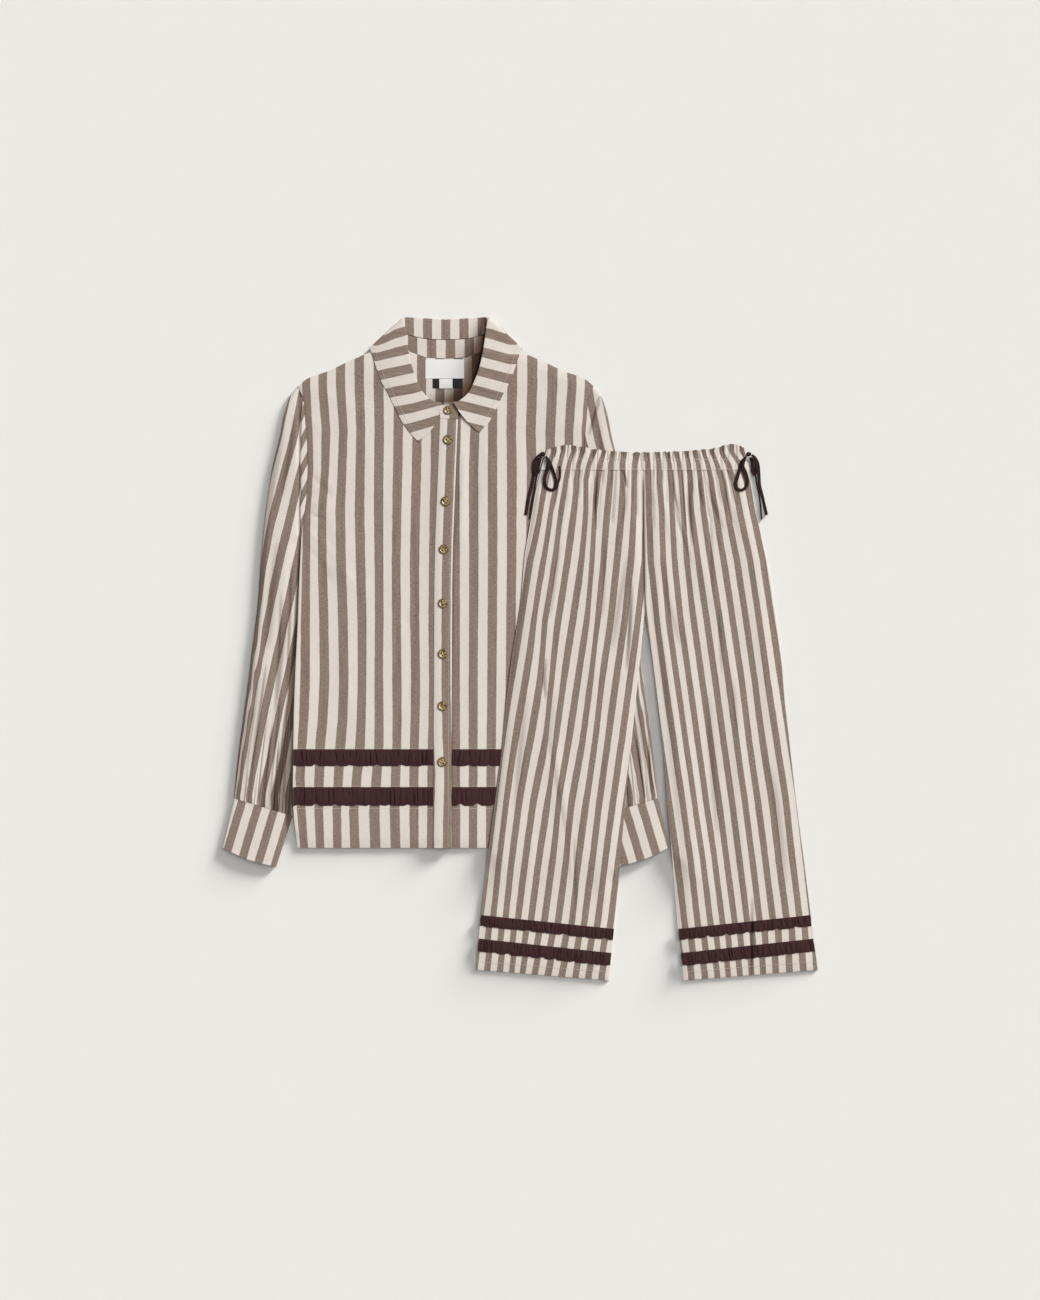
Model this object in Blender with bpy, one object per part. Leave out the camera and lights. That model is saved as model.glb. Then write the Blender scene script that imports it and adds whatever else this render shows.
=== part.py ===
"""Pyjama set laid flat: a buttoned long-sleeved shirt, and ruffled trousers over its right side.

Sizes below are in millimetres and are turned into metres as each mesh is made. The collar is
towards +Y, and left and right are as seen from above. Shirt tables give "out", the distance from
the shirt's centre line, so one table serves both halves.
"""

import math

import bmesh
import bpy
import numpy as np

MM = 0.001
SET_MIDDLE = (0.25, 2.0)   # middle of the set's outline in the tables below

# Cloth
WALL = 1.2                 # thickness of one layer
SEAM = 0.3                 # clearance between two layers or two sewn pieces
PLY = WALL + SEAM          # one layer and its clearance
LAID_FLAT = 2.0 * PLY      # lowest height of a flattened tube

# Shirt
SHIRT_X = -103.6           # centre line
HEM_Y = -276.8
NECK_LINE = 323.6          # lowest place of the front neck
SHIRT_LOFT = 1.9           # how far the front floats over the back between its seams
PLACKET_WIDTH = 25.0
UNDERLAP = 13.0            # the right front's reach under the placket, from the placket's edge
BUTTON_ACROSS = 13.7
BUTTON_THICK = 2.4
STAND_BUTTON_ACROSS = 12.3
COLLAR_RADIUS = 1.0        # of the collar's fold, to the middle of its cloth
CUFF_RISE = 1.9
SLEEVE_RISE = 2.3

# Trousers
WAIST_Y = 251.4            # seam between the waistband and the legs
LEG_LENGTH = 699.0         # down the outer edge
INSIDE_STRETCH = 1.0214    # inner edge over outer edge, since the hems slope
TROUSER_LOFT = 2.3
PILE_HEIGHT = 5.8          # underside of the trousers where they lie on the shirt
PILE_RAMP = 27.0           # run over which they come down to the floor
WAIST_GATHERS = 25

# Shoulder of the shirt, as (out, y)
SHOULDER = [(206.8, 370.0), (197.7, 377.9), (163.9, 391.4), (138.2, 403.6), (102.5, 418.3),
            (58.4, 433.0)]

# Armhole from the shoulder to the underarm, then the side seam down to the hem, as (out, y)
ARMHOLE = [(206.8, 370.0), (199.0, 352.0), (197.5, 335.0), (194.0, 290.0), (193.0, 255.0),
           (195.0, 210.0), (200.0, 178.0), (202.4, 157.0)]
SIDE_SEAM = [(202.4, 157.0), (205.0, 95.0), (207.3, 33.0), (210.4, -27.6), (212.6, -90.0),
             (213.5, -150.0), (213.5, -219.0), (208.0, -276.8)]

# Outer edge of a sleeve and cuff, as (out, y)
SLEEVE_OUTER = [(207.2, 370.0), (217.0, 357.0), (225.1, 334.3), (232.4, 299.3), (243.0, 254.7),
                (250.5, 209.0), (257.9, 140.4), (263.5, 63.4), (271.2, 2.7), (278.7, -58.1),
                (289.4, -137.1), (296.8, -207.5)]
CUFF_TOP = [(296.8, -207.5), (214.4, -232.0)]
CUFF_HEM = [(313.2, -276.1), (276.5, -293.0), (237.6, -303.4)]

# Left edge of the placket, as (y, out)
PLACKET_EDGE = [(324.0, 8.0), (252.0, 10.8), (154.0, 14.7), (90.0, 16.0), (-276.8, 17.5)]
BUTTON_Y = [294.8, 208.5, 141.5, 65.8, -4.9, -77.8, -156.1]
STAND_BUTTON = (-100.4, 336.2)

# Collar, half of it from the front end to the centre back: neck seam, stand's upper seam, fold
# and outer edge as (out, y), then heights over the raised base, the fold's turn, which is 1 where
# the leaf lies over the front and -1 where it is tucked under the back, and the sideways bow.
COLLAR_LEFT_END = [
    # neck seam      upper seam      fold            outer edge      z neck  upper  fold turn bow
    ((5.9, 323.8), (5.9, 343.6), (5.9, 346.6), (37.8, 291.6), 5.0, 5.0, 6.0, 1.0, 7.5),
    ((24.8, 330.8), (19.3, 345.8), (18.2, 348.7), (48.6, 302.8), 3.4, 4.2, 5.3, 1.0, 3.0),
]
COLLAR_RIGHT_END = [
    ((10.5, 325.6), (10.5, 344.2), (10.5, 347.2), (47.5, 304.5), 4.2, 4.6, 6.3, 1.0, 3.0),
    ((24.8, 330.8), (19.3, 345.8), (18.2, 348.7), (54.0, 313.0), 3.4, 4.2, 5.4, 1.0, 1.5),
]
COLLAR_REST = [
    ((41.0, 344.8), (33.0, 356.0), (30.4, 358.8), (61.0, 320.0), 3.1, 4.1, 5.2, 1.0, 1.0),
    ((50.0, 362.0), (41.5, 370.5), (38.8, 373.4), (70.3, 337.8), 3.0, 4.0, 5.2, 1.0, 0.0),
    ((55.0, 384.0), (49.0, 393.0), (47.2, 395.9), (80.8, 359.5), 3.0, 4.0, 5.2, 1.0, 0.0),
    ((56.8, 405.0), (53.6, 417.0), (53.0, 422.7), (91.3, 379.1), 2.7, 4.0, 5.2, 1.0, 0.0),
    ((57.8, 420.0), (56.0, 440.0), (56.9, 451.2), (99.7, 403.6), 2.4, 3.8, 5.0, 1.0, 0.0),
    ((58.2, 429.0), (57.5, 443.0), (59.3, 463.6), (105.4, 420.4), 2.2, 3.4, 4.7, 1.0, 0.0),
    ((58.4, 433.0), (58.2, 445.5), (60.9, 465.6), (107.4, 422.6), 1.5, 2.6, 2.6, 0.0, 0.0),
    ((54.5, 425.0), (56.0, 444.0), (58.4, 465.9), (105.4, 420.4), 0.7, 1.7, 0.4, -1.0, 0.0),
    ((50.0, 418.3), (51.5, 441.0), (51.5, 465.8), (95.0, 412.0), 0.6, 1.7, 0.4, -1.0, 0.0),
    ((29.0, 409.9), (29.0, 436.0), (29.0, 464.4), (50.0, 395.2), 0.6, 1.7, 0.4, -1.0, 0.0),
    ((0.0, 408.2), (0.0, 434.4), (0.0, 462.7), (0.0, 391.0), 0.6, 1.7, 0.4, -1.0, 0.0),
]
NECK_CORNER = 8            # row of a whole collar table that meets the shoulder seam
COLLAR_RAISE = 1.5         # the back neck rides this much over the tucked part of the collar
TAB_REACH = 17.0           # the stand's front end past the centre line

# Shirt ruffles: height of the sewn edge, depth, and the strips' two ends
SHIRT_RUFFLES = [("upper", -138.5, 23.0), ("lower", -191.5, 25.5)]
SHIRT_RUFFLE_WAVES = 13

# Legs: distance down the outer edge, and where the outer and inner edges are across the page
LEFT_LEG = [(0, 29.5, 172.6), (40, 20.0, 173.0), (75, 14.4, 173.4), (110, 8.3, 173.9),
            (192, 0.5, 175.0), (250, -9.4, 169.3), (320, -18.7, 161.8), (386, -24.5, 154.8),
            (440, -31.5, 149.0), (530, -43.8, 141.0), (622, -54.7, 133.5), (699, -61.4, 125.2)]
RIGHT_LEG = [(0, 321.5, 172.9), (48, 328.0, 173.3), (97, 339.5, 174.1), (130, 346.5, 174.5),
             (192, 356.4, 175.3), (266, 366.3, 187.0), (320, 370.8, 193.4), (386, 378.3, 201.6),
             (460, 386.8, 206.8), (530, 395.8, 213.5), (622, 407.5, 220.8), (699, 417.3, 229.7)]

# Leg ruffles: sewn edge above the hem at the outer and inner side, and depth
LEG_RUFFLES = [("upper", 77.0, 71.0, 15.0), ("lower", 44.0, 38.0, 17.5)]
LEG_RUFFLE_WAVES = 21

# Waistband: its upper edge, its sewn edge, and the heading's stitching, as (x, y)
WAIST_TOP = [(38.0, 282.0), (57.8, 287.4), (102.3, 282.0), (163.9, 278.0), (221.4, 279.4),
             (270.0, 283.6), (306.4, 288.0), (314.0, 284.5)]
WAIST_SEAM = [(29.0, 251.8), (172.7, 251.8), (322.0, 251.8)]

# Largest folds, as (x, y) along the ridge, half width and height
SHIRT_FOLDS = [
    ([(-84.0, 318.0), (-82.0, 240.0), (-88.0, 150.0)], 9.0, 1.3),
    ([(-284.0, 250.0), (-262.0, 190.0), (-236.0, 60.0)], 12.0, 1.0),
    ([(-300.0, 140.0), (-262.0, 118.0), (-200.0, 70.0)], 11.0, 1.1),
    ([(-176.0, 280.0), (-168.0, 120.0), (-182.0, -40.0)], 14.0, 0.8),
    ([(-250.0, -40.0), (-226.0, -90.0), (-230.0, -130.0)], 13.0, 0.9),
]
TROUSER_FOLDS = [
    ([(48.0, -70.0), (42.0, -127.0), (51.0, -186.0), (72.0, -320.0)], 10.0, 1.4),
    ([(108.0, 240.0), (102.0, 190.0), (96.0, 120.0)], 8.0, 1.1),
    ([(228.0, 245.0), (236.0, 163.0), (281.0, 48.0), (306.0, -70.0), (312.0, -290.0),
      (322.0, -380.0)], 10.0, 1.5),
    ([(140.0, 60.0), (110.0, 10.0), (96.0, -80.0)], 12.0, 0.9),
    ([(212.0, 70.0), (236.0, 0.0), (246.0, -120.0)], 12.0, 0.9),
]

# Bows of flat tie at the two side seams: the knots' middles and half sizes, and each strand's
# half width and half thickness, points in all, and route of its middle, as (x, y, z).
KNOT_HALF = (3.6, 3.2, 2.6)
KNOTS = {"left": (31.8, 274.5, 6.4), "right": (320.6, 274.6, 2.7)}
TIE = (2.2, 0.8)
TIE_ON_EDGE = (1.1, 0.6)
STRANDS = {
    "left_tail": (TIE, 10, [
        (27.6, 273.6, 4.8), (24.5, 270.5, 4.6), (21.3, 262.9, 4.6), (19.9, 249.6, 4.6),
        (17.2, 231.4, 4.6), (12.7, 214.6, 4.6), (8.5, 189.4, 4.8)]),
    "left_tail_on_edge": (TIE_ON_EDGE, 9, [
        (30.4, 270.4, 4.4), (27.8, 261.0, 4.3), (24.8, 247.0, 4.3), (21.6, 231.0, 4.3),
        (18.2, 213.0, 4.3), (15.6, 199.0, 4.3), (14.2, 183.4, 4.4)]),
    "left_loop_small": (TIE, 13, [
        (30.2, 270.6, 7.0), (27.4, 265.5, 6.7), (26.0, 257.0, 6.6), (25.4, 249.5, 6.6),
        (22.9, 246.2, 6.6), (20.4, 249.5, 6.6), (20.2, 258.0, 6.8), (22.0, 265.8, 7.7),
        (25.6, 270.2, 9.2)]),
    "left_loop_large": (TIE, 20, [
        (36.2, 271.2, 11.2), (41.0, 264.6, 11.5), (45.2, 254.5, 11.4), (49.0, 243.0, 11.8),
        (51.8, 233.0, 13.0), (51.0, 227.6, 12.6), (44.7, 224.0, 11.9), (37.6, 227.4, 11.7),
        (34.6, 237.6, 11.0), (37.0, 248.6, 11.4), (41.0, 258.6, 13.2), (38.6, 268.0, 13.2)]),
    "left_end": (TIE_ON_EDGE, 6, [
        (55.8, 258.0, 11.2), (56.6, 248.0, 11.1), (56.2, 240.0, 11.1), (54.0, 234.6, 11.1)]),
    "right_tail": (TIE, 10, [
        (325.0, 273.6, 1.6), (329.2, 270.2, 0.9), (333.0, 263.0, 0.9), (334.8, 249.2, 0.9),
        (336.1, 231.4, 0.9), (340.0, 214.6, 0.9), (345.6, 189.7, 0.9)]),
    "right_tail_on_edge": (TIE_ON_EDGE, 9, [
        (321.8, 270.2, 1.5), (326.5, 261.0, 0.7), (330.0, 247.0, 0.7), (332.2, 232.0, 0.7),
        (335.3, 218.5, 0.7), (337.2, 204.0, 0.7), (338.9, 183.4, 0.7)]),
    "right_loop_small": (TIE, 13, [
        (322.6, 270.4, 3.4), (325.2, 265.0, 3.0), (325.8, 257.0, 2.9), (326.4, 249.5, 2.9),
        (328.9, 246.0, 2.9), (331.4, 249.5, 2.9), (331.2, 258.0, 3.1), (329.4, 265.6, 4.0),
        (326.0, 270.2, 5.6)]),
    "right_loop_large": (TIE, 20, [
        (316.4, 270.4, 5.3), (311.2, 264.4, 5.6), (308.0, 254.4, 5.5), (305.0, 243.0, 5.4),
        (302.4, 233.6, 5.7), (304.0, 226.8, 5.9), (309.5, 224.0, 6.0), (316.6, 228.4, 5.3),
        (318.8, 238.0, 5.0), (316.4, 248.4, 5.4), (312.2, 258.4, 7.5), (314.6, 267.6, 7.5)]),
}

STRIPED = ("striped_cotton", (0.42, 0.36, 0.31), 0.9)
DARK = ("dark_cotton", (0.055, 0.03, 0.031), 0.9)
HORN = ("button_horn", (0.32, 0.2, 0.09), 0.35)
WHITE = ("label_white", (0.85, 0.84, 0.82), 0.7)
INK = ("tab_black", (0.02, 0.02, 0.022), 0.7)


def smooth(t):
    """Ease from 0 to 1: 3t^2 - 2t^3, flat outside that range."""
    t = np.clip(t, 0.0, 1.0)
    return t * t * (3.0 - 2.0 * t)


def rounded(points, t, dense=40):
    """Points at fractions t of the length of a smooth curve through the given points.

    Between two points the curve is a cubic whose end slopes are those of the chord between
    their neighbours.
    """
    p = np.asarray(points, float)
    if len(p) == 2:
        fine = p
    else:
        knots = np.concatenate([[0.0], np.cumsum(np.linalg.norm(np.diff(p, axis=0), axis=1))])
        slope = np.gradient(p, knots, axis=0)
        s = np.unique(np.concatenate([np.linspace(a, b, dense)
                                      for a, b in zip(knots[:-1], knots[1:])]))
        k = np.clip(np.searchsorted(knots, s, side="right") - 1, 0, len(p) - 2)
        span = (knots[k + 1] - knots[k])[:, None]
        w = (s - knots[k])[:, None] / span
        fine = ((2 * w**3 - 3 * w**2 + 1) * p[k] + (w**3 - 2 * w**2 + w) * span * slope[k]
                + (3 * w**2 - 2 * w**3) * p[k + 1] + (w**3 - w**2) * span * slope[k + 1])
    length = np.concatenate([[0.0], np.cumsum(np.linalg.norm(np.diff(fine, axis=0), axis=1))])
    at = np.asarray(t, float) * length[-1]
    return np.stack([np.interp(at, length, fine[:, i]) for i in range(p.shape[1])], axis=-1)


def straight(points, t):
    """Points on straight runs between the given points, read by their number, so that two
    pieces that share a seam have the same corners."""
    p = np.asarray(points, float)
    at = np.asarray(t, float) * (len(p) - 1)
    return np.stack([np.interp(at, np.arange(len(p)), p[:, i]) for i in range(p.shape[1])],
                    axis=-1)


def chain(pieces, shares, t):
    """One edge from several that meet at corners, as (reader, points); each takes its share."""
    ends = np.concatenate([[0.0], np.cumsum(shares)])
    t = np.asarray(t, float)
    out = np.zeros(t.shape + (2,))
    for (reader, points), low, high in zip(pieces, ends[:-1], ends[1:]):
        inside = (t >= low - 1e-9) & (t <= high + 1e-9)
        out[inside] = reader(points, np.clip((t[inside] - low) / (high - low), 0.0, 1.0))
    return out


def patch(top, bottom, left, right):
    """A plan between four edges (a Coons patch): opposite edges blended, corners taken off once.

    Each edge is a function of a fraction: top and bottom run left to right, the sides run down.
    """
    def plan(u, v):
        u, v = np.asarray(u, float), np.asarray(v, float)
        a, b, c, d = top(u), bottom(u), left(v), right(v)
        corners = [[top(np.array([e]))[0] for e in (0.0, 1.0)],
                   [bottom(np.array([e]))[0] for e in (0.0, 1.0)]]
        U, V = np.meshgrid(u, v)
        U, V = U[..., None], V[..., None]
        return ((1 - V) * a[None] + V * b[None] + (1 - U) * c[:, None] + U * d[:, None]
                - (1 - U) * (1 - V) * corners[0][0] - U * (1 - V) * corners[0][1]
                - (1 - U) * V * corners[1][0] - U * V * corners[1][1])
    return plan


def mirrored(points, side):
    """Shirt (out, y) points as page (x, y) on the side -1 or +1."""
    p = np.array(points, float)
    p[..., 0] = SHIRT_X + side * p[..., 0]
    return p


def ridge(x, y, route, half_width, height):
    """Height of a soft fold: a bell across a line of straight runs, fading at its two ends."""
    best = np.zeros_like(x)
    route = np.asarray(route, float)
    run = np.concatenate([[0.0], np.cumsum(np.linalg.norm(np.diff(route, axis=0), axis=1))])
    for i, (a, b) in enumerate(zip(route[:-1], route[1:])):
        d = b - a
        t = np.clip(((x - a[0]) * d[0] + (y - a[1]) * d[1]) / (d @ d), 0.0, 1.0)
        off = np.hypot(x - a[0] - t * d[0], y - a[1] - t * d[1])
        along = (run[i] + t * np.hypot(*d)) / run[-1]
        fade = np.sin(np.pi * np.clip(along, 0.0, 1.0)) ** 0.5
        best = np.maximum(best, height * fade * np.exp(-(off / half_width) ** 2))
    return best


def folds(x, y, table):
    """All folds of a table, added up."""
    return sum(ridge(x, y, *row) for row in table)


# --- Heights of the pile ---------------------------------------------------------------------

def placket_edge(y):
    """How far the placket's left edge is out from the centre line."""
    rows = np.array(PLACKET_EDGE)[::-1]
    return np.interp(y, rows[:, 0], rows[:, 1])


def collar_base(x, y):
    """Rise of the shirt over the part of the collar that is tucked under its back."""
    out = np.abs(x - SHIRT_X)
    return COLLAR_RAISE * smooth((y - 352.0) / 28.0) * (1.0 - smooth((out - 112.0) / 25.0))


def leg_edge(table, down, column):
    """Outer (1) or inner (2) edge of a leg at a distance down its outer edge."""
    rows = np.array(table, float)
    if column == 2:
        return np.interp(down, rows[:, 0], rows[:, 2])
    t = rounded(rows[:, [0, column]], np.linspace(0.0, 1.0, 120))
    return np.interp(down, t[:, 0], t[:, 1])


def pressed(x, y):
    """1 where the shirt is free, 0 where the trousers lie on it."""
    edge = leg_edge(LEFT_LEG, WAIST_Y - y, 1)
    return np.maximum(smooth((edge - 8.0 - x) / 34.0), smooth((y - 292.0) / 24.0))


def side_edge(y):
    """How far the armhole or the side seam is out from the centre line."""
    rows = np.array(ARMHOLE + SIDE_SEAM[1:])[::-1]
    return np.interp(y, rows[:, 1], rows[:, 0])


def shirt_loft(x, y):
    """Height of the front's underside over its lowest place: it closes down at the side seams,
    the hem and the shoulders, and carries the largest folds."""
    out = np.abs(x - SHIRT_X)
    side = smooth((side_edge(y) - out) / 16.0) * smooth((155.0 - y) / 20.0)
    armhole = (0.55 + 0.45 * smooth((side_edge(y) - out) / 16.0)) * smooth((y - 135.0) / 20.0)
    line = np.array(SHOULDER)[::-1]
    shoulder = smooth((np.interp(out, line[:, 0], line[:, 1]) - y) / 14.0)
    neck = 1.0 - 0.5 * np.exp(-(np.hypot(x - SHIRT_X, y - 372.0) / 62.0) ** 4)
    hem = smooth((y - HEM_Y) / 14.0)
    open_part = np.clip(side + armhole, 0.0, 1.0) * shoulder * hem * neck
    free = 0.2 + 0.8 * pressed(x, y)
    return 0.15 + free * open_part * (SHIRT_LOFT + folds(x, y, SHIRT_FOLDS))


def lap(x, y):
    """1 where the left front lies over the right one, easing to 0 beyond the placket."""
    return 1.0 - smooth((SHIRT_X - x - 8.0) / 30.0)


def front_under(x, y, left):
    """Underside of a front: over the back, and on the left also over the right front's edge."""
    rise = PLY * lap(x, y) if left else 0.0
    return collar_base(x, y) + PLY + shirt_loft(x, y) + rise


def shirt_top(x, y):
    """Upper face of the fronts and the placket, for what lies on them."""
    out = SHIRT_X - x
    left = out > placket_edge(y) - PLACKET_WIDTH - 0.5
    over = np.where(left, front_under(x, y, True), front_under(x, y, False)) + WALL
    band = left & (out < placket_edge(y) + 0.5)
    return over + np.where(band, PLY, 0.0)


def trouser_base(x, y):
    """Underside of the trousers: over the shirt and its sleeve, and down to the floor beyond."""
    rows = np.array(SLEEVE_OUTER + [(313.5, -277.0), (313.5, -340.0)])[::-1]
    past_side = x - SHIRT_X - np.interp(y, rows[:, 1], rows[:, 0])
    hem = np.interp(x - SHIRT_X, [205.0, 238.0, 313.0], [HEM_Y, -304.0, HEM_Y])
    past_hem = hem - y
    return PILE_HEIGHT * (1.0 - smooth((np.maximum(past_side, past_hem) - 3.0) / PILE_RAMP))


def trouser_loft(x, y, u, v):
    """Height of a trouser front's underside over its lowest place, from its place u across and
    v down: it closes at the side seam, the inner leg and the hem."""
    across = smooth(np.minimum(u, 1.0 - u) / 0.11)
    rise = 1.0 - smooth((v - 0.2) / 0.08)
    across = np.maximum(across, smooth(u / 0.11) * rise)
    down = 0.35 + 0.65 * smooth(v / 0.05)
    hem = smooth((1.0 - v) / 0.03)
    return 0.15 + across * down * hem * (TROUSER_LOFT + folds(x, y, TROUSER_FOLDS))


# --- Meshes ----------------------------------------------------------------------------------

def finish(obj, finish_of):
    """Give an object its own material, and shade a mesh smooth between its corners."""
    name, colour, roughness = finish_of
    material = bpy.data.materials.new(f"{obj.name}_{name}")
    material.use_nodes = True
    shader = material.node_tree.nodes["Principled BSDF"]
    shader.inputs["Base Color"].default_value = (*colour, 1.0)
    shader.inputs["Roughness"].default_value = roughness
    shader.inputs["Metallic"].default_value = 0.0
    obj.data.materials.append(material)
    if obj.type == "MESH":
        obj.data.shade_smooth()
        obj.data.set_sharp_from_angle(angle=math.radians(50))
    return obj


def add_mesh(name, points, faces, finish_of):
    """A closed mesh from points in millimetres, turned inside out if its volume is negative."""
    points = np.asarray(points, float) * MM
    mesh = bpy.data.meshes.new(name)
    mesh.from_pydata([tuple(p) for p in points], [], faces)
    shell = bmesh.new()
    shell.from_mesh(mesh)
    if shell.calc_volume(signed=True) < 0.0:
        bmesh.ops.reverse_faces(shell, faces=shell.faces)
    shell.to_mesh(mesh)
    shell.free()
    obj = bpy.data.objects.new(name, mesh)
    bpy.context.scene.collection.objects.link(obj)
    return finish(obj, finish_of)


def sheet(name, upper, lower, finish_of):
    """One piece of cloth between two grids of points, closed all round its edge."""
    rows, cols = upper.shape[:2]
    index = np.arange(rows * cols).reshape(rows, cols)
    a, b, c, d = index[:-1, :-1], index[1:, :-1], index[1:, 1:], index[:-1, 1:]
    top = np.concatenate([np.stack(f, axis=-1).reshape(-1, 3) for f in ((a, b, c), (a, c, d))])
    low = top[:, ::-1] + rows * cols
    rim = np.concatenate([index[0, :-1], index[:-1, -1], index[-1, :0:-1], index[:0:-1, 0]])
    rim = np.stack([rim, np.roll(rim, -1)], axis=-1)
    edge = np.concatenate([rim, rim[:, ::-1] + rows * cols], axis=-1)
    points = np.concatenate([upper.reshape(-1, 3), lower.reshape(-1, 3)])
    return add_mesh(name, points, top.tolist() + low.tolist() + edge.tolist(), finish_of)


def tube(name, outer, inner, finish_of):
    """A sleeve of cloth from rings of points, open at both ends."""
    rows, around = outer.shape[:2]
    index = np.arange(rows * around).reshape(rows, around)
    deep = index + rows * around
    faces = []
    for j in range(around):
        k = (j + 1) % around
        for i in range(rows - 1):
            faces.append((index[i, j], index[i, k], index[i + 1, k], index[i + 1, j]))
            faces.append((deep[i, j], deep[i + 1, j], deep[i + 1, k], deep[i, k]))
        faces.append((index[0, j], deep[0, j], deep[0, k], index[0, k]))
        faces.append((index[-1, j], index[-1, k], deep[-1, k], deep[-1, j]))
    points = np.concatenate([outer.reshape(-1, 3), inner.reshape(-1, 3)])
    return add_mesh(name, points, [tuple(int(k) for k in f) for f in faces], finish_of)


def facet_height(points):
    """Height over the page of a faceted sheet: a place is read off the triangle that holds it,
    or off the nearest one beyond its edge."""
    a, b, c, d = points[:-1, :-1], points[1:, :-1], points[1:, 1:], points[:-1, 1:]
    corners = np.concatenate([np.stack(f, axis=2).reshape(-1, 3, 3)
                              for f in ((a, b, c), (a, c, d))])
    p, q, r = (corners[:, i] for i in range(3))
    area = ((q[:, 0] - p[:, 0]) * (r[:, 1] - p[:, 1]) - (r[:, 0] - p[:, 0]) * (q[:, 1] - p[:, 1]))

    def height(x, y):
        X, Y = np.ravel(x)[:, None], np.ravel(y)[:, None]
        wq = ((X - p[:, 0]) * (r[:, 1] - p[:, 1]) - (r[:, 0] - p[:, 0]) * (Y - p[:, 1])) / area
        wr = ((q[:, 0] - p[:, 0]) * (Y - p[:, 1]) - (X - p[:, 0]) * (q[:, 1] - p[:, 1])) / area
        wp = 1.0 - wq - wr
        best = np.argmax(np.minimum(np.minimum(wp, wq), wr), axis=1)
        pick = np.arange(len(best))
        z = (wp * p[:, 2] + wq * q[:, 2] + wr * r[:, 2])[pick, best]
        return z.reshape(np.shape(x))
    return height


def grid(plan, u, v, height):
    """Points over a plan, with height a function of x and y."""
    xy = plan(u, v)
    return np.concatenate([xy, height(xy[..., 0], xy[..., 1])[..., None]], axis=-1)


def lifted(points, rise):
    """The same points, higher by rise."""
    out = points.copy()
    out[..., 2] += rise
    return out


def flat_tube(name, plan, u, u_low, v, base, upper, inside, finish_of):
    """A tube of cloth lying flat. Its lower half follows base, its upper half is base plus
    upper(u, v, x, y), and inside(...) is the plain height of its inner wall over base."""
    edge = 0.5 * LAID_FLAT
    rings = []
    for inset, depth in ((0.0, 0.0), (WALL, WALL)):
        def placed(at):
            xy = plan(at, v)
            sides = plan(np.array([0.0, 1.0]), v)
            left, right = sides[:, :1], sides[:, 1:]
            width = np.linalg.norm(right - left, axis=-1)[..., None]
            middle = 0.5 * (left + right)
            return middle + (xy - middle) * (1.0 - 2.0 * inset / width)
        top, low = placed(u), placed(u_low)
        U, V = np.meshgrid(u, v)
        x, y = top[..., 0], top[..., 1]
        rise = (inside if depth else upper)(U, V, x, y) - depth
        at_edge = (U < 1e-6) | (U > 1.0 - 1e-6)
        z = base(x, y) + np.where(at_edge, edge, rise)
        top = np.concatenate([top, z[..., None]], axis=-1)
        z_low = base(low[..., 0], low[..., 1]) + depth
        low = np.concatenate([low, z_low[..., None]], axis=-1)
        rings.append(np.concatenate([top, low[:, ::-1]], axis=1))
    return tube(name, rings[0], rings[1], finish_of)


def floor(x, y):
    """The surface that the set lies on."""
    return np.zeros_like(x)


# --- Shirt -----------------------------------------------------------------------------------

def collar_table(left):
    """All rows of the collar's table on one side, front end first."""
    return (COLLAR_LEFT_END if left else COLLAR_RIGHT_END) + COLLAR_REST


def front_plan(side, centre):
    """Plan of a front from its side edge to its centre edge, given as out for a height y."""
    neck = [row[0] for row in collar_table(True)[NECK_CORNER::-1]]
    neck.append((centre(NECK_LINE), NECK_LINE))
    top = [(rounded, SHOULDER), (straight, neck)]
    edge = [(straight, ARMHOLE), (rounded, SIDE_SEAM)]

    def inner(t):
        y = NECK_LINE + np.asarray(t) * (HEM_Y - NECK_LINE)
        return mirrored(np.stack([centre(y), y], axis=-1), side)
    return patch(lambda t: mirrored(chain(top, FRONT_TOP_SHARES, t), side),
                 lambda t: mirrored(straight([(208.0, HEM_Y), (centre(HEM_Y), HEM_Y)], t), side),
                 lambda t: mirrored(chain(edge, SIDE_SHARES, t), side), inner)


def left_centre(y):
    """Centre edge of the left front: under the placket's right edge."""
    return placket_edge(y) - PLACKET_WIDTH


def right_centre(y):
    """Centre edge of the right front, which reaches under the placket."""
    return PLACKET_WIDTH - UNDERLAP - placket_edge(y)


FRONT_TOP_SHARES = (0.55, 0.45)    # shoulder and neck
BACK_TOP_SHARES = (0.7, 0.3)
SIDE_SHARES = (0.33, 0.67)         # armhole and side seam
FRONT_ROWS = 10                    # of facets below the armhole


def steps(*stretches):
    """Fractions for one edge: each stretch is its end and how many even steps lead to it."""
    at, out = 0.0, [0.0]
    for end, count in stretches:
        out += list(np.linspace(at, end, count + 1)[1:])
        at = end
    return np.array(out)


def make_fronts():
    """Both fronts, one layer of cloth each. Returns the height of each one's upper face."""
    u = steps((FRONT_TOP_SHARES[0], 5), (1.0, NECK_CORNER + 1))
    v = steps((SIDE_SHARES[0], len(ARMHOLE) - 1), (1.0, FRONT_ROWS))
    tops = {}
    for word, side, centre in (("left", -1, left_centre), ("right", 1, right_centre)):
        under = grid(front_plan(side, centre), u, v,
                     lambda x, y: front_under(x, y, word == "left"))
        upper = lifted(under, WALL)
        sheet(f"shirt_front_{word}", upper, under, STRIPED)
        tops[word] = facet_height(upper)
    return tops


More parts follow.
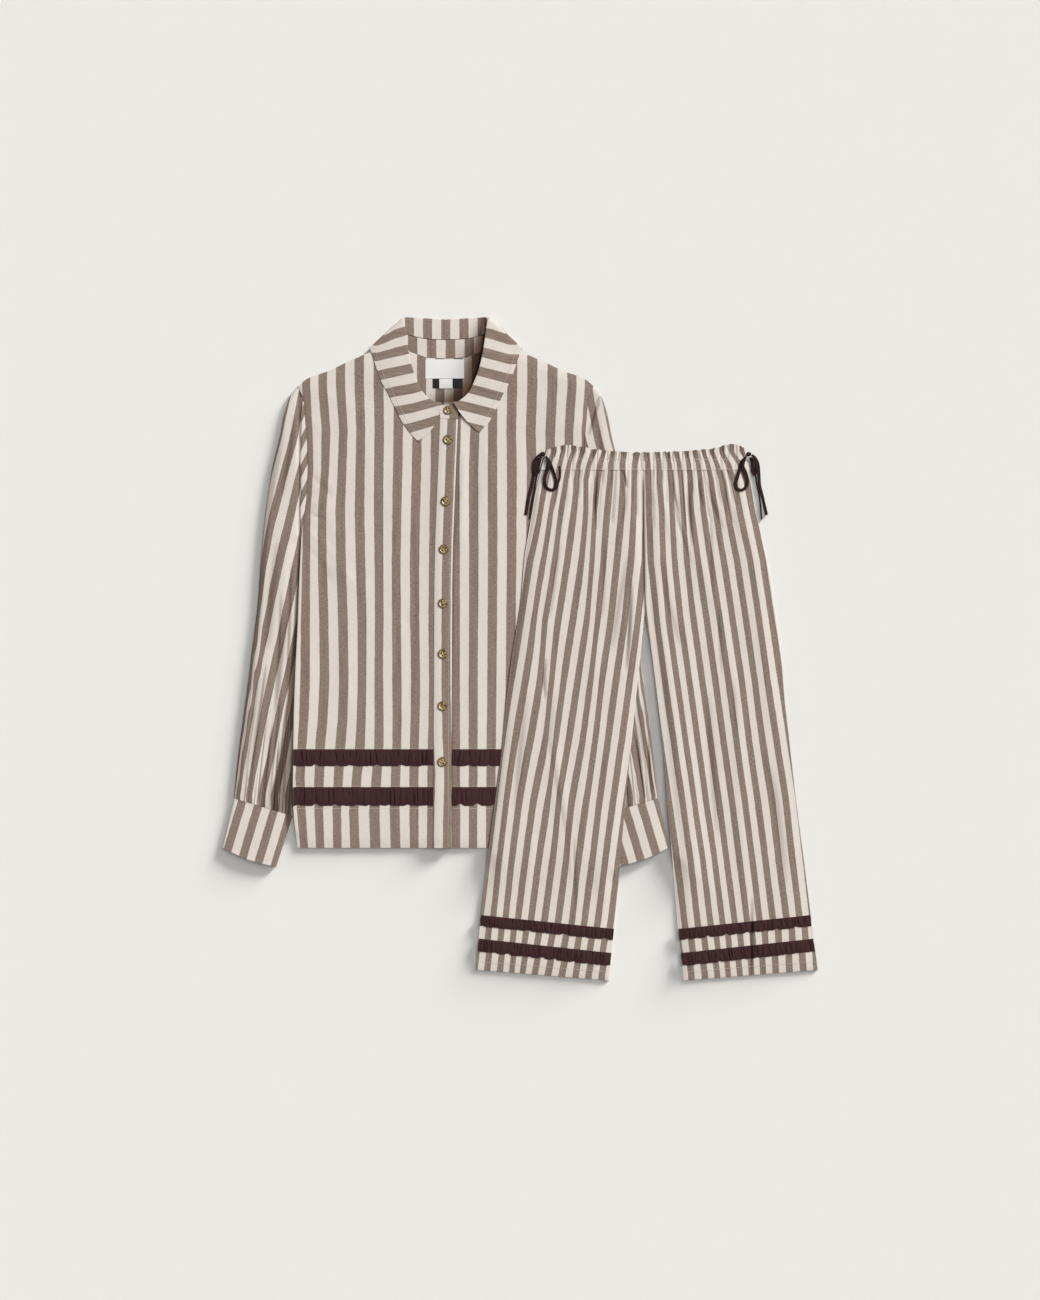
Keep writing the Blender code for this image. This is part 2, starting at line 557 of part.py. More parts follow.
def back_plan():
    """Plan of the back, from the left side to the right."""
    neck = [row[0] for row in collar_table(True)[NECK_CORNER:]]

    def top(t):
        half = chain([(rounded, SHOULDER), (straight, neck)], BACK_TOP_SHARES,
                     1.0 - np.abs(1.0 - 2.0 * t))
        out = half[..., 0] * np.where(np.asarray(t) < 0.5, -1.0, 1.0)
        return np.stack([SHIRT_X + out, half[..., 1]], axis=-1)

    def hem(t):
        return np.stack([SHIRT_X + (2.0 * t - 1.0) * 208.0, np.full_like(t, HEM_Y)], axis=-1)
    edge = [(straight, ARMHOLE), (rounded, SIDE_SEAM)]
    return patch(top, hem, lambda t: mirrored(chain(edge, SIDE_SHARES, t), -1),
                 lambda t: mirrored(chain(edge, SIDE_SHARES, t), 1))


def make_back():
    """The back, flat on the floor apart from the neck, which lies on the tucked collar."""
    half = steps((0.5 * BACK_TOP_SHARES[0], 5), (0.5, len(COLLAR_REST) - NECK_CORNER + 1))
    u = np.concatenate([half, 1.0 - half[-2::-1]])
    v = steps((SIDE_SHARES[0], len(ARMHOLE) - 1), (1.0, 4))
    under = grid(back_plan(), u, v, collar_base)
    sheet("shirt_back", lifted(under, WALL), under, STRIPED)


def make_placket(front_top):
    """The band along the left front's centre edge, one layer over the front."""
    rows = steps((SIDE_SHARES[0], len(ARMHOLE) - 1), (1.0, 2 * FRONT_ROWS))
    y = NECK_LINE - SEAM + rows * (HEM_Y - NECK_LINE + SEAM)
    out = placket_edge(y)[:, None] - PLACKET_WIDTH * np.array([0.0, 0.5, 1.0])
    x, y = SHIRT_X - out, np.repeat(y[:, None], 3, axis=1)
    under = np.stack([x, y, front_top(x, y) + SEAM + 0.12], axis=-1)
    upper = lifted(under, WALL)
    sheet("placket", upper, under, STRIPED)
    return facet_height(upper)


def sleeve_plan(side):
    """Plan of a sleeve: from the armhole round to the cuff's seam, outer edge to inner edge."""
    hole = [(p[0] + 0.4, p[1]) for p in ARMHOLE]
    cuff = [(p[0], p[1] + 0.4) for p in CUFF_TOP]
    outer = [hole[0]] + SLEEVE_OUTER[1:-1] + [cuff[0]]
    inner = ([hole[-1]] + [(p[0] + 0.9, p[1]) for p in SIDE_SEAM[1:6]]
             + [(214.4, -190.0), cuff[1]])
    return patch(lambda t: mirrored(straight(hole, t), side),
                 lambda t: mirrored(straight(cuff, t), side),
                 lambda t: mirrored(rounded(outer, t), side),
                 lambda t: mirrored(rounded(inner, t), side))


def cuff_plan(side):
    """Plan of a cuff, from its seam to its hem."""
    outer = [CUFF_TOP[0], CUFF_HEM[0]]
    inner = [CUFF_TOP[1], CUFF_HEM[-1]]
    return patch(lambda t: mirrored(rounded(CUFF_TOP, t), side),
                 lambda t: mirrored(rounded(CUFF_HEM, t), side),
                 lambda t: mirrored(rounded(outer, t), side),
                 lambda t: mirrored(rounded(inner, t), side))


def spread(count, rim):
    """Fractions across a flat tube: the two edges, one close to each, and even ones between."""
    return np.concatenate([[0.0], np.linspace(rim, 1.0 - rim, count - 2), [1.0]])


def sleeve_rise(u, v, x, y):
    """Height of a sleeve's upper face: a crown across it, a roll beside the armhole, gathers
    fanning up from the cuff, and flatter where the trousers lie on it."""
    crown = (4.0 * u * (1.0 - u)) ** 0.5
    roll = 1.1 * np.exp(-((v - 0.05) / 0.03) ** 2)
    fan = 0.55 * smooth((v - 0.8) / 0.2) * np.cos(2.0 * math.pi * 6.5 * u)
    free = 0.75 + 0.25 * (x < SHIRT_X)
    return LAID_FLAT + free * crown * (SLEEVE_RISE + roll + fan)


def make_sleeves():
    """Sleeves and cuffs, each a flattened tube of cloth."""
    runs = len(ARMHOLE) - 1
    u = np.unique(np.concatenate([np.arange(2 * runs + 1) / (2.0 * runs), [0.03, 0.97]]))
    u_low = np.array([0.03, 0.35, 0.65, 0.97])
    v = np.concatenate([[0.0, 0.03, 0.06, 0.11], np.linspace(0.2, 1.0, 8)])

    def plain(rise):
        return lambda U, V, x, y: LAID_FLAT + rise * (4.0 * U * (1.0 - U)) ** 0.5
    for word, side in (("left", -1), ("right", 1)):
        flat_tube(f"sleeve_{word}", sleeve_plan(side), u, u_low, v, floor, sleeve_rise,
                  plain(0.7 * SLEEVE_RISE), STRIPED)
        flat_tube(f"cuff_{word}", cuff_plan(side), spread(9, 0.03), u_low,
                  np.linspace(0.0, 1.0, 4), floor, plain(CUFF_RISE), plain(CUFF_RISE), STRIPED)


def collar_rows(left):
    """One half of the collar at every row of its table and halfway between, front end first.

    The neck seam runs straight from row to row, as the panels' edges do, and the rest is read
    from smooth curves through the rows.
    """
    table = np.array([np.concatenate([np.atleast_1d(c) for c in row])
                      for row in collar_table(left)], float)
    index = np.arange(len(table))
    at = np.arange(0.0, len(table) - 0.75, 0.5)
    slope = np.gradient(table, axis=0)
    k = np.minimum(at.astype(int), len(table) - 2)
    w = (at - k)[:, None]
    half = ((2 * w**3 - 3 * w**2 + 1) * table[k] + (w**3 - 2 * w**2 + w) * slope[k]
            + (3 * w**2 - 2 * w**3) * table[k + 1] + (w**3 - w**2) * slope[k + 1])
    for column in (0, 1):
        half[:, column] = np.interp(at, index, table[:, column])
    for column in (0, 2, 4, 6):
        half[:, column] = SHIRT_X + half[:, column] * (-1.0 if left else 1.0)
    return half


def towards(a, b, step):
    """Points a moved by step towards b."""
    d = b - a
    return a + step * d / np.linalg.norm(d, axis=-1, keepdims=True)


def inwards(points, step=0.7):
    """Points moved by step across the page, towards the shirt's centre line."""
    return points - np.stack([step * np.sign(points[:, 0] - SHIRT_X), 0.0 * points[:, 1]], axis=-1)


def thick(middle):
    """Upper and lower faces half a wall either side of a surface, along its normals."""
    du, dv = np.gradient(middle, axis=1), np.gradient(middle, axis=0)
    normal = np.cross(du, dv)
    normal /= np.linalg.norm(normal, axis=-1, keepdims=True)
    return middle + 0.5 * WALL * normal, middle - 0.5 * WALL * normal


def make_stand(rows, middle):
    """The collar stand: its left end laps over the centre, and its right end stops short of it."""
    neck, seam = rows[:, 0:2], rows[:, 2:4]
    base = collar_base(neck[:, 0], neck[:, 1])
    lower = np.column_stack([inwards(towards(neck, seam, 0.4)), rows[:, 8] + base])
    upper = np.column_stack([seam, rows[:, 9] + base])
    tab = SHIRT_X + TAB_REACH
    ends = [np.array([[tab, side[0, 1], side[0, 2]]]) for side in (lower, upper)]
    keep = (np.arange(len(rows)) <= middle) | (upper[:, 0] > tab + 0.8)
    keep &= (np.arange(len(rows)) <= middle) | (lower[:, 0] > tab + 0.8)
    lower, upper = np.concatenate([ends[0], lower[keep]]), np.concatenate([ends[1], upper[keep]])
    sheet("collar_stand", *thick(np.stack([lower, 0.5 * (lower + upper), upper], axis=1)),
          STRIPED)


def make_collar():
    """Stand and fall. The fall rises from the stand's upper seam, turns over the fold and ends
    at the outer edge, over the fronts and under the back."""
    left, right = collar_rows(True), collar_rows(False)
    rows = np.concatenate([left, right[-2::-1]])
    make_stand(rows, len(left) - 1)

    neck, seam, fold, edge = (rows[:, i:i + 2] for i in (0, 2, 4, 6))
    z_seam, z_fold, turn, bow = (rows[:, i] for i in (9, 10, 11, 12))
    base = collar_base(neck[:, 0], neck[:, 1])
    z_seam, z_fold = z_seam + base, z_fold + base
    r = COLLAR_RADIUS
    before, after = towards(fold, seam, r), towards(fold, edge, r)
    profile = [np.column_stack([inwards(towards(seam, fold, 0.8), 0.4), z_seam + 0.2]),
               np.column_stack([before, z_fold - turn * r]),
               np.column_stack([fold, z_fold]),
               np.column_stack([after, z_fold + turn * r])]
    out = edge - fold
    across = np.stack([-out[:, 1], out[:, 0]], axis=-1)
    across /= np.linalg.norm(across, axis=-1, keepdims=True)
    across *= np.where(np.arange(len(rows)) < len(left), 1.0, -1.0)[:, None]
    over = smooth(0.5 + 0.5 * turn)
    for t in (0.3, 0.65, 1.0):
        xy = fold + t * out + across * (bow * 4.0 * t * (1.0 - t))[:, None]
        on_front = shirt_top(xy[:, 0], xy[:, 1]) + SEAM + 0.5 * WALL + 0.3
        tucked = 0.5 * WALL + 0.02
        level = on_front * over + tucked * (1.0 - over)
        from_fold = (z_fold + turn * r) * (1.0 - t) + level * t
        z = np.where(turn > 0.5, np.maximum(from_fold, on_front), from_fold)
        profile.append(np.column_stack([xy, z]))
    sheet("collar_fall", *thick(np.stack(profile, axis=1)), STRIPED)


def make_button(name, x, y, z, across):
    """A turned disc with a raised rim and a dished middle."""
    r, t = 0.5 * across, BUTTON_THICK
    profile = [(0.0, 0.0), (0.75 * r, 0.0), (r, 0.5 * t), (0.88 * r, t), (0.62 * r, 0.75 * t),
               (0.0, 0.72 * t)]
    mesh = bpy.data.meshes.new(name)
    mesh.from_pydata([(px * MM, 0.0, pz * MM) for px, pz in profile[::-1]],
                     [(i, i + 1) for i in range(len(profile) - 1)], [])
    obj = bpy.data.objects.new(name, mesh)
    bpy.context.scene.collection.objects.link(obj)
    turned = obj.modifiers.new("Screw", "SCREW")
    turned.steps = turned.render_steps = 12
    turned.use_merge_vertices = True
    turned.merge_threshold = 0.00001
    obj.location = (x * MM, y * MM, z * MM)
    return finish(obj, HORN)


def make_buttons(band_top):
    """One button on the stand, and seven down the placket."""
    x, y = STAND_BUTTON
    stand_top = COLLAR_LEFT_END[0][5] + 0.5 * WALL
    make_button("button_1", x, y, stand_top + SEAM, STAND_BUTTON_ACROSS)
    for i, y in enumerate(BUTTON_Y):
        x = SHIRT_X - placket_edge(y) + 0.5 * PLACKET_WIDTH
        reach = np.array([-0.5, 0.0, 0.5]) * BUTTON_ACROSS
        X, Y = np.meshgrid(x + reach, y + reach)
        make_button(f"button_{i + 2}", x, y, band_top(X, Y).max() + SEAM, BUTTON_ACROSS)


def make_labels():
    """A bare label and two bare tabs, flat on the inside of the back."""
    tags = [("neck_label", -105.0, 54.0, 407.4, 380.6, 0, WHITE),
            ("dark_tab", -100.8, 42.0, 380.1, 367.0, 0, INK),
            ("size_tab", -103.4, 18.5, 380.0, 366.6, 1, WHITE)]
    for name, centre, width, top, bottom, layer, colour in tags:
        x, y = np.meshgrid(centre + width * np.linspace(-0.5, 0.5, 3),
                           np.linspace(top, bottom, 3))
        z = collar_base(x, y) + (layer + 1) * PLY - layer * 0.2
        under = np.stack([x, y, z], axis=-1)
        sheet(name, lifted(under, WALL - 0.2), under, colour)


def ruffle(name, plan, waves, top, amplitude, depth_share, per_wave=3):
    """A gathered strip on a panel: flat along its sewn edge, waving more towards its free edge.

    plan(u, w) gives its place from end to end and from the sewn edge (0) to the free one (1).
    """
    u = np.linspace(0.0, 1.0, per_wave * waves + 1)
    w = np.array(depth_share)
    xy = plan(u, w)
    U, W = np.meshgrid(u, w)
    drift = 0.8 * np.sin(2.0 * math.pi * 2.3 * U + 1.0) + 0.5 * np.sin(2.0 * math.pi * 5.1 * U)
    wave = 0.5 + 0.5 * np.cos(2.0 * math.pi * waves * U + drift)
    lift = amplitude(xy[..., 0], xy[..., 1]) * W * wave
    x, y = xy[..., 0], xy[..., 1] - 0.9 * W * wave
    under = np.stack([x, y, top(x, y) + SEAM + lift], axis=-1)
    sheet(name, lifted(under, WALL), under, DARK)


def make_shirt_ruffles(front_tops):
    """Two ruffles on each front, from the side seam to the placket."""
    for word, y_top, depth in SHIRT_RUFFLES:
        for side_word, side in (("left", -1), ("right", 1)):
            near = placket_edge(y_top) + 0.6 if side < 0 else PLACKET_WIDTH - 15.6
            y_low = y_top - depth

            def plan(u, w, side=side, near=near, y_top=y_top, y_low=y_low):
                U, W = np.meshgrid(u, w)
                out = 213.0 + (near - 213.0) * U
                return np.stack([SHIRT_X + side * out, y_top + (y_low - y_top) * W], axis=-1)
            ruffle(f"ruffle_{word}_{side_word}", plan, SHIRT_RUFFLE_WAVES,
                   front_tops[side_word], lambda x, y: 0.35 + 1.75 * pressed(x, y),
                   [0.0, 0.45, 1.0])


# --- Trousers --------------------------------------------------------------------------------

def leg_plan(table):
    """Plan of a leg from its outer edge to its inner one, the waist seam to the hem."""
    def edge(column, stretch):
        def at(v):
            down = np.asarray(v) * LEG_LENGTH
            return np.stack([leg_edge(table, down, column), WAIST_Y - down * stretch], axis=-1)
        return at
    outer, inner = edge(1, 1.0), edge(2, INSIDE_STRETCH)

    def between(t, v):
        return (1 - t)[:, None] * outer(np.array([v])) + t[:, None] * inner(np.array([v]))
    return patch(lambda t: between(t, 0.0), lambda t: between(t, 1.0), outer, inner)


def trouser_under(plan, u, v):
    """Underside of a trouser front over its plan."""
    xy = plan(u, v)
    U, V = np.meshgrid(u, v)
    x, y = xy[..., 0], xy[..., 1]
    z = trouser_base(x, y) + PLY + trouser_loft(x, y, U, V)
    return np.concatenate([xy, z[..., None]], axis=-1)


def make_legs():
    """Fronts and backs of both legs, each panel from the waist to the hem."""
    u, v = np.array([0.0, 0.04, 0.11, 0.25, 0.42, 0.6, 0.78, 0.9, 0.96, 1.0]), steps(
        (192.0 / LEG_LENGTH, 5), (0.97, 11), (1.0, 1))
    tops = {}
    for word, table in (("left", LEFT_LEG), ("right", RIGHT_LEG)):
        plan = leg_plan(table)
        under = trouser_under(plan, u, v)
        upper = lifted(under, WALL)
        sheet(f"trouser_front_{word}", upper, under, STRIPED)
        back = grid(plan, u, v, trouser_base)
        sheet(f"trouser_back_{word}", lifted(back, WALL), back, STRIPED)
        tops[word] = facet_height(upper)
    return tops


def make_leg_ruffles(tops):
    """Two ruffles round the front of each leg, just above its hem."""
    for side_word, table in (("left", LEFT_LEG), ("right", RIGHT_LEG)):
        for word, outer, inner, depth in LEG_RUFFLES:
            def plan(u, w, table=table, outer=outer, inner=inner, depth=depth):
                U, W = np.meshgrid(0.005 + 0.99 * u, w)
                down = LEG_LENGTH - (outer + (inner - outer) * U) + depth * W
                x = (1.0 - U) * leg_edge(table, down, 1) + U * leg_edge(table, down, 2)
                return np.stack([x, WAIST_Y - down * (1.0 + (INSIDE_STRETCH - 1.0) * U)], axis=-1)
            ruffle(f"leg_ruffle_{word}_{side_word}", plan, LEG_RUFFLE_WAVES, tops[side_word],
                   lambda x, y: np.full_like(x, 1.6), [0.0, 1.0], per_wave=2)


def make_waistband():
    """One flattened tube, gathered by its elastic: a soft heading over the casing."""
    clear = 0.4
    seam = [(x, y + clear) for x, y in WAIST_SEAM]
    band = patch(lambda t: rounded(WAIST_TOP, t), lambda t: rounded(seam, t),
                 lambda t: rounded([WAIST_TOP[0], seam[0]], t),
                 lambda t: rounded([WAIST_TOP[-1], seam[-1]], t))

    def gathers(u, v, x, y):
        wave = np.cos(2.0 * math.pi * WAIST_GATHERS * u + 0.7 * np.sin(2.0 * math.pi * 3.0 * u))
        swell = 0.55 + 0.65 * np.abs(np.sin(math.pi * np.clip(v * 1.9, 0.0, 1.9)))
        return plain(u, v, x, y) + swell * (0.5 + 0.5 * wave)

    def plain(u, v, x, y):
        return LAID_FLAT + 0.3 + 0.9 * np.minimum(1.0, 8.0 * np.minimum(u, 1.0 - u))
    u = np.concatenate([[0.0], np.linspace(0.01, 0.99, 2 * WAIST_GATHERS + 1), [1.0]])
    flat_tube("waistband", band, u, np.linspace(0.01, 0.99, 13), np.array([0.0, 0.4, 0.7, 1.0]),
              trouser_base, gathers, plain, STRIPED)


# --- Bows ------------------------------------------------------------------------------------

def make_strand(name, half, count, route):
    """A flat tie along a smooth route: a round tube, pressed flat."""
    middle = rounded(route, np.linspace(0.0, 1.0, count))
    flat = half[1] / half[0]
    curve = bpy.data.curves.new(name, "CURVE")
    curve.dimensions = "3D"
    curve.bevel_depth = half[0] * MM
    curve.bevel_resolution = 2
    curve.use_fill_caps = True
    line = curve.splines.new("POLY")
    line.points.add(count - 1)
    for point, (x, y, z) in zip(line.points, middle):
        point.co = (x * MM, y * MM, z * MM / flat, 1.0)
    tie = bpy.data.objects.new(name, curve)
    bpy.context.scene.collection.objects.link(tie)
    tie.scale = (1.0, 1.0, flat)
    finish(tie, DARK)


def make_bows():
    """A knot at each side seam, with its loops and tails."""
    for side, place in KNOTS.items():
        shell = bmesh.new()
        bmesh.ops.create_uvsphere(shell, u_segments=10, v_segments=6, radius=1.0)
        bmesh.ops.scale(shell, vec=[h * MM for h in KNOT_HALF], verts=shell.verts)
        mesh = bpy.data.meshes.new(f"bow_{side}_knot")
        shell.to_mesh(mesh)
        shell.free()
        knot = bpy.data.objects.new(f"bow_{side}_knot", mesh)
        bpy.context.scene.collection.objects.link(knot)
        knot.location = [c * MM for c in place]
        finish(knot, DARK)
    for name, (half, count, route) in STRANDS.items():
        make_strand(f"bow_{name}", half, count, route)


def clear_scene():
    """Remove every object."""
    for obj in list(bpy.data.objects):
        bpy.data.objects.remove(obj)


def centre_on_origin():
    """Move everything so that the middle of the whole set is over the origin."""
    for obj in bpy.data.objects:
        obj.location.x -= SET_MIDDLE[0] * MM
        obj.location.y -= SET_MIDDLE[1] * MM


def main():
    clear_scene()
    make_back()
    front_tops = make_fronts()
    band_top = make_placket(front_tops["left"])
    make_sleeves()
    make_collar()
    make_buttons(band_top)
    make_labels()
    make_shirt_ruffles(front_tops)
    leg_tops = make_legs()
    make_leg_ruffles(leg_tops)
    make_waistband()
    make_bows()
    centre_on_origin()


main()
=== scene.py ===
# %% [markdown]
# # A striped pyjama set, laid flat
# A button-through shirt with ruffled trousers over its right side. The imported model gives the
# frame: every piece below has to lie where its solid lies, so the lesson opens with the frame.

# %% Open the frame
import math

import bpy
import numpy as np
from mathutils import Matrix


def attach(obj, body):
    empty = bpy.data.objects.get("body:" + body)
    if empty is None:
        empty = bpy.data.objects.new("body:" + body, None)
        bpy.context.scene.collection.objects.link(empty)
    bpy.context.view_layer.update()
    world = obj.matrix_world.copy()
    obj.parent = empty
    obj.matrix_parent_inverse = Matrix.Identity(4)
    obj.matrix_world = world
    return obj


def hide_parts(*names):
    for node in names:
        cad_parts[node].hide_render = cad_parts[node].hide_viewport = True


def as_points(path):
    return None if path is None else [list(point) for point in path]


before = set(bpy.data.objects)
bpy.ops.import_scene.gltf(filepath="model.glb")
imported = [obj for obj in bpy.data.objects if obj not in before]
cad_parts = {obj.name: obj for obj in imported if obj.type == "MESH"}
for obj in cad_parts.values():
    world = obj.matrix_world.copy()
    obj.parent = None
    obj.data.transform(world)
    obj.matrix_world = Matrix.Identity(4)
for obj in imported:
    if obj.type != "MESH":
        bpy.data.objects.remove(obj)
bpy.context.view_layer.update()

print("frame:", len(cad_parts), "solids")

# %% [markdown]
# ## Sizes
# A pattern cutter works from a short list of measures. All are in millimetres on one page, with
# the collar towards +y. Shirt measures are "out" from its centre line, so one list serves both
# halves. The solids were made from the same lists, which is why the cloth fits them.

# %% Measures of the whole set
MM = 0.001
THIN = 0.8                 # one layer of cloth, as it is seen
SET_MIDDLE = (0.25, 2.0)   # middle of the set's outline in the tables below
WALL = 1.2                 # thickness of one layer
SEAM = 0.3                 # clearance between two layers or two sewn pieces
PLY = WALL + SEAM          # one layer and its clearance
LAID_FLAT = 2.0 * PLY      # lowest height of a flattened tube

# %% Measures of the shirt
SHIRT_X = -103.6           # centre line
HEM_Y = -276.8
NECK_LINE = 323.6          # lowest place of the front neck
SHIRT_LOFT = 1.9           # how far the front floats over the back between its seams
PLACKET_WIDTH = 25.0
UNDERLAP = 13.0            # the right front's reach under the placket, from the placket's edge
BUTTON_ACROSS = 13.7
BUTTON_THICK = 2.4
STAND_BUTTON_ACROSS = 12.3
COLLAR_RADIUS = 1.0        # of the collar's fold, to the middle of its cloth
CUFF_RISE = 1.9
SLEEVE_RISE = 2.3
FRONT_TOP_SHARES = (0.55, 0.45)    # shoulder and neck
BACK_TOP_SHARES = (0.7, 0.3)
HEM_HALF = 208.0           # half the shirt's width at its hem
SIDE_SHARES = (0.33, 0.67)         # armhole and side seam
# Shoulder of the shirt, as (out, y)
SHOULDER = [(206.8, 370), (197.7, 377.9), (163.9, 391.4), (138.2, 403.6), (102.5, 418.3),
            (58.4, 433)]

# Armhole from the shoulder to the underarm, then the side seam down to the hem, as (out, y)
ARMHOLE = [(206.8, 370), (199, 352), (197.5, 335), (194, 290), (193, 255),
           (195, 210), (200, 178), (202.4, 157)]

SIDE_SEAM = [(202.4, 157), (205, 95), (207.3, 33), (210.4, -27.6), (212.6, -90),
             (213.5, -150), (213.5, -219), (208, -276.8)]

# Outer edge of a sleeve and cuff, as (out, y)
SLEEVE_OUTER = [(207.2, 370), (217, 357), (225.1, 334.3), (232.4, 299.3), (243, 254.7),
                (250.5, 209), (257.9, 140.4), (263.5, 63.4), (271.2, 2.7), (278.7, -58.1),
                (289.4, -137.1), (296.8, -207.5)]

CUFF_TOP = [(296.8, -207.5), (214.4, -232)]
CUFF_HEM = [(313.2, -276.1), (276.5, -293), (237.6, -303.4)]
PLACKET_EDGE = [(324, 8), (252, 10.8), (154, 14.7), (90, 16), (-276.8, 17.5)]
BUTTON_Y = [294.8, 208.5, 141.5, 65.8, -4.9, -77.8, -156.1]
STAND_BUTTON = (-100.4, 336.2)

# Collar, half of it from the front end to the centre back: neck seam, stand's upper seam, fold
# and outer edge as (out, y), then heights over the raised base, the fold's turn, which is 1 where
# the leaf lies over the front and -1 where it is tucked under the back, and the sideways bow.
COLLAR_LEFT_END = [
    # neck seam      upper seam      fold            outer edge      z neck  upper  fold turn bow
    ((5.9, 323.8), (5.9, 343.6), (5.9, 346.6), (37.8, 291.6), 5, 5, 6, 1, 7.5),
    ((24.8, 330.8), (19.3, 345.8), (18.2, 348.7), (48.6, 302.8), 3.4, 4.2, 5.3, 1, 3),
]

COLLAR_RIGHT_END = [
    ((10.5, 325.6), (10.5, 344.2), (10.5, 347.2), (47.5, 304.5), 4.2, 4.6, 6.3, 1, 3),
    ((24.8, 330.8), (19.3, 345.8), (18.2, 348.7), (54, 313), 3.4, 4.2, 5.4, 1, 1.5),
]

COLLAR_REST = [
    ((41, 344.8), (33, 356), (30.4, 358.8), (61, 320), 3.1, 4.1, 5.2, 1, 1),
    ((50, 362), (41.5, 370.5), (38.8, 373.4), (70.3, 337.8), 3, 4, 5.2, 1, 0),
    ((55, 384), (49, 393), (47.2, 395.9), (80.8, 359.5), 3, 4, 5.2, 1, 0),
    ((56.8, 405), (53.6, 417), (53, 422.7), (91.3, 379.1), 2.7, 4, 5.2, 1, 0),
    ((57.8, 420), (56, 440), (56.9, 451.2), (99.7, 403.6), 2.4, 3.8, 5, 1, 0),
    ((58.2, 429), (57.5, 443), (59.3, 463.6), (105.4, 420.4), 2.2, 3.4, 4.7, 1, 0),
    ((58.4, 433), (58.2, 445.5), (60.9, 465.6), (107.4, 422.6), 1.5, 2.6, 2.6, 0, 0),
    ((54.5, 425), (56, 444), (58.4, 465.9), (105.4, 420.4), 0.7, 1.7, 0.4, -1, 0),
    ((50, 418.3), (51.5, 441), (51.5, 465.8), (95, 412), 0.6, 1.7, 0.4, -1, 0),
    ((29, 409.9), (29, 436), (29, 464.4), (50, 395.2), 0.6, 1.7, 0.4, -1, 0),
    ((0, 408.2), (0, 434.4), (0, 462.7), (0, 391), 0.6, 1.7, 0.4, -1, 0),
]

NECK_CORNER = 8            # row of a whole collar table that meets the shoulder seam
COLLAR_RAISE = 1.5         # the back neck rides this much over the tucked part of the collar
TAB_REACH = 17.0           # the stand's front end past the centre line
# Name, height of the sewn edge and depth
SHIRT_RUFFLES = [("upper", -138.5, 23.0), ("lower", -191.5, 25.5)]

# Largest folds, as (x, y) along the ridge, half width and height
SHIRT_FOLDS = [
    ([(-84, 318), (-82, 240), (-88, 150)], 9, 1.3),
    ([(-284, 250), (-262, 190), (-236, 60)], 12, 1),
    ([(-300, 140), (-262, 118), (-200, 70)], 11, 1.1),
    ([(-176, 280), (-168, 120), (-182, -40)], 14, 0.8),
    ([(-250, -40), (-226, -90), (-230, -130)], 13, 0.9),
]

# %% Measures of the trousers
WAIST_Y = 251.4            # seam between the waistband and the legs
LEG_LENGTH = 699.0         # down the outer edge
INSIDE_STRETCH = 1.0214    # inner edge over outer edge, since the hems slope
TROUSER_LOFT = 2.3
PILE_HEIGHT = 5.8          # underside of the trousers where they lie on the shirt
PILE_EDGE = 3.0            # how far outside the shirt they start to come down
PILE_RAMP = 27.0           # run over which they come down to the floor

# Legs: distance down the outer edge, and where the outer and inner edges are across the page
LEFT_LEG = [(0, 29.5, 172.6), (40, 20.0, 173.0), (75, 14.4, 173.4), (110, 8.3, 173.9),
            (192, 0.5, 175.0), (250, -9.4, 169.3), (320, -18.7, 161.8), (386, -24.5, 154.8),
            (440, -31.5, 149.0), (530, -43.8, 141.0), (622, -54.7, 133.5), (699, -61.4, 125.2)]

RIGHT_LEG = [(0, 321.5, 172.9), (48, 328.0, 173.3), (97, 339.5, 174.1), (130, 346.5, 174.5),
             (192, 356.4, 175.3), (266, 366.3, 187.0), (320, 370.8, 193.4), (386, 378.3, 201.6),
             (460, 386.8, 206.8), (530, 395.8, 213.5), (622, 407.5, 220.8), (699, 417.3, 229.7)]

# Name, height of the sewn edge over the hem at the outer and the inner side, and depth
LEG_RUFFLES = [("upper", 77.0, 71.0, 15.0), ("lower", 44.0, 38.0, 17.5)]

# Waistband: its upper edge, its sewn edge, and the heading's stitching, as (x, y)
WAIST_TOP = [(38, 282), (57.8, 287.4), (102.3, 282), (163.9, 278), (221.4, 279.4),
             (270, 283.6), (306.4, 288), (314, 284.5)]

WAIST_SEAM = [(29, 251.8), (172.7, 251.8), (322, 251.8)]
TROUSER_FOLDS = [
    ([(48, -70), (42, -127), (51, -186), (72, -320)], 10, 1.4),
    ([(108, 240), (102, 190), (96, 120)], 8, 1.1),
    ([(228, 245), (236, 163), (281, 48), (306, -70), (312, -290),
      (322, -380)], 10, 1.5),
    ([(140, 60), (110, 10), (96, -80)], 12, 0.9),
    ([(212, 70), (236, 0), (246, -120)], 12, 0.9),
]

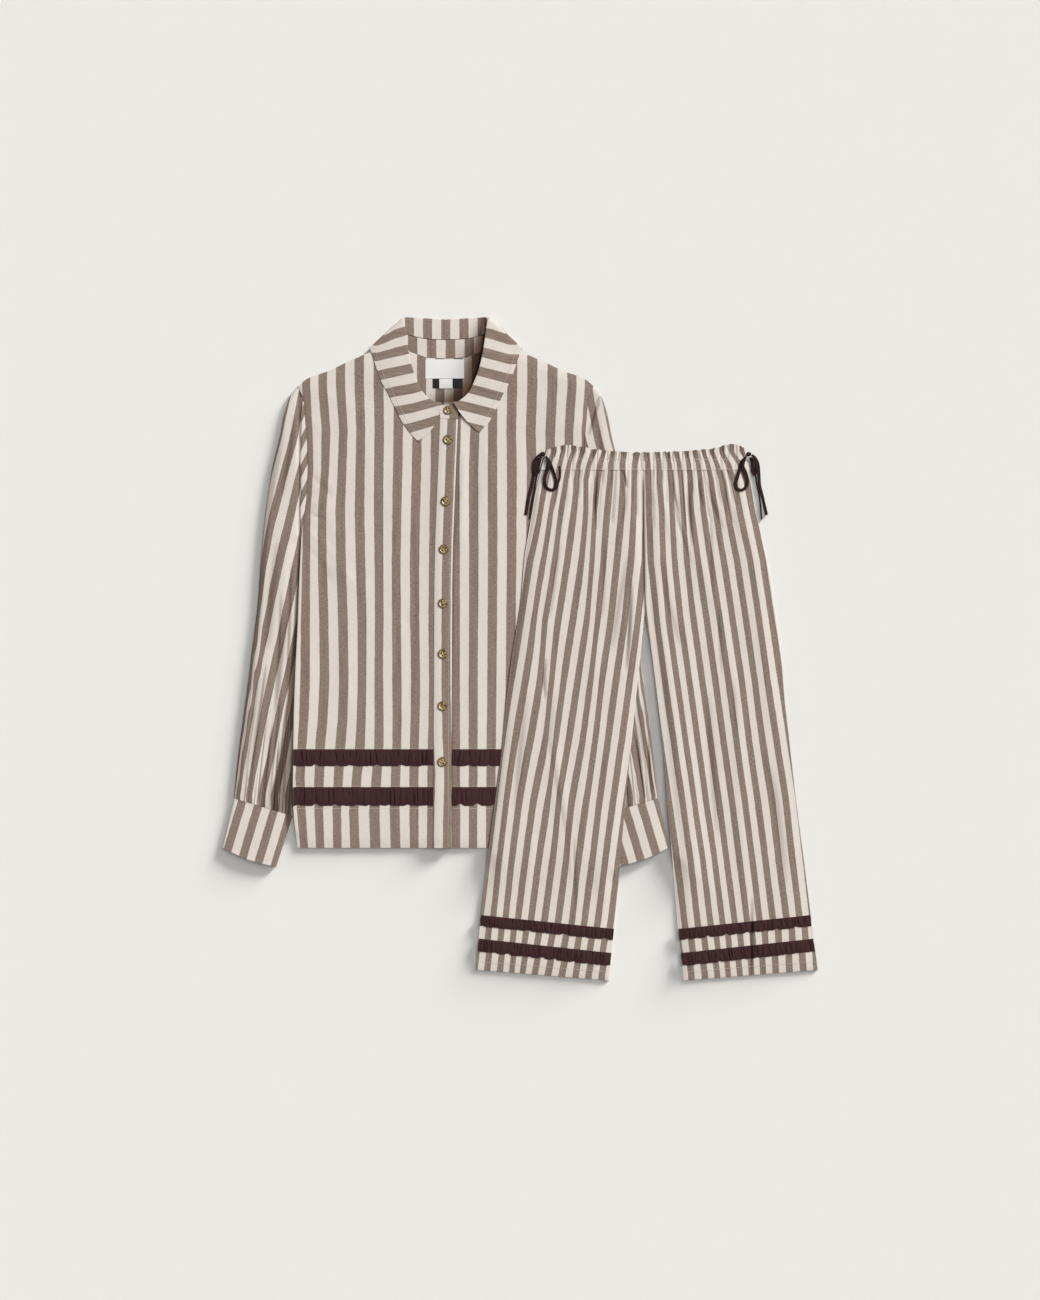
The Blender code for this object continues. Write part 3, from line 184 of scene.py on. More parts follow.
KNOT_HALF = (3.6, 3.2, 2.6)
KNOTS = {"left": (31.8, 274.5, 6.4), "right": (320.6, 274.6, 2.7)}
TIE = (2.2, 0.8)
TIE_ON_EDGE = (1.1, 0.6)
STRANDS = {
    "left_tail": (TIE, 10, [
        (27.6, 273.6, 4.8), (24.5, 270.5, 4.6), (21.3, 262.9, 4.6), (19.9, 249.6, 4.6),
        (17.2, 231.4, 4.6), (12.7, 214.6, 4.6), (8.5, 189.4, 4.8)]),
    "left_tail_on_edge": (TIE_ON_EDGE, 9, [
        (30.4, 270.4, 4.4), (27.8, 261, 4.3), (24.8, 247, 4.3), (21.6, 231, 4.3),
        (18.2, 213, 4.3), (15.6, 199, 4.3), (14.2, 183.4, 4.4)]),
    "left_loop_small": (TIE, 13, [
        (30.2, 270.6, 7), (27.4, 265.5, 6.7), (26, 257, 6.6), (25.4, 249.5, 6.6),
        (22.9, 246.2, 6.6), (20.4, 249.5, 6.6), (20.2, 258, 6.8), (22, 265.8, 7.7),
        (25.6, 270.2, 9.2)]),
    "left_loop_large": (TIE, 20, [
        (36.2, 271.2, 11.2), (41, 264.6, 11.5), (45.2, 254.5, 11.4), (49, 243, 11.8),
        (51.8, 233, 13), (51, 227.6, 12.6), (44.7, 224, 11.9), (37.6, 227.4, 11.7),
        (34.6, 237.6, 11), (37, 248.6, 11.4), (41, 258.6, 13.2), (38.6, 268, 13.2)]),
    "left_end": (TIE_ON_EDGE, 6, [
        (55.8, 258, 11.2), (56.6, 248, 11.1), (56.2, 240, 11.1), (54, 234.6, 11.1)]),
    "right_tail": (TIE, 10, [
        (325, 273.6, 1.6), (329.2, 270.2, 0.9), (333, 263, 0.9), (334.8, 249.2, 0.9),
        (336.1, 231.4, 0.9), (340, 214.6, 0.9), (345.6, 189.7, 0.9)]),
    "right_tail_on_edge": (TIE_ON_EDGE, 9, [
        (321.8, 270.2, 1.5), (326.5, 261, 0.7), (330, 247, 0.7), (332.2, 232, 0.7),
        (335.3, 218.5, 0.7), (337.2, 204, 0.7), (338.9, 183.4, 0.7)]),
    "right_loop_small": (TIE, 13, [
        (322.6, 270.4, 3.4), (325.2, 265, 3), (325.8, 257, 2.9), (326.4, 249.5, 2.9),
        (328.9, 246, 2.9), (331.4, 249.5, 2.9), (331.2, 258, 3.1), (329.4, 265.6, 4),
        (326, 270.2, 5.6)]),
    "right_loop_large": (TIE, 20, [
        (316.4, 270.4, 5.3), (311.2, 264.4, 5.6), (308, 254.4, 5.5), (305, 243, 5.4),
        (302.4, 233.6, 5.7), (304, 226.8, 5.9), (309.5, 224, 6), (316.6, 228.4, 5.3),
        (318.8, 238, 5), (316.4, 248.4, 5.4), (312.2, 258.4, 7.5), (314.6, 267.6, 7.5)]),
}

# %% [markdown]
# ## Stripes
# The cloth is woven in even stripes, but on the body they lean and bend with the cut, the
# gathers and the way it lies. A drawn stripe would need a picture. Instead each row below is a
# height on the page with the places of the dark stripes' middles across it. Reading between the
# rows gives every point of the cloth a stripe number, and the weave's colour follows from that.

# %% Where the dark stripes run, as (y, middles)
LEFT_LEG_STRIPES = [
    (278, (47.1, 60.6, 75.2, 87.5, 104.6, 117.8, 130.2, 145.6, 164.7, 182.8, 197.4)),
    (261, (40.9, 56.4, 68.9, 82.2, 96.9, 112.4, 127.7, 143.7, 161.1, 178.1, 195)),
    (238, (36.6, 52.3, 64, 79.6, 92, 108.4, 126.4, 144.4, 159.7, 176.1, 194.5)),
    (196, (29.2, 44.2, 56.9, 76.1, 93.2, 104.2, 122.2, 143.1, 159.4, 176.2, 193.6)),
    (126, (14.6, 33.7, 48.5, 66.4, 87.1, 101, 116.7, 136.1, 155.6, 175.1, 192.1)),
    (42, (1.8, 20.1, 34.9, 53.4, 74.3, 94.3, 108.6, 127.2, 146.9, 165.3, 183)),
    (-42, (-12.1, 7.9, 29, 44.6, 61.2, 81.3, 99.3, 114.4, 134.5, 154.2, 172.5)),
    (-126, (-24.6, -6.8, 14.5, 36.6, 49.8, 68.5, 88.1, 105.4, 123.1, 142.9, 161.4)),
    (-210, (-34.6, -19, -0.5, 19.2, 39.7, 54.1, 72.3, 93.3, 111.5, 130.8, 149.3)),
    (-294, (-45.2, -29, -11.5, 7.6, 26.4, 45.8, 64.9, 81.6, 101.8, 119.4, 137.8)),
    (-378, (-55.5, -37.7, -20.1, -2.7, 15.6, 34.7, 53.9, 73.6, 90.6, 109.6, 127.7)),
    (-420, (-60.1, -42.4, -24.5, -7.5, 8.8, 26.9, 46, 65.7, 84.1, 102.3, 120.8)),
    (-456, (-64, -46.5, -28.2, -11.6, 2.9, 20.2, 39.2, 58.8, 78.4, 96, 114.8)),
]
RIGHT_LEG_STRIPES = [
    (278, (160.3, 176.9, 193, 205.7, 218.3, 233.2, 245.2, 257.5, 268.4, 282.7, 296.8)),
    (261, (162.8, 179.5, 195, 209.6, 223, 236.4, 250, 263.6, 275.6, 291.5, 308.3)),
    (238, (163.2, 180.1, 195.4, 211.7, 226, 237.9, 252.9, 268.4, 281.8, 298.8, 317.4)),
    (196, (164.1, 181, 198.9, 212.7, 229.5, 240, 257, 274.2, 290.3, 307.6, 325.8)),
    (126, (165.5, 183.2, 201.1, 216.4, 234.2, 249.4, 267, 285.5, 304.2, 322.6, 340.3)),
    (42, (175.4, 192, 208.2, 225.2, 243.4, 261.9, 280.2, 298.1, 316.8, 335.1, 353.2)),
    (-42, (185.7, 203.2, 220, 237.2, 255.3, 273.8, 292, 310.7, 328.8, 346.7, 365.8)),
    (-126, (195.9, 215.7, 231.8, 248.8, 266.9, 285.1, 303.2, 320.8, 339.7, 359.7, 378.3)),
    (-210, (208.1, 228, 244.1, 260.3, 278.4, 296.9, 314.9, 332.8, 353, 372.8, 391)),
    (-294, (220.2, 239.2, 256.4, 272.8, 289.4, 307.6, 325.6, 343.9, 362.5, 381.8, 400.9)),
    (-378, (230.4, 248.7, 266.7, 283.5, 300.5, 318.2, 335.6, 354.4, 374, 392, 410.3)),
    (-420, (235.8, 254.4, 272.3, 288.1, 304.8, 321.8, 338.5, 356.6, 376.2, 395, 413.7)),
    (-456, (240.5, 259.4, 277.2, 292, 308.5, 324.9, 340.9, 358.5, 378.1, 397.7, 416.6)),
]
LEFT_FRONT_STRIPES = [
    (370, (-299.1, -276.2, -251, -224.7, -197.9, -169.1, -143.2, -117.6)),
    (308, (-296.4, -271.1, -246.9, -222.7, -196.6, -170, -143.8, -118)),
    (252, (-294.1, -272.8, -249, -223.6, -197.5, -170.9, -144.4, -118.2)),
    (196, (-298, -277.3, -251.4, -224.2, -197.5, -172, -146.1, -119.4)),
    (126, (-299, -277.1, -250.2, -222.7, -196.8, -173.2, -147.5, -120.3)),
    (42, (-300.2, -274.5, -247.6, -220.4, -196.8, -172.7, -147, -121.4)),
    (-42, (-300.3, -273.3, -246, -220.3, -197.6, -172, -145.6, -120.9)),
    (-98, (-302.4, -276.4, -247.6, -221.9, -197.1, -171.8, -146.3, -121.5)),
    (-131, (-304.8, -279.6, -250.7, -223.2, -196.8, -172.1, -147.4, -122.4)),
    (-179, (-307.6, -281, -253.6, -228.6, -200.5, -173.8, -148, -123)),
    (-226, (-305.8, -281.6, -255.4, -233.4, -203.5, -174.9, -147.6, -123.6)),
    (-274, (-302, -279.6, -255.2, -231.5, -202.1, -173.8, -147.4, -124.2)),
]
RIGHT_FRONT_STRIPES = [
    (370, (-87.7, -61.6, -38.1, -10.5, 17.5, 46, 73.6, 97.1)),
    (308, (-89.2, -62.6, -38.2, -12, 15.5, 42.9, 69.5, 92.3)),
    (252, (-90.6, -64.8, -38.2, -11.1, 16.9, 42.3, 68.9, 92)),
    (126, (-90.3, -64.3, -37.8, -11.5, 15.6, 41, 67.6, 91.1)),
    (-70, (-89.8, -65.4, -39.1, -13.5, 13.6, 38.9, 65.5, 89.9)),
    (-274, (-89.3, -65.4, -41.6, -15, 11.5, 36.8, 63.4, 88.6)),
]
SLEEVE_STRIPES = [
    (364, (-324.6, -304.2, -276.1, -263.6, -236.1, -204.8, -175)),
    (294, (-339.5, -317.4, -295, -277.5, -250.9, -222.2, -194.2)),
    (238, (-354.5, -332.8, -309.9, -288.8, -262.8, -236.2, -209.6)),
    (182, (-366.4, -347.7, -322.2, -300, -274.8, -250.2, -225)),
    (126, (-373.4, -358.2, -336.5, -311.2, -286.6, -264.2, -240.4)),
    (70, (-378.3, -364.9, -349, -322.3, -298.5, -278.2, -255.8)),
    (14, (-382.5, -369.2, -360.2, -334.1, -314.4, -292.2, -271.2)),
    (-42, (-386.8, -377, -371.5, -347.4, -326.5, -306.2, -286.6)),
    (-98, (-392.1, -385.9, -379.2, -359.7, -338.7, -320.7, -302)),
    (-154, (-398.6, -394, -388.4, -370.8, -349.6, -331.4, -313.2)),
    (-203, (-405.6, -400.9, -395.2, -379, -360.8, -342.6, -324.4)),
]

# %% Stripe numbers
def stripe_number(rows, x, y):
    """Stripe count at a place: along the two nearest rows the middles are 0, 1, 2..., with even
    steps beyond the ends; between the rows the two counts are mixed in proportion to y."""
    x, y = np.asarray(x, float), np.asarray(y, float)
    heights = np.array([row[0] for row in rows][::-1], float)
    counts = []
    for _, middles in rows[::-1]:
        m = np.array(middles, float)
        count = np.interp(x, m, np.arange(len(m)))
        count = np.where(x < m[0], (x - m[0]) / (m[1] - m[0]), count)
        count = np.where(x > m[-1], len(m) - 1 + (x - m[-1]) / (m[-1] - m[-2]), count)
        counts.append(count)
    counts = np.array(counts)
    at = np.interp(y, heights, np.arange(len(heights)))
    low = np.clip(np.floor(at).astype(int), 0, len(heights) - 2)
    share = at - low
    below = np.take_along_axis(counts, low[None], axis=0)[0]
    above = np.take_along_axis(counts, low[None] + 1, axis=0)[0]
    return (1.0 - share) * below + share * above


SHIRT_PITCH = 0.0255       # metres from one dark stripe to the next
TROUSER_PITCH = 0.0182


def cloth_map(number, y, pitch):
    """Map of a cloth: stripe number times the pitch across, and the height on the page along."""
    return np.stack([number * pitch, y * MM], axis=-1)

# %% [markdown]
# ## Curves and plans
# Every edge of a pattern piece is a curve through a few measured points. A panel is the surface
# between four such edges: opposite edges are blended, and what the corners count twice is taken
# off once. That is a Coons patch, and it keeps a panel smooth with no modelling by hand.

# %% Edges
def bell(off, width):
    """Bell of a distance: 1 at nought, exp(-1) at the width, and fading beyond."""
    return np.exp(-(off / width) ** 2)


def from_end(share):
    """How far a share of the way is from the nearer end."""
    return np.minimum(share, 1.0 - share)


def run_of(points):
    """Distance along a route up to each of its points."""
    return np.concatenate([[0.0], np.cumsum(np.linalg.norm(np.diff(points, axis=0), axis=1))])


def smooth(t):
    """Ease from 0 to 1: 3t^2 - 2t^3, flat outside that range."""
    t = np.clip(t, 0.0, 1.0)
    return t * t * (3.0 - 2.0 * t)


def cubic(table, slope, k, w, span=1.0):
    """Rows between k and k + 1 of a table at the shares w, on cubics with the given slopes."""
    return ((2 * w**3 - 3 * w**2 + 1) * table[k] + (w**3 - 2 * w**2 + w) * span * slope[k]
            + (3 * w**2 - 2 * w**3) * table[k + 1] + (w**3 - w**2) * span * slope[k + 1])


def rounded(points, t, dense=40):
    """Points at fractions t of the length of a smooth curve through the given points.

    Between two points the curve is a cubic whose end slopes are those of the chord between
    their neighbours.
    """
    p = np.asarray(points, float)
    if len(p) == 2:
        fine = p
    else:
        knots = run_of(p)
        slope = np.gradient(p, knots, axis=0)
        s = np.unique(np.concatenate([np.linspace(a, b, dense)
                                      for a, b in zip(knots[:-1], knots[1:])]))
        k = np.clip(np.searchsorted(knots, s, side="right") - 1, 0, len(p) - 2)
        span = (knots[k + 1] - knots[k])[:, None]
        w = (s - knots[k])[:, None] / span
        fine = cubic(p, slope, k, w, span)
    length = run_of(fine)
    at = np.asarray(t, float) * length[-1]
    return np.stack([np.interp(at, length, fine[:, i]) for i in range(p.shape[1])], axis=-1)


def straight(points, t):
    """Points on straight runs between the given points, read by their number, so that two
    pieces that share a seam have the same corners."""
    p = np.asarray(points, float)
    at = np.asarray(t, float) * (len(p) - 1)
    return np.stack([np.interp(at, np.arange(len(p)), p[:, i]) for i in range(p.shape[1])],
                    axis=-1)


def chain(pieces, shares, t):
    """One edge from several that meet at corners, as (reader, points); each takes its share."""
    ends = np.concatenate([[0.0], np.cumsum(shares)])
    t = np.asarray(t, float)
    out = np.zeros(t.shape + (2,))
    for (reader, points), low, high in zip(pieces, ends[:-1], ends[1:]):
        inside = (t >= low - 1e-9) & (t <= high + 1e-9)
        out[inside] = reader(points, np.clip((t[inside] - low) / (high - low), 0.0, 1.0))
    return out

# %% Panels between edges
def patch(top, bottom, left, right):
    """A plan between four edges (a Coons patch): opposite edges blended, corners taken off once.

    Each edge is a function of a fraction: top and bottom run left to right, the sides run down.
    """
    def plan(u, v):
        u, v = np.asarray(u, float), np.asarray(v, float)
        a, b, c, d = top(u), bottom(u), left(v), right(v)
        corners = [[top(np.array([e]))[0] for e in (0.0, 1.0)],
                   [bottom(np.array([e]))[0] for e in (0.0, 1.0)]]
        U, V = np.meshgrid(u, v)
        U, V = U[..., None], V[..., None]
        return ((1 - V) * a[None] + V * b[None] + (1 - U) * c[:, None] + U * d[:, None]
                - (1 - U) * (1 - V) * corners[0][0] - U * (1 - V) * corners[0][1]
                - (1 - U) * V * corners[1][0] - U * V * corners[1][1])
    return plan


def mirrored(points, side):
    """Shirt (out, y) points as page (x, y) on the side -1 or +1."""
    p = np.array(points, float)
    p[..., 0] = SHIRT_X + side * p[..., 0]
    return p


def shirt_edge(reader, points, side):
    """An edge of the shirt, on one side, as a function of a fraction along it."""
    return lambda t: mirrored(reader(points, t), side)


def ridge(x, y, route, half_width, height):
    """Height of a soft fold: a bell across a line of straight runs, fading at its two ends."""
    best = np.zeros_like(x)
    route = np.asarray(route, float)
    run = run_of(route)
    for i, (a, b) in enumerate(zip(route[:-1], route[1:])):
        d = b - a
        t = np.clip(((x - a[0]) * d[0] + (y - a[1]) * d[1]) / (d @ d), 0.0, 1.0)
        off = np.hypot(x - a[0] - t * d[0], y - a[1] - t * d[1])
        along = (run[i] + t * np.hypot(*d)) / run[-1]
        fade = np.sin(np.pi * np.clip(along, 0.0, 1.0)) ** 0.5
        best = np.maximum(best, height * fade * bell(off, half_width))
    return best


def folds(x, y, table):
    """All folds of a table, added up."""
    return sum(ridge(x, y, *row) for row in table)

# %% Heights of the pile
NECK_FOOT, NECK_RUN = 352.0, 28.0      # where the back rises over the tucked collar, up the page
NECK_SIDE, NECK_FADE = 112.0, 25.0     # and where that ends, out from the centre line
PRESS_OUT, PRESS_RUN = 8.0, 34.0       # how far outside the trousers' edge they press the shirt
PRESS_TOP, PRESS_FADE = 292.0, 24.0    # and the height on the page where they end
SIDE_RUN, EDGE_RUN = 16.0, 14.0        # a front comes down over this at its side, and at its ends
UNDERARM_LOW, UNDERARM_HIGH = 135.0, 155.0
UNDERARM_RUN = 20.0        # run over which the armhole's rule gives way to the side seam's
LAP_OUT, LAP_RUN = 8.0, 30.0           # the left front rises over the right one's edge
LEAST_GAP = 0.15           # between two layers where the upper one is down
LEG_SIDE, LEG_TOP, LEG_FOOT = 0.11, 0.05, 0.03     # shares of a leg over which it comes down


def placket_edge(y):
    """How far the placket's left edge is out from the centre line."""
    rows = np.array(PLACKET_EDGE)[::-1]
    return np.interp(y, rows[:, 0], rows[:, 1])


def collar_base(x, y):
    """Rise of the shirt over the part of the collar that is tucked under its back."""
    out = np.abs(x - SHIRT_X)
    return (COLLAR_RAISE * smooth((y - NECK_FOOT) / NECK_RUN)
            * (1.0 - smooth((out - NECK_SIDE) / NECK_FADE)))


def leg_edge(table, down, column):
    """Outer (1) or inner (2) edge of a leg at a distance down its outer edge."""
    rows = np.array(table, float)
    if column == 2:
        return np.interp(down, rows[:, 0], rows[:, 2])
    t = rounded(rows[:, [0, column]], np.linspace(0.0, 1.0, 120))
    return np.interp(down, t[:, 0], t[:, 1])


def pressed(x, y):
    """1 where the shirt is free, 0 where the trousers lie on it."""
    edge = leg_edge(LEFT_LEG, WAIST_Y - y, 1)
    return np.maximum(smooth((edge - PRESS_OUT - x) / PRESS_RUN),
                      smooth((y - PRESS_TOP) / PRESS_FADE))


def side_edge(y):
    """How far the armhole or the side seam is out from the centre line."""
    rows = np.array(ARMHOLE + SIDE_SEAM[1:])[::-1]
    return np.interp(y, rows[:, 1], rows[:, 0])


def shirt_loft(x, y):
    """Height of the front's underside over its lowest place: it closes down at the side seams,
    the hem and the shoulders, and carries the largest folds."""
    out = np.abs(x - SHIRT_X)
    inside = smooth((side_edge(y) - out) / SIDE_RUN)
    side = inside * smooth((UNDERARM_HIGH - y) / UNDERARM_RUN)
    armhole = (0.55 + 0.45 * inside) * smooth((y - UNDERARM_LOW) / UNDERARM_RUN)
    line = np.array(SHOULDER)[::-1]
    shoulder = smooth((np.interp(out, line[:, 0], line[:, 1]) - y) / EDGE_RUN)
    neck = 1.0 - 0.5 * np.exp(-(np.hypot(x - SHIRT_X, y - 372.0) / 62.0) ** 4)
    hem = smooth((y - HEM_Y) / EDGE_RUN)
    open_part = np.clip(side + armhole, 0.0, 1.0) * shoulder * hem * neck
    free = 0.2 + 0.8 * pressed(x, y)
    return LEAST_GAP + free * open_part * (SHIRT_LOFT + folds(x, y, SHIRT_FOLDS))


def lap(x):
    """1 where the left front lies over the right one, easing to 0 beyond the placket."""
    return 1.0 - smooth((SHIRT_X - x - LAP_OUT) / LAP_RUN)


def front_under(x, y, left):
    """Underside of a front: over the back, and on the left also over the right front's edge."""
    rise = PLY * lap(x) if left else 0.0
    return collar_base(x, y) + PLY + shirt_loft(x, y) + rise


def shirt_top(x, y):
    """Upper face of the fronts and the placket, for what lies on them."""
    out = SHIRT_X - x
    left = out > placket_edge(y) - PLACKET_WIDTH - 0.5
    over = np.where(left, front_under(x, y, True), front_under(x, y, False)) + WALL
    band = left & (out < placket_edge(y) + 0.5)
    return over + np.where(band, PLY, 0.0)


def past_shirt(x, y):
    """How far a place under the trousers is outside the shirt's side, its sleeve and its hem."""
    rows = np.array(SLEEVE_OUTER + [(313.5, -277.0), (313.5, -340.0)])[::-1]
    past_side = x - SHIRT_X - np.interp(y, rows[:, 1], rows[:, 0])
    past_hem = np.interp(x - SHIRT_X, [205.0, 238.0, 313.0], [HEM_Y, -304.0, HEM_Y]) - y
    return np.maximum(past_side, past_hem)


def trouser_base(x, y):
    """Underside of the trousers: over the shirt and its sleeve, and down to the floor beyond."""
    return PILE_HEIGHT * (1.0 - smooth((past_shirt(x, y) - PILE_EDGE) / PILE_RAMP))


def trouser_loft(x, y, u, v):
    """Height of a trouser front's underside over its lowest place, from its place u across and
    v down: it closes at the side seam, the inner leg and the hem."""
    across = smooth(from_end(u) / LEG_SIDE)
    rise = 1.0 - smooth((v - 0.2) / 0.08)
    across = np.maximum(across, smooth(u / LEG_SIDE) * rise)
    down = 0.35 + 0.65 * smooth(v / LEG_TOP)
    hem = smooth((1.0 - v) / LEG_FOOT)
    return LEAST_GAP + across * down * hem * (TROUSER_LOFT + folds(x, y, TROUSER_FOLDS))

# %% [markdown]
# ## From grids to cloth
# A cloth is two grids of points, an upper and a lower face, closed round the rim. Whole numpy
# arrays go into the mesh at once. A signed volume below nought means that the shell is inside
# out, and then its faces are turned.

# %% A mesh from grids
CLOTH_SHARP, RING_SHARP = 55.0, 60.0       # degrees between faces from which an edge looks sharp


def to_metres(points):
    """Page millimetres to metres in the frame: take off the middle of the set, times 0.001."""
    return (np.asarray(points, float) - np.array([*SET_MIDDLE, 0.0])) * MM


def facing_out(points, quads):
    """The quads, turned round if the volume they enclose comes out negative: each quad adds
    a . (b x c) + a . (c x d)."""
    a, b, c, d = (points[quads[:, i]] for i in range(4))
    volume = np.einsum("ij,ij", a, np.cross(b, c)) + np.einsum("ij,ij", a, np.cross(c, d))
    return quads[:, ::-1] if volume < 0.0 else quads


def painted_fold_shade(points, reach, depth, extra=0.0):
    """Painted shade for how far each point lies in a fold, from 0 to 1: the mean height of its two
    neighbours at reach millimetres across the piece, less its own height, over depth, gives up to
    0.3, and extra counts where it is more."""
    z = points[..., 2]
    step = np.median(np.linalg.norm(np.diff(points, axis=1), axis=-1))
    k = max(1, int(round(reach / step)))
    padded = np.pad(z, ((0, 0), (k, k)), mode="edge")
    under = 0.5 * (padded[:, 2 * k:] + padded[:, :-2 * k]) - z
    return np.maximum(0.3 * smooth((under - 0.3) / depth), extra)


def add_object(name, mesh, finish, sharp=None):
    """A mesh as an object of the set, smooth but for edges sharper than the given angle."""
    mesh.shade_smooth()
    if sharp is not None:
        mesh.set_sharp_from_angle(angle=math.radians(sharp))
    obj = bpy.data.objects.new(name, mesh)
    bpy.context.scene.collection.objects.link(obj)
    mesh.materials.append(finish)
    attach(obj, "root")
    return obj


def add_listed_mesh(name, points, faces, places):
    """A mesh from points in metres, faces of any kind and a map place for each point."""
    mesh = bpy.data.meshes.new(name)
    mesh.from_pydata(points.tolist(), [], faces)
    corner = np.empty(len(mesh.loops), np.int32)
    mesh.loops.foreach_get("vertex_index", corner)
    layer = mesh.uv_layers.new(name="Cloth")
    layer.data.foreach_set("uv", places[corner].astype(np.float32).ravel())
    return mesh


def add_piece(name, points, quads, places, finish, painted_shade=None):
    """One object from points in millimetres, four-sided faces and a map place for each point,
    and the painted shade of each point, which its material reads."""
    points = to_metres(points)
    quads = facing_out(points, np.asarray(quads, int))
    mesh = bpy.data.meshes.new(name)
    mesh.vertices.add(len(points))
    mesh.vertices.foreach_set("co", points.astype(np.float32).ravel())
    mesh.loops.add(quads.size)
    mesh.loops.foreach_set("vertex_index", quads.astype(np.int32).ravel())
    mesh.polygons.add(len(quads))
    mesh.polygons.foreach_set("loop_start", np.arange(0, quads.size, 4, dtype=np.int32))
    mesh.update(calc_edges=True)
    layer = mesh.uv_layers.new(name="Cloth")
    layer.data.foreach_set("uv", np.asarray(places, np.float32)[quads.ravel()].ravel())
    # painted shade, as a point attribute that the materials read
    if painted_shade is not None:
        painted_shade_values = mesh.attributes.new("painted_shade", "FLOAT", "POINT")
        painted_shade_values.data.foreach_set("value", np.asarray(painted_shade, np.float32).ravel())
    print(f"{name}: {2 * len(quads)} triangles")
    return add_object(name, mesh, finish, CLOTH_SHARP)

# %% A layer of cloth
def layer_faces(rows, cols):
    """Faces of two stacked grids and the rim between them."""
    index = np.arange(rows * cols).reshape(rows, cols)
    a, b, c, d = index[:-1, :-1], index[1:, :-1], index[1:, 1:], index[:-1, 1:]
    top = np.stack([a, b, c, d], axis=-1).reshape(-1, 4)
    low = top[:, ::-1] + rows * cols
    rim = np.concatenate([index[0, :-1], index[:-1, -1], index[-1, :0:-1], index[:0:-1, 0]])
    rim = np.stack([rim, np.roll(rim, -1)], axis=-1)
    return np.concatenate([top, low, np.concatenate([rim, rim[:, ::-1] + rows * cols], axis=-1)])


def add_cloth(name, upper, lower, places, finish, painted_shade=None):
    """A layer of cloth between two grids of points; both faces get the same painted shade."""
    rows, cols = upper.shape[:2]
    points = np.concatenate([upper.reshape(-1, 3), lower.reshape(-1, 3)])
    both = np.concatenate([places.reshape(-1, 2)] * 2)
    if painted_shade is not None:
        painted_shade = np.concatenate([painted_shade.ravel()] * 2)
    return add_piece(name, points, layer_faces(rows, cols), both, finish, painted_shade)


def add_tube(name, outer, inner, places, finish, painted_shade=None):
    """A tube of cloth, open at both ends, from rings of points on its outer and inner walls."""
    rows, around = outer.shape[:2]
    index = np.arange(rows * around).reshape(rows, around)
    a, b = index[:-1], index[1:]
    c, d = np.roll(b, -1, axis=1), np.roll(a, -1, axis=1)
    wall = np.stack([a, b, c, d], axis=-1).reshape(-1, 4)
    first, last = index[0], index[-1]
    deep = rows * around
    after_first, after_last = np.roll(first, -1), np.roll(last, -1)
    rims = [np.stack([first, first + deep, after_first + deep, after_first], axis=-1),
            np.stack([after_last, after_last + deep, last + deep, last], axis=-1)]
    quads = np.concatenate([wall, wall[:, ::-1] + deep] + rims)
    points = np.concatenate([outer.reshape(-1, 3), inner.reshape(-1, 3)])
    both = np.concatenate([places.reshape(-1, 2)] * 2)
    # painted shade on the upper half of each ring, and none underneath
    if painted_shade is not None:
        below = np.zeros((rows, around - painted_shade.shape[1]))
        painted_shade = np.concatenate([np.concatenate([painted_shade, below], axis=1).ravel()] * 2)
    return add_piece(name, points, quads, both, finish, painted_shade)


def lifted(points, rise):
    """The same points, higher by rise."""
    out = np.array(points, float)
    out[..., 2] += rise
    return out


def with_height(xy, z):
    """Plan points and heights put together."""
    return np.concatenate([xy, z[..., None]], axis=-1)


def area_of(points, closed=False):
    """Area of a grid of points in square metres: half the cross product of each cell's
    diagonals, added up."""
    p = np.concatenate([points, points[:, :1]], axis=1) if closed else points
    diagonals = np.cross(p[1:, 1:] - p[:-1, :-1], p[1:, :-1] - p[:-1, 1:])
    return float(0.5 * np.linalg.norm(diagonals, axis=-1).sum() * MM * MM)

# %% [markdown]
# ## Small unevenness
# Cotton that has been pressed and laid down is never quite flat. A cloth simulation would move
# the panels away from their solids, so soft creases are placed by hand as short bells along
# lines, and a few long, low waves in all directions keep the light alive between them.

# %% Waves and creases
def waves(x, y, seed, longest, lean, count=9):
    """Low hills from -1 to 1: a sum of sine waves whose lengths lie between a third of longest
    and longest, whose heights grow with their lengths, and which run near the angle lean."""
    draw = np.random.default_rng(seed)
    total, most = np.zeros_like(x), 0.0
    for _ in range(count):
        length = longest * draw.uniform(0.33, 1.0)
        angle = lean + draw.normal(0.0, 0.5)
        phase = draw.uniform(0.0, 2.0 * math.pi)
        total += length * np.sin(2.0 * math.pi * (x * math.cos(angle) + y * math.sin(angle))
                                 / length + phase)
        most += 0.6 * length
    return total / most


CREASE_GAIN = 1.3          # the fronts' and legs' creases are raised by this over their tables


def creases(x, y, table):
    """Soft creases of a table, each a bell across a line; a negative height is a trough."""
    total = np.zeros_like(x)
    for route, half_width, height in table:
        total += math.copysign(1.0, height) * ridge(x, y, route, half_width, abs(height))
    return total


def crease_painted_shade(x, y, table, strength):
    """Painted shade in the troughs of a table, from 0 to strength: a bell across each
    line, three quarters as wide as the trough, and full where that is 2 mm deep or more."""
    total = np.zeros_like(x)
    for route, half_width, height in table:
        if height < 0.0:
            deep = min(1.0, -0.5 * height)
            total = np.maximum(total, ridge(x, y, route, 0.75 * half_width, deep))
    return strength * total


def pleats(at, count, seed):
    """Pleat profile from 0 in the valleys to 1 on the crowns. Its count runs unevenly: three slow
    waves are added to even steps, and a valley is a narrow bell of the sine of that count."""
    draw = np.random.default_rng(seed)
    uneven = sum(a * np.sin(2.0 * math.pi * f * at + draw.uniform(0.0, 6.28))
                 for a, f in ((0.85, 1.3), (0.42, 3.7), (0.16, 8.3)))
    valley = bell(np.sin(math.pi * (count * at + uneven)), 0.5)
    height = 0.72 + 0.28 * np.sin(2.0 * math.pi * 2.9 * at + draw.uniform(0.0, 6.28))
    return (1.0 - valley) * height


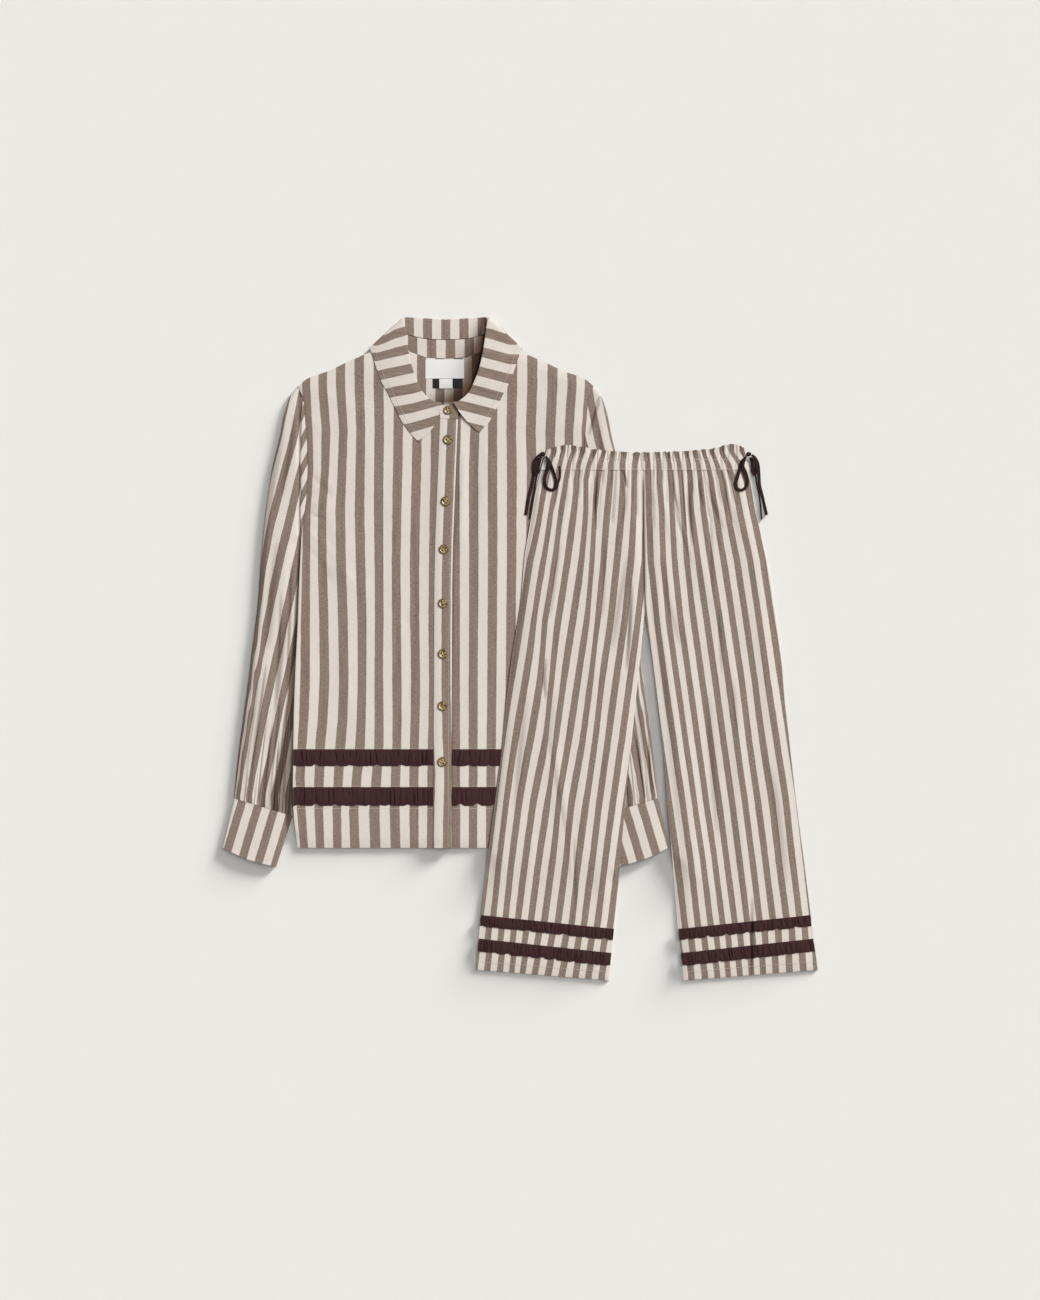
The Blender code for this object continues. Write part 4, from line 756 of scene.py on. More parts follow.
def fold_lines(U, W, count, seed, half):
    """Depth from 0 to 1 of a strip's fold lines: each is a bell across a leaning line, with its
    own place, lean, depth, width and reach from the seam."""
    draw = np.random.default_rng(seed)
    total = np.zeros_like(U)
    for k in range(count):
        place = (k + 0.5 + draw.uniform(-0.42, 0.42)) / count
        lean, deep = draw.normal(0.0, 0.012), draw.uniform(0.35, 1.0)
        reach, wide = draw.uniform(0.35, 1.5), half * draw.uniform(0.7, 1.5)
        line = bell(U - place - lean * W, wide)
        total = np.maximum(total, deep * line * smooth((reach - W) / 0.3))
    return total


def stripe_edge_painted_shade(number, down, seed, width):
    """Painted shade of fold lines beside the dark stripes, from 0 to 1: every stripe's line has its
    own depth and reach down from the seam, and some stripes have none."""
    draw = np.random.default_rng(seed)
    deep = np.clip(draw.uniform(-0.5, 1.1, 64), 0.0, 1.0)
    reach = draw.uniform(0.35, 1.25, 64)
    at = number - 0.27
    k = np.round(at).astype(int) % 64
    line = bell(at - np.round(at), width)
    return deep[k] * line * smooth((reach[k] - down) / 0.3)


def near_edge(plan, u, v, reach):
    """Nearness to a panel's edge, 1 at it and 0 beyond reach: a bell of the distance in
    millimetres to the nearest of its four edges."""
    xy = plan(u, v)
    wide = np.linalg.norm(xy[:, -1] - xy[:, 0], axis=-1)[:, None]
    tall = np.linalg.norm(xy[-1] - xy[0], axis=-1)[None, :]
    across = from_end(u)[None, :] * wide
    down = np.minimum(v, 1.0 - v)[:, None] * tall
    return bell(np.minimum(across, down), reach)

# %% [markdown]
# ## Camera, floor and light
# The set is seen from straight above through a long lens, as garments on a studio floor are.
# Broad lamps stand at the upper right, and one of them is low, so every edge throws a soft
# shadow to the left and down. Each lamp may be kept to the floor or to the cloth, and the sky
# fills the rest.

# %% Camera
PICTURE_MIDDLE = (0.0001, -0.00158)    # of the picture, on the floor
PICTURE_TALL = 1.820                   # metres from the top of the picture to its foot
lens = bpy.data.cameras.new("studio_camera")
lens.lens, lens.sensor_width, lens.sensor_fit = 100.0, 36.0, "AUTO"
lens.clip_end = 50.0
bpy.context.scene.view_settings.view_transform = "Standard"
camera = bpy.data.objects.new("studio_camera", lens)
camera.location = (*PICTURE_MIDDLE, PICTURE_TALL * lens.lens / lens.sensor_width + 0.004)
bpy.context.scene.collection.objects.link(camera)
bpy.context.scene.camera = camera
print("camera height:", round(camera.location.z, 3))

# %% Nodes in one call each
class Recipe:
    """A material's node tree, with short calls for the nodes that cloth needs."""

    def __init__(self, name):
        self.material = bpy.data.materials.new(name)
        self.material.use_nodes = True
        self.tree = self.material.node_tree
        self.shader = self.tree.nodes["Principled BSDF"]

    def node(self, kind, inputs=None, **settings):
        """A node of a kind, with its settings and its inputs joined or set."""
        made = self.tree.nodes.new(kind)
        for key, value in settings.items():
            setattr(made, key, value)
        for key, value in (inputs or {}).items():
            self.give(made.inputs[key], value)
        return made

    def give(self, socket, value):
        """Join a socket to an output, or set its value."""
        if isinstance(value, bpy.types.NodeSocket):
            self.tree.links.new(value, socket)
        elif isinstance(value, tuple) and len(value) == 3 and socket.type == "RGBA":
            socket.default_value = (*value, 1.0)
        else:
            socket.default_value = value

    def maths(self, operation, a, b=0.0):
        """One sum on one or two numbers."""
        return self.node("ShaderNodeMath", {0: a, 1: b}, operation=operation).outputs[0]

    def spread(self, value, low, high, to_low=0.0, to_high=1.0):
        """A value carried smoothly from one range to another."""
        return self.node("ShaderNodeMapRange",
                         {"Value": value, "From Min": low, "From Max": high,
                          "To Min": to_low, "To Max": to_high},
                         interpolation_type="SMOOTHSTEP").outputs["Result"]

    def mix(self, share, first, second, how="MIX"):
        """Two colours mixed by a share."""
        made = self.tree.nodes.new("ShaderNodeMix")
        made.data_type, made.blend_type = "RGBA", how
        for key, value in (("Factor", share), ("A", first), ("B", second)):
            self.give(made.inputs[key], value)
        return made.outputs["Result"]

    def with_painted_shade(self, colour, kept):
        """Painted shade: the colour, and its product with kept at the bottom of a fold, where
        neither lamp nor sky would reach the yarn, by the piece's painted_shade attribute."""
        depth = self.node("ShaderNodeAttribute", attribute_name="painted_shade").outputs["Fac"]
        return self.mix(depth, colour, kept, "MULTIPLY")

    def noise(self, place, scale, detail=2.0, rough=0.5):
        """Soft noise at a place."""
        return self.node("ShaderNodeTexNoise", {"Vector": place, "Scale": scale, "Detail": detail,
                                                "Roughness": rough}).outputs[0]

    def stretched(self, place, scale):
        """A place, stretched differently along its axes."""
        return self.node("ShaderNodeMapping", {"Vector": place, "Scale": scale}).outputs[0]

    def weave(self, parts):
        """Height of crossing threads, from -1 to 1, from the two parts of a place in metres."""
        warp, weft = (self.maths("SINE", self.maths("MULTIPLY", part, 2.0 * math.pi / THREAD))
                      for part in (parts.outputs[0], parts.outputs[1]))
        return self.maths("MULTIPLY", warp, weft)

    def bump(self, height, distance, strength=1.0, under=None):
        """Normals bent by a height map that is distance metres deep."""
        made = self.node("ShaderNodeBump", {"Height": height, "Distance": distance,
                                            "Strength": strength})
        if under is not None:
            self.tree.links.new(under, made.inputs["Normal"])
        return made.outputs[0]

    def look(self, **values):
        """Values for the shader's own sockets, with _ for a blank."""
        for key, value in values.items():
            self.give(self.shader.inputs[key.replace("_", " ")], value)
        return self.material

# %% Floor and light
FLOOR_HALF = 3.0           # metres
FLOOR_DEEP = 0.0002        # how far the floor is under the cloth, in metres


def make_floor():
    """A pale floor in one plane, a hair under the cloth."""
    half = FLOOR_HALF
    mesh = bpy.data.meshes.new("studio_floor")
    mesh.from_pydata([(-half, -half, 0.0), (half, -half, 0.0), (half, half, 0.0),
                      (-half, half, 0.0)], [], [(0, 1, 2, 3)])
    floor = bpy.data.objects.new("studio_floor", mesh)
    floor.location.z = -FLOOR_DEEP
    bpy.context.scene.collection.objects.link(floor)
    paint = Recipe("floor_paint")
    place = paint.node("ShaderNodeTexCoord").outputs["Object"]
    speck = paint.spread(paint.noise(place, 900.0, 3.0), 0.3, 0.7)
    mesh.materials.append(paint.look(Base_Color=paint.mix(speck, FLOOR_DARK, FLOOR_PALE),
                                     Roughness=0.95, Specular_IOR_Level=0.1))


FLOOR_DARK, FLOOR_PALE = (0.825, 0.815, 0.787), (0.85, 0.84, 0.813)
LAMPS = {
    # name: (turn round from +x, height over the floor, share of the light on a flat surface,
    #        softness, what it lights)
    "window": (50.0, 38.0, 0.12, 26.0, "all"),
    "cloth_window": (30.0, 52.0, 0.64, 26.0, "cloth"),
    "floor_window": (46.0, 8.0, 0.52, 12.0, "floor"),
    "floor_fill": (54.0, 70.0, 0.12, 20.0, "floor"),
}
LAMP_COLOUR = (1.0, 0.985, 0.96)
SKY = (0.985, 0.99, 1.0)
SKY_POWER = 0.24


def lit(kind):
    """A collection that keeps a lamp to the floor, or to everything but the floor."""
    kept = bpy.data.collections.new(f"lit_{kind}")
    kept.objects.link(bpy.data.objects["studio_floor"])
    state = "INCLUDE" if kind == "floor" else "EXCLUDE"
    kept.collection_objects[0].light_linking.link_state = state
    return kept


def make_light():
    """Broad lamps from the upper right and an even sky. A lamp's strength is pi times its share
    over the sine of its height, which is what it gives a flat surface. The lowest lamp lights
    the floor alone, so its long soft shadows don't come with glaring edges on the cloth."""
    for name, (turn, height, share, softness, kind) in LAMPS.items():
        lamp = bpy.data.lights.new(name, "SUN")
        lamp.energy = math.pi * share / math.sin(math.radians(height))
        lamp.angle, lamp.color = math.radians(softness), LAMP_COLOUR
        window = bpy.data.objects.new(name, lamp)
        window.rotation_euler = (math.radians(90.0 - height), 0.0, math.radians(90.0 + turn))
        if kind != "all":
            window.light_linking.receiver_collection = lit(kind)
        bpy.context.scene.collection.objects.link(window)
    world = bpy.data.worlds.new("studio_sky")
    bpy.context.scene.world = world
    world.use_nodes = True
    sky = world.node_tree.nodes["Background"]
    sky.inputs["Color"].default_value = (*SKY, 1.0)
    sky.inputs["Strength"].default_value = SKY_POWER


make_floor()
make_light()

# %% [markdown]
# ## The striped cotton
# Cream and taupe yarns run down the cloth, and pale yarns cross them, so a taupe stripe is a
# mixture up close. Colour and weave both read the cloth's own map, in metres, and so follow
# every bend of a stripe. Threads are bump, at two to the millimetre, with slubs of noise drawn
# out along them.

# %% Striped cotton
CREAM, CREAM_SHADE = (0.75, 0.685, 0.625), (0.64, 0.575, 0.515)
TAUPE, TAUPE_SHADE = (0.35, 0.266, 0.218), (0.18, 0.131, 0.105)
TAUPE_PAINTED_STREAK = (0.15, 0.108, 0.086)      # painted shade in long streaks at random along a taupe stripe
STRIPED_PAINTED_SHADE = (0.11, 0.055, 0.022)    # painted shade: what a deep fold keeps of the colour
THREAD = 0.00042           # metres from one crossing thread to the next
THREAD_DEEP = 0.00005      # metres from a thread's crown to the gap beside it


def striped_cotton(name, pitch, dark_share=0.5):
    """Cotton whose dark stripes are centred where its map's u is a whole number of pitches: off
    is the distance from a stripe's middle in pitches, and half the share of dark is its edge."""
    cotton = Recipe(name)
    place = cotton.node("ShaderNodeUVMap", uv_map="Cloth").outputs[0]
    parts = cotton.node("ShaderNodeSeparateXYZ", {0: place})
    across = parts.outputs[0]
    waver = cotton.spread(cotton.noise(cotton.stretched(place, (400.0, 60.0, 1.0)), 1.0), 0.2, 0.8,
                          -0.012, 0.012)
    number = cotton.maths("ADD", cotton.maths("DIVIDE", across, pitch), waver)
    off = cotton.maths("ABSOLUTE", cotton.maths(
        "SUBTRACT", cotton.maths("FRACT", cotton.maths("ADD", number, 100.5)), 0.5))
    pale = cotton.spread(off, 0.5 * dark_share - 0.02, 0.5 * dark_share + 0.02)
    slub = cotton.noise(cotton.stretched(place, (1600.0, 260.0, 1.0)), 1.0, 4.0, 0.65)
    weft = cotton.noise(cotton.stretched(place, (180.0, 1500.0, 1.0)), 1.0, 4.0, 0.65)
    yarn = cotton.maths("MULTIPLY", cotton.maths("ADD", slub, weft), 0.5)
    dark = cotton.mix(cotton.spread(yarn, 0.38, 0.62), TAUPE_SHADE, TAUPE)
    light = cotton.mix(cotton.spread(yarn, 0.33, 0.55), CREAM_SHADE, CREAM)
    # painted shade in long streaks at random along the taupe stripes
    painted_streaks = cotton.noise(cotton.stretched(place, (330.0, 15.0, 1.0)), 1.0, 3.0, 0.6)
    dark = cotton.mix(cotton.spread(painted_streaks, 0.46, 0.78, 0.0, 0.6), dark, TAUPE_PAINTED_STREAK)
    # painted shade in folds, by the piece's painted_shade attribute
    colour = cotton.with_painted_shade(cotton.mix(pale, dark, light), STRIPED_PAINTED_SHADE)
    fine = cotton.bump(cotton.weave(parts), THREAD_DEEP, 0.35)
    uneven = cotton.bump(yarn, 0.00025, 0.5, fine)
    return cotton.look(Base_Color=colour, Roughness=0.88, Specular_IOR_Level=0.25,
                       Sheen_Weight=0.12, Sheen_Roughness=0.5, Normal=uneven)


SHIRTING = striped_cotton("shirt_cotton", SHIRT_PITCH)
TROUSERING = striped_cotton("trouser_cotton", TROUSER_PITCH)

# %% [markdown]
# ## Trim
# The ruffles and ties are a plain aubergine cotton whose folds catch a little red light, so it
# has more sheen than the striped cloth. The label is a smooth satin tape, and the thread is a
# soft cream.

# %% Plain cloths and thread
TRIM_PAINTED_SHADE = (0.2, 0.2, 0.2)            # painted shade: what a deep fold keeps of a trim's colour


def plain_cotton(name, pale, deep, sheen, sheen_colour, roughness=0.8):
    """A one-colour weave: two shades mixed by slubs along both threads, and a fine grid bump."""
    cotton = Recipe(name)
    place = cotton.node("ShaderNodeUVMap", uv_map="Cloth").outputs[0]
    slub = cotton.noise(cotton.stretched(place, (1800.0, 350.0, 1.0)), 1.0, 4.0, 0.6)
    weft = cotton.noise(cotton.stretched(place, (300.0, 1800.0, 1.0)), 1.0, 4.0, 0.6)
    yarn = cotton.maths("MULTIPLY", cotton.maths("ADD", slub, weft), 0.5)
    parts = cotton.node("ShaderNodeSeparateXYZ", {0: place})
    fine = cotton.bump(cotton.weave(parts), THREAD_DEEP, 0.3)
    colour = cotton.mix(cotton.spread(yarn, 0.35, 0.65), deep, pale)
    # painted shade in folds, by the piece's painted_shade attribute
    return cotton.look(Base_Color=cotton.with_painted_shade(colour, TRIM_PAINTED_SHADE), Roughness=roughness,
                       Specular_IOR_Level=0.2, Sheen_Weight=sheen, Sheen_Roughness=0.45,
                       Sheen_Tint=sheen_colour, Normal=cotton.bump(yarn, 0.0002, 0.5, fine))


AUBERGINE = plain_cotton("aubergine_cotton", (0.066, 0.025, 0.0255), (0.028, 0.010, 0.0105),
                         0.12, (0.75, 0.42, 0.42))
TIE_CLOTH = plain_cotton("tie_cotton", (0.036, 0.015, 0.015), (0.014, 0.006, 0.006), 0.03,
                         (0.75, 0.42, 0.42))
LABEL_SATIN = plain_cotton("label_satin", (0.86, 0.85, 0.83), (0.80, 0.79, 0.77), 0.1,
                           (1.0, 1.0, 1.0), 0.6)
TAB_SATIN = plain_cotton("tab_satin", (0.02, 0.019, 0.021), (0.010, 0.010, 0.012), 0.1,
                         (0.8, 0.8, 0.85), 0.6)
SEWING = plain_cotton("sewing_thread", (0.80, 0.74, 0.67), (0.68, 0.62, 0.55), 0.2,
                      (1.0, 1.0, 1.0), 0.7)

# %% [markdown]
# ## Shirt back
# One panel from shoulder to hem. It lies on the floor, and only its neck rises, over the part of
# the collar that is tucked under it. It shows inside the neck, so its weave and stripes matter
# there.

# %% Back
def collar_table(left):
    """All rows of the collar's table on one side, front end first."""
    return (COLLAR_LEFT_END if left else COLLAR_RIGHT_END) + COLLAR_REST


def left_centre(y):
    """Centre edge of the left front: under the placket's right edge."""
    return placket_edge(y) - PLACKET_WIDTH


def right_centre(y):
    """Centre edge of the right front, which reaches under the placket."""
    return PLACKET_WIDTH - UNDERLAP - placket_edge(y)


def back_plan():
    """Plan of the back, from the left side to the right."""
    neck = [row[0] for row in collar_table(True)[NECK_CORNER:]]

    def top(t):
        half = chain([(rounded, SHOULDER), (straight, neck)], BACK_TOP_SHARES,
                     1.0 - np.abs(1.0 - 2.0 * t))
        out = half[..., 0] * np.where(np.asarray(t) < 0.5, -1.0, 1.0)
        return np.stack([SHIRT_X + out, half[..., 1]], axis=-1)

    def hem(t):
        return np.stack([SHIRT_X + (2.0 * t - 1.0) * HEM_HALF, np.full_like(t, HEM_Y)], axis=-1)
    edge = [(straight, ARMHOLE), (rounded, SIDE_SEAM)]
    return patch(top, hem, lambda t: mirrored(chain(edge, SIDE_SHARES, t), -1),
                 lambda t: mirrored(chain(edge, SIDE_SHARES, t), 1))


def stretch(*parts):
    """Fractions along an edge: each part is its end and how many even steps lead to it."""
    at, out = 0.0, [0.0]
    for end, count in parts:
        out += list(np.linspace(at, end, count + 1)[1:])
        at = end
    return np.array(out)


# The right leaf's inner edge, as heights on the page and places across it
LEAF_EDGE = ((349.0, 364.4, 375.6, 406.4, 431.6, 462.4, 475.0),
             (-94.2, -76.7, -66.9, -61.3, -54.3, -46.6, -43.0))


def neck_painted_shadow(x, y):
    """Painted shadow of the collar's right leaf on the inside of the neck: full at the
    leaf's edge, and a bell of the distance to its left that narrows towards the top."""
    away = np.maximum(np.interp(y, *LEAF_EDGE) - x, 0.0)
    reach = np.interp(y, [350.0, 375.0, 400.0, 430.0, 455.0], [32.0, 28.0, 25.0, 17.0, 9.0])
    return 0.97 * bell(away, reach) * smooth((y - 342.0) / 4.0)


def make_back():
    """The back's plan, lying on the raised neck base, with its stripes straight down."""
    half = stretch((0.5 * BACK_TOP_SHARES[0], 26), (0.5, 24))
    u = np.concatenate([half, 1.0 - half[-2::-1]])
    v = stretch((0.12, 28), (SIDE_SHARES[0], 16), (1.0, 30))
    xy = back_plan()(u, v)
    x, y = xy[..., 0], xy[..., 1]
    low = collar_base(x, y)
    soft = 0.12 * waves(x, y, 4, 60.0, 0.4) * smooth((y - 330.0) / 25.0) * smooth((404.0 - y) / 8.0)
    upper = with_height(xy, low + WALL + soft)
    places = cloth_map((x - SHIRT_X + 8.3) / (SHIRT_PITCH / MM), y, SHIRT_PITCH)
    # painted shadow of the collar's right leaf inside the neck
    piece = add_cloth("back_cloth", upper, with_height(xy, low), places, SHIRTING,
                      neck_painted_shadow(x, y))
    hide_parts("shirt_back")


make_back()

# %% [markdown]
# ## Shirt fronts
# Two panels of one layer each. They touch the back at the side seams, shoulders and hem and
# float over it between, as a shirt does with a little air in it. The largest folds are in the
# solids. The smaller creases here start where cloth is sewn to a curve: at the armhole, under the
# arm and below the yoke of the collar.

# %% Creases of the fronts
LEFT_CREASES = [
    # places along the crease, half width, height
    ([(-291, 246), (-272, 226), (-262, 214)], 3.6, -1.2),
    ([(-296, 212), (-283, 205), (-266, 205)], 5.4, 0.9),
    ([(-298, 196), (-288, 189), (-272, 184)], 2.9, -1.1),
    ([(-302, 168), (-276, 150), (-246, 118)], 6.3, 0.8),
    ([(-303, 150), (-280, 128), (-262, 92)], 4.3, -0.8),
    ([(-300, 330), (-286, 318), (-268, 300)], 7.2, 0.6),
    ([(-292, 372), (-262, 352), (-226, 340)], 8.1, 0.6),
    ([(-212, 300), (-206, 240), (-214, 170)], 9.9, 0.6),
    ([(-236, 30), (-246, -30), (-240, -96)], 8.1, 0.7),
    ([(-300, 20), (-292, -40), (-296, -110)], 7.2, 0.7),
    ([(-158, 60), (-150, 0), (-154, -80)], 5.8, -0.7),
    ([(-286, -215), (-262, -212), (-238, -218)], 3.6, 0.6),
    ([(-149, 150), (-147, 70), (-146, -10)], 3.2, -0.9),
    ([(-173, 60), (-172, 10), (-174, -42)], 3.2, -0.6),
]
RIGHT_CREASES = [
    ([(-82, 284), (-81, 210), (-85, 108)], 5.4, 1.5),
    ([(-91, 262), (-90, 200), (-91, 130)], 2.9, -0.9),
    ([(-82, 272), (-87, 200), (-96, 100)], 2.8, -2),
    ([(-66, 300), (-60, 230), (-66, 150)], 5, -0.8),
    ([(-52, 292), (-40, 250), (-36, 200)], 8.1, 0.8),
    ([(88, 330), (74, 318), (56, 300)], 7.2, 0.7),
    ([(84, 372), (54, 352), (18, 340)], 8.1, 0.6),
    ([(84, 252), (66, 236), (52, 226)], 3.6, -1.1),
    ([(0, 320), (6, 270), (2, 210)], 9, 0.6),
    ([(-70, 60), (-64, -10), (-70, -90)], 7.2, 0.6),
]


def front_plan(side, centre):
    """Plan of a front from its side edge to its centre edge, given as out for a height y."""
    neck = [row[0] for row in collar_table(True)[NECK_CORNER::-1]]
    neck.append((centre(NECK_LINE), NECK_LINE))
    top = [(rounded, SHOULDER), (straight, neck)]
    edge = [(straight, ARMHOLE), (rounded, SIDE_SEAM)]

    def inner(t):
        y = NECK_LINE + np.asarray(t) * (HEM_Y - NECK_LINE)
        return mirrored(np.stack([centre(y), y], axis=-1), side)
    return patch(lambda t: mirrored(chain(top, FRONT_TOP_SHARES, t), side),
                 lambda t: mirrored(straight([(HEM_HALF, HEM_Y), (centre(HEM_Y), HEM_Y)], t), side),
                 lambda t: mirrored(chain(edge, SIDE_SHARES, t), side), inner)


def side_lip(x, y):
    """Extra thickness of the left side seam below the arm, where it stands over the sleeve."""
    rise = 2.6 * bell(side_edge(y) - (SHIRT_X - x), 6.0)
    return rise * smooth((165.0 - y) / 50.0) * smooth((y + 262.0) / 14.0)


def front_seen(x, y, left):
    """Upper face of a front: the solid's, with creases and low waves."""
    table, seed = (LEFT_CREASES, 11) if left else (RIGHT_CREASES, 12)
    free = 0.25 + 0.75 * pressed(x, y)
    calm = smooth((np.abs(x - SHIRT_X) - 16.0) / 14.0)
    low = front_under(x, y, left) + WALL + side_lip(x, y)
    soft = (CREASE_GAIN * creases(x, y, table) + 0.34 * waves(x, y, seed, 95.0, 0.15)
            + 0.07 * waves(x, y, seed + 1, 24.0, 0.4))
    return low + free * calm * soft

# %% Fronts
def make_front(word, side, centre, numbers):
    """A front from its side edge to its centre edge, dipped at the rim to meet the back."""
    plan = front_plan(side, centre)
    u = stretch((0.006, 2), (FRONT_TOP_SHARES[0], 42), (0.985, 43), (1.0, 2))
    v = stretch((0.004, 2), (SIDE_SHARES[0], 70), (0.997, 130), (1.0, 2))
    xy = plan(u, v)
    x, y = xy[..., 0], xy[..., 1]
    z = front_seen(x, y, word == "left") - 0.7 * near_edge(plan, u, v, 1.6)
    upper = with_height(xy, z)
    places = cloth_map(stripe_number(numbers, x, y), y, SHIRT_PITCH)
    lower = lifted(upper, -THIN)
    lower[..., 2] -= side_lip(x, y)
    # painted shadow on the right front beside the placket's edge, and painted shade in the creases
    past = x - SHIRT_X + placket_edge(y) - PLACKET_WIDTH
    beside = np.where(past < -2.0, 0.0, 0.5 * bell(past, 1.8)) * (word == "right")
    table = LEFT_CREASES if word == "left" else RIGHT_CREASES
    beside = np.maximum(beside, crease_painted_shade(x, y, table, 0.3))
    piece = add_cloth(f"front_{word}_cloth", upper, lower, places, SHIRTING,
                      painted_fold_shade(upper, 5.0, 1.5, beside))
    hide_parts(f"shirt_front_{word}")


make_front("left", -1, left_centre, LEFT_FRONT_STRIPES)
make_front("right", 1, right_centre, RIGHT_FRONT_STRIPES)

# %% [markdown]
# ## Placket
# A folded band, sewn on the left front's edge with a row of stitches near each side. It is two
# layers and a stiffener, so it is flatter and firmer than the front, and it puckers a little
# between the buttons.

# %% Placket
# Height on the page, and the dark stripe's middle from the placket's left edge there
PLACKET_STRIPE = ((-276.8, -237.6, -174.6, -125.6, -60.0, 15.0),
                  (19.8, 20.1, 21.3, 18.7, 17.2, 16.6))
STITCH_IN = 4.2            # from the placket's edges to its rows of stitches
STITCH_SINK = 0.22         # how far a row draws the cloth down


def band_seen(x, y):
    """Upper face of the placket: one layer over the front, with a pucker between the buttons."""
    pull = 0.12 * np.cos(2.0 * math.pi * (y - BUTTON_Y[0]) / 70.0)
    return front_seen(x, y, True) + SEAM + THIN + 0.35 + pull


def make_placket():
    """The band from the neck to the hem, its two edges rolled down on the front."""
    w = np.array([0.0, 0.02, 0.07, 0.16, 0.22, 0.35, 0.5, 0.65, 0.78, 0.84, 0.93, 0.98, 1.0])
    y = NECK_LINE - SEAM + np.linspace(0.0, 1.0, 241) * (HEM_Y - NECK_LINE + SEAM)
    W, Y = np.meshgrid(w, y)
    x = SHIRT_X - placket_edge(Y) + PLACKET_WIDTH * W
    side = from_end(W) * PLACKET_WIDTH
    z = (band_seen(x, Y) - 0.6 * bell(side, 0.9)
         - STITCH_SINK * bell(side - STITCH_IN, 0.8))
    upper = np.stack([x, Y, z], axis=-1)
    number = W - np.interp(Y, PLACKET_STRIPE[0], PLACKET_STRIPE[1]) / PLACKET_WIDTH
    places = cloth_map(number, Y, SHIRT_PITCH)
    piece = add_cloth("placket_cloth", upper, lifted(upper, -THIN), places, SHIRTING)
    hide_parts("placket")


make_placket()

# %% [markdown]
# ## Sleeves and cuffs
# Each is a flattened tube of cloth: rings that run over the top from the outer edge to the inner
# one and back underneath. Gathers fan up from the cuff, where a wide sleeve is drawn into a
# narrow band.

# %% Flattened tubes
def sleeve_plan(side):
    """Plan of a sleeve: from the armhole round to the cuff's seam, outer edge to inner edge."""
    hole = [(p[0] + 0.4, p[1]) for p in ARMHOLE]
    cuff = [(p[0], p[1] + 0.4) for p in CUFF_TOP]
    outer = [hole[0]] + SLEEVE_OUTER[1:-1] + [cuff[0]]
    inner = ([hole[-1]] + [(p[0] + 0.9, p[1]) for p in SIDE_SEAM[1:6]]
             + [(214.4, -190.0), cuff[1]])
    return patch(shirt_edge(straight, hole, side), shirt_edge(straight, cuff, side),
                 shirt_edge(rounded, outer, side), shirt_edge(rounded, inner, side))


def cuff_plan(side):
    """Plan of a cuff, from its seam to its hem."""
    outer, inner = [CUFF_TOP[0], CUFF_HEM[0]], [CUFF_TOP[1], CUFF_HEM[-1]]
    return patch(*(shirt_edge(rounded, points, side)
                   for points in (CUFF_TOP, CUFF_HEM, outer, inner)))


def flat_tube(plan, u, u_low, v, base, upper):
    """Rings of a tube lying flat, outer and inner. Its lower half follows base, and its upper
    half is base plus upper(u, v, x, y); the inner wall is one layer inside the outer."""
    rings = []
    for inset in (0.0, THIN):
        def placed(at):
            xy = plan(at, v)
            sides = plan(np.array([0.0, 1.0]), v)
            left, right = sides[:, :1], sides[:, 1:]
            width = np.linalg.norm(right - left, axis=-1)[..., None]
            middle = 0.5 * (left + right)
            return middle + (xy - middle) * (1.0 - 2.0 * inset / width)
        top, low = placed(u), placed(u_low)
        U, V = np.meshgrid(u, v)
        x, y = top[..., 0], top[..., 1]
        z = base(x, y) + upper(U, V, x, y) - inset
        low_z = base(low[..., 0], low[..., 1]) + inset
        rings.append(np.concatenate([with_height(top, z), with_height(low, low_z)[:, ::-1]],
                                    axis=1))
    return rings


def rounded_rim(u, rise):
    """Height over the floor across a flat tube: half the least height at the very edge, and a
    quarter ellipse up to the least height plus rise in the middle."""
    turn = np.sqrt(np.clip(1.0 - (1.0 - np.clip(from_end(u) / 0.035, 0.0, 1.0)) ** 2,
                           0.0, 1.0))
    return 0.5 * LAID_FLAT * (1.0 + turn) + rise * (4.0 * u * (1.0 - u)) ** 0.5


def floor_level(x, y):
    """The surface that the set lies on."""
    return np.zeros_like(x)

# %% Sleeves
SLEEVE_CREASES = [
    # as out and y on either side
    ([(216, 122), (219, 40), (223, -60)], 3.2, -1.5),
    ([(231, 80), (233, 0), (240, -90)], 3.2, -1.6),
    ([(252, -20), (262, -90), (274, -170)], 3.2, -1.4),
    ([(212, 330), (218, 280), (230, 215)], 4.3, -1.1),
    ([(205, 300), (210, 240), (216, 190)], 5.4, 0.9),
    ([(214, 190), (224, 120), (232, 40)], 7.2, 1),
    ([(236, 150), (244, 80), (250, 0)], 6.5, -1.1),
    ([(220, 60), (232, -20), (240, -100)], 5, -1.2),
    ([(246, 20), (256, -60), (266, -150)], 6.3, 1),
    ([(224, -60), (236, -140), (242, -200)], 4.5, 1.1),
    ([(262, -40), (272, -110), (284, -190)], 3.6, -1.1),
]

# The right sleeve's own, which show between the legs
RIGHT_SLEEVE_CREASES = [
    ([(216, 358), (211, 340), (200, 300)], 3, -2.2),
    ([(256, -60), (262, -98.6), (267.9, -131.6), (272.9, -167.6), (279, -209)],
     3, -3),
    ([(283, -118), (284.4, -150), (286, -175), (289, -206)], 2.4, -2),
]
# Deep narrow folds of the right sleeve, as places that get painted shade
SLEEVE_SLITS = [
    ([(261.8, -97), (267.9, -131.6), (272.9, -167.6), (279, -209)], 1.9, -2),
    ([(284, -133), (284.4, -155.5), (286, -175.6), (289, -203)], 1.7, -1.6),
]
GATHER_REACH = 0.27        # of the sleeve's length, up from the cuff
GATHER_LINES = 19          # fold lines over a cuff


def sleeve_creases(right):
    """The creases of a sleeve; the right one has some of its own."""
    return SLEEVE_CREASES + (RIGHT_SLEEVE_CREASES if right else [])


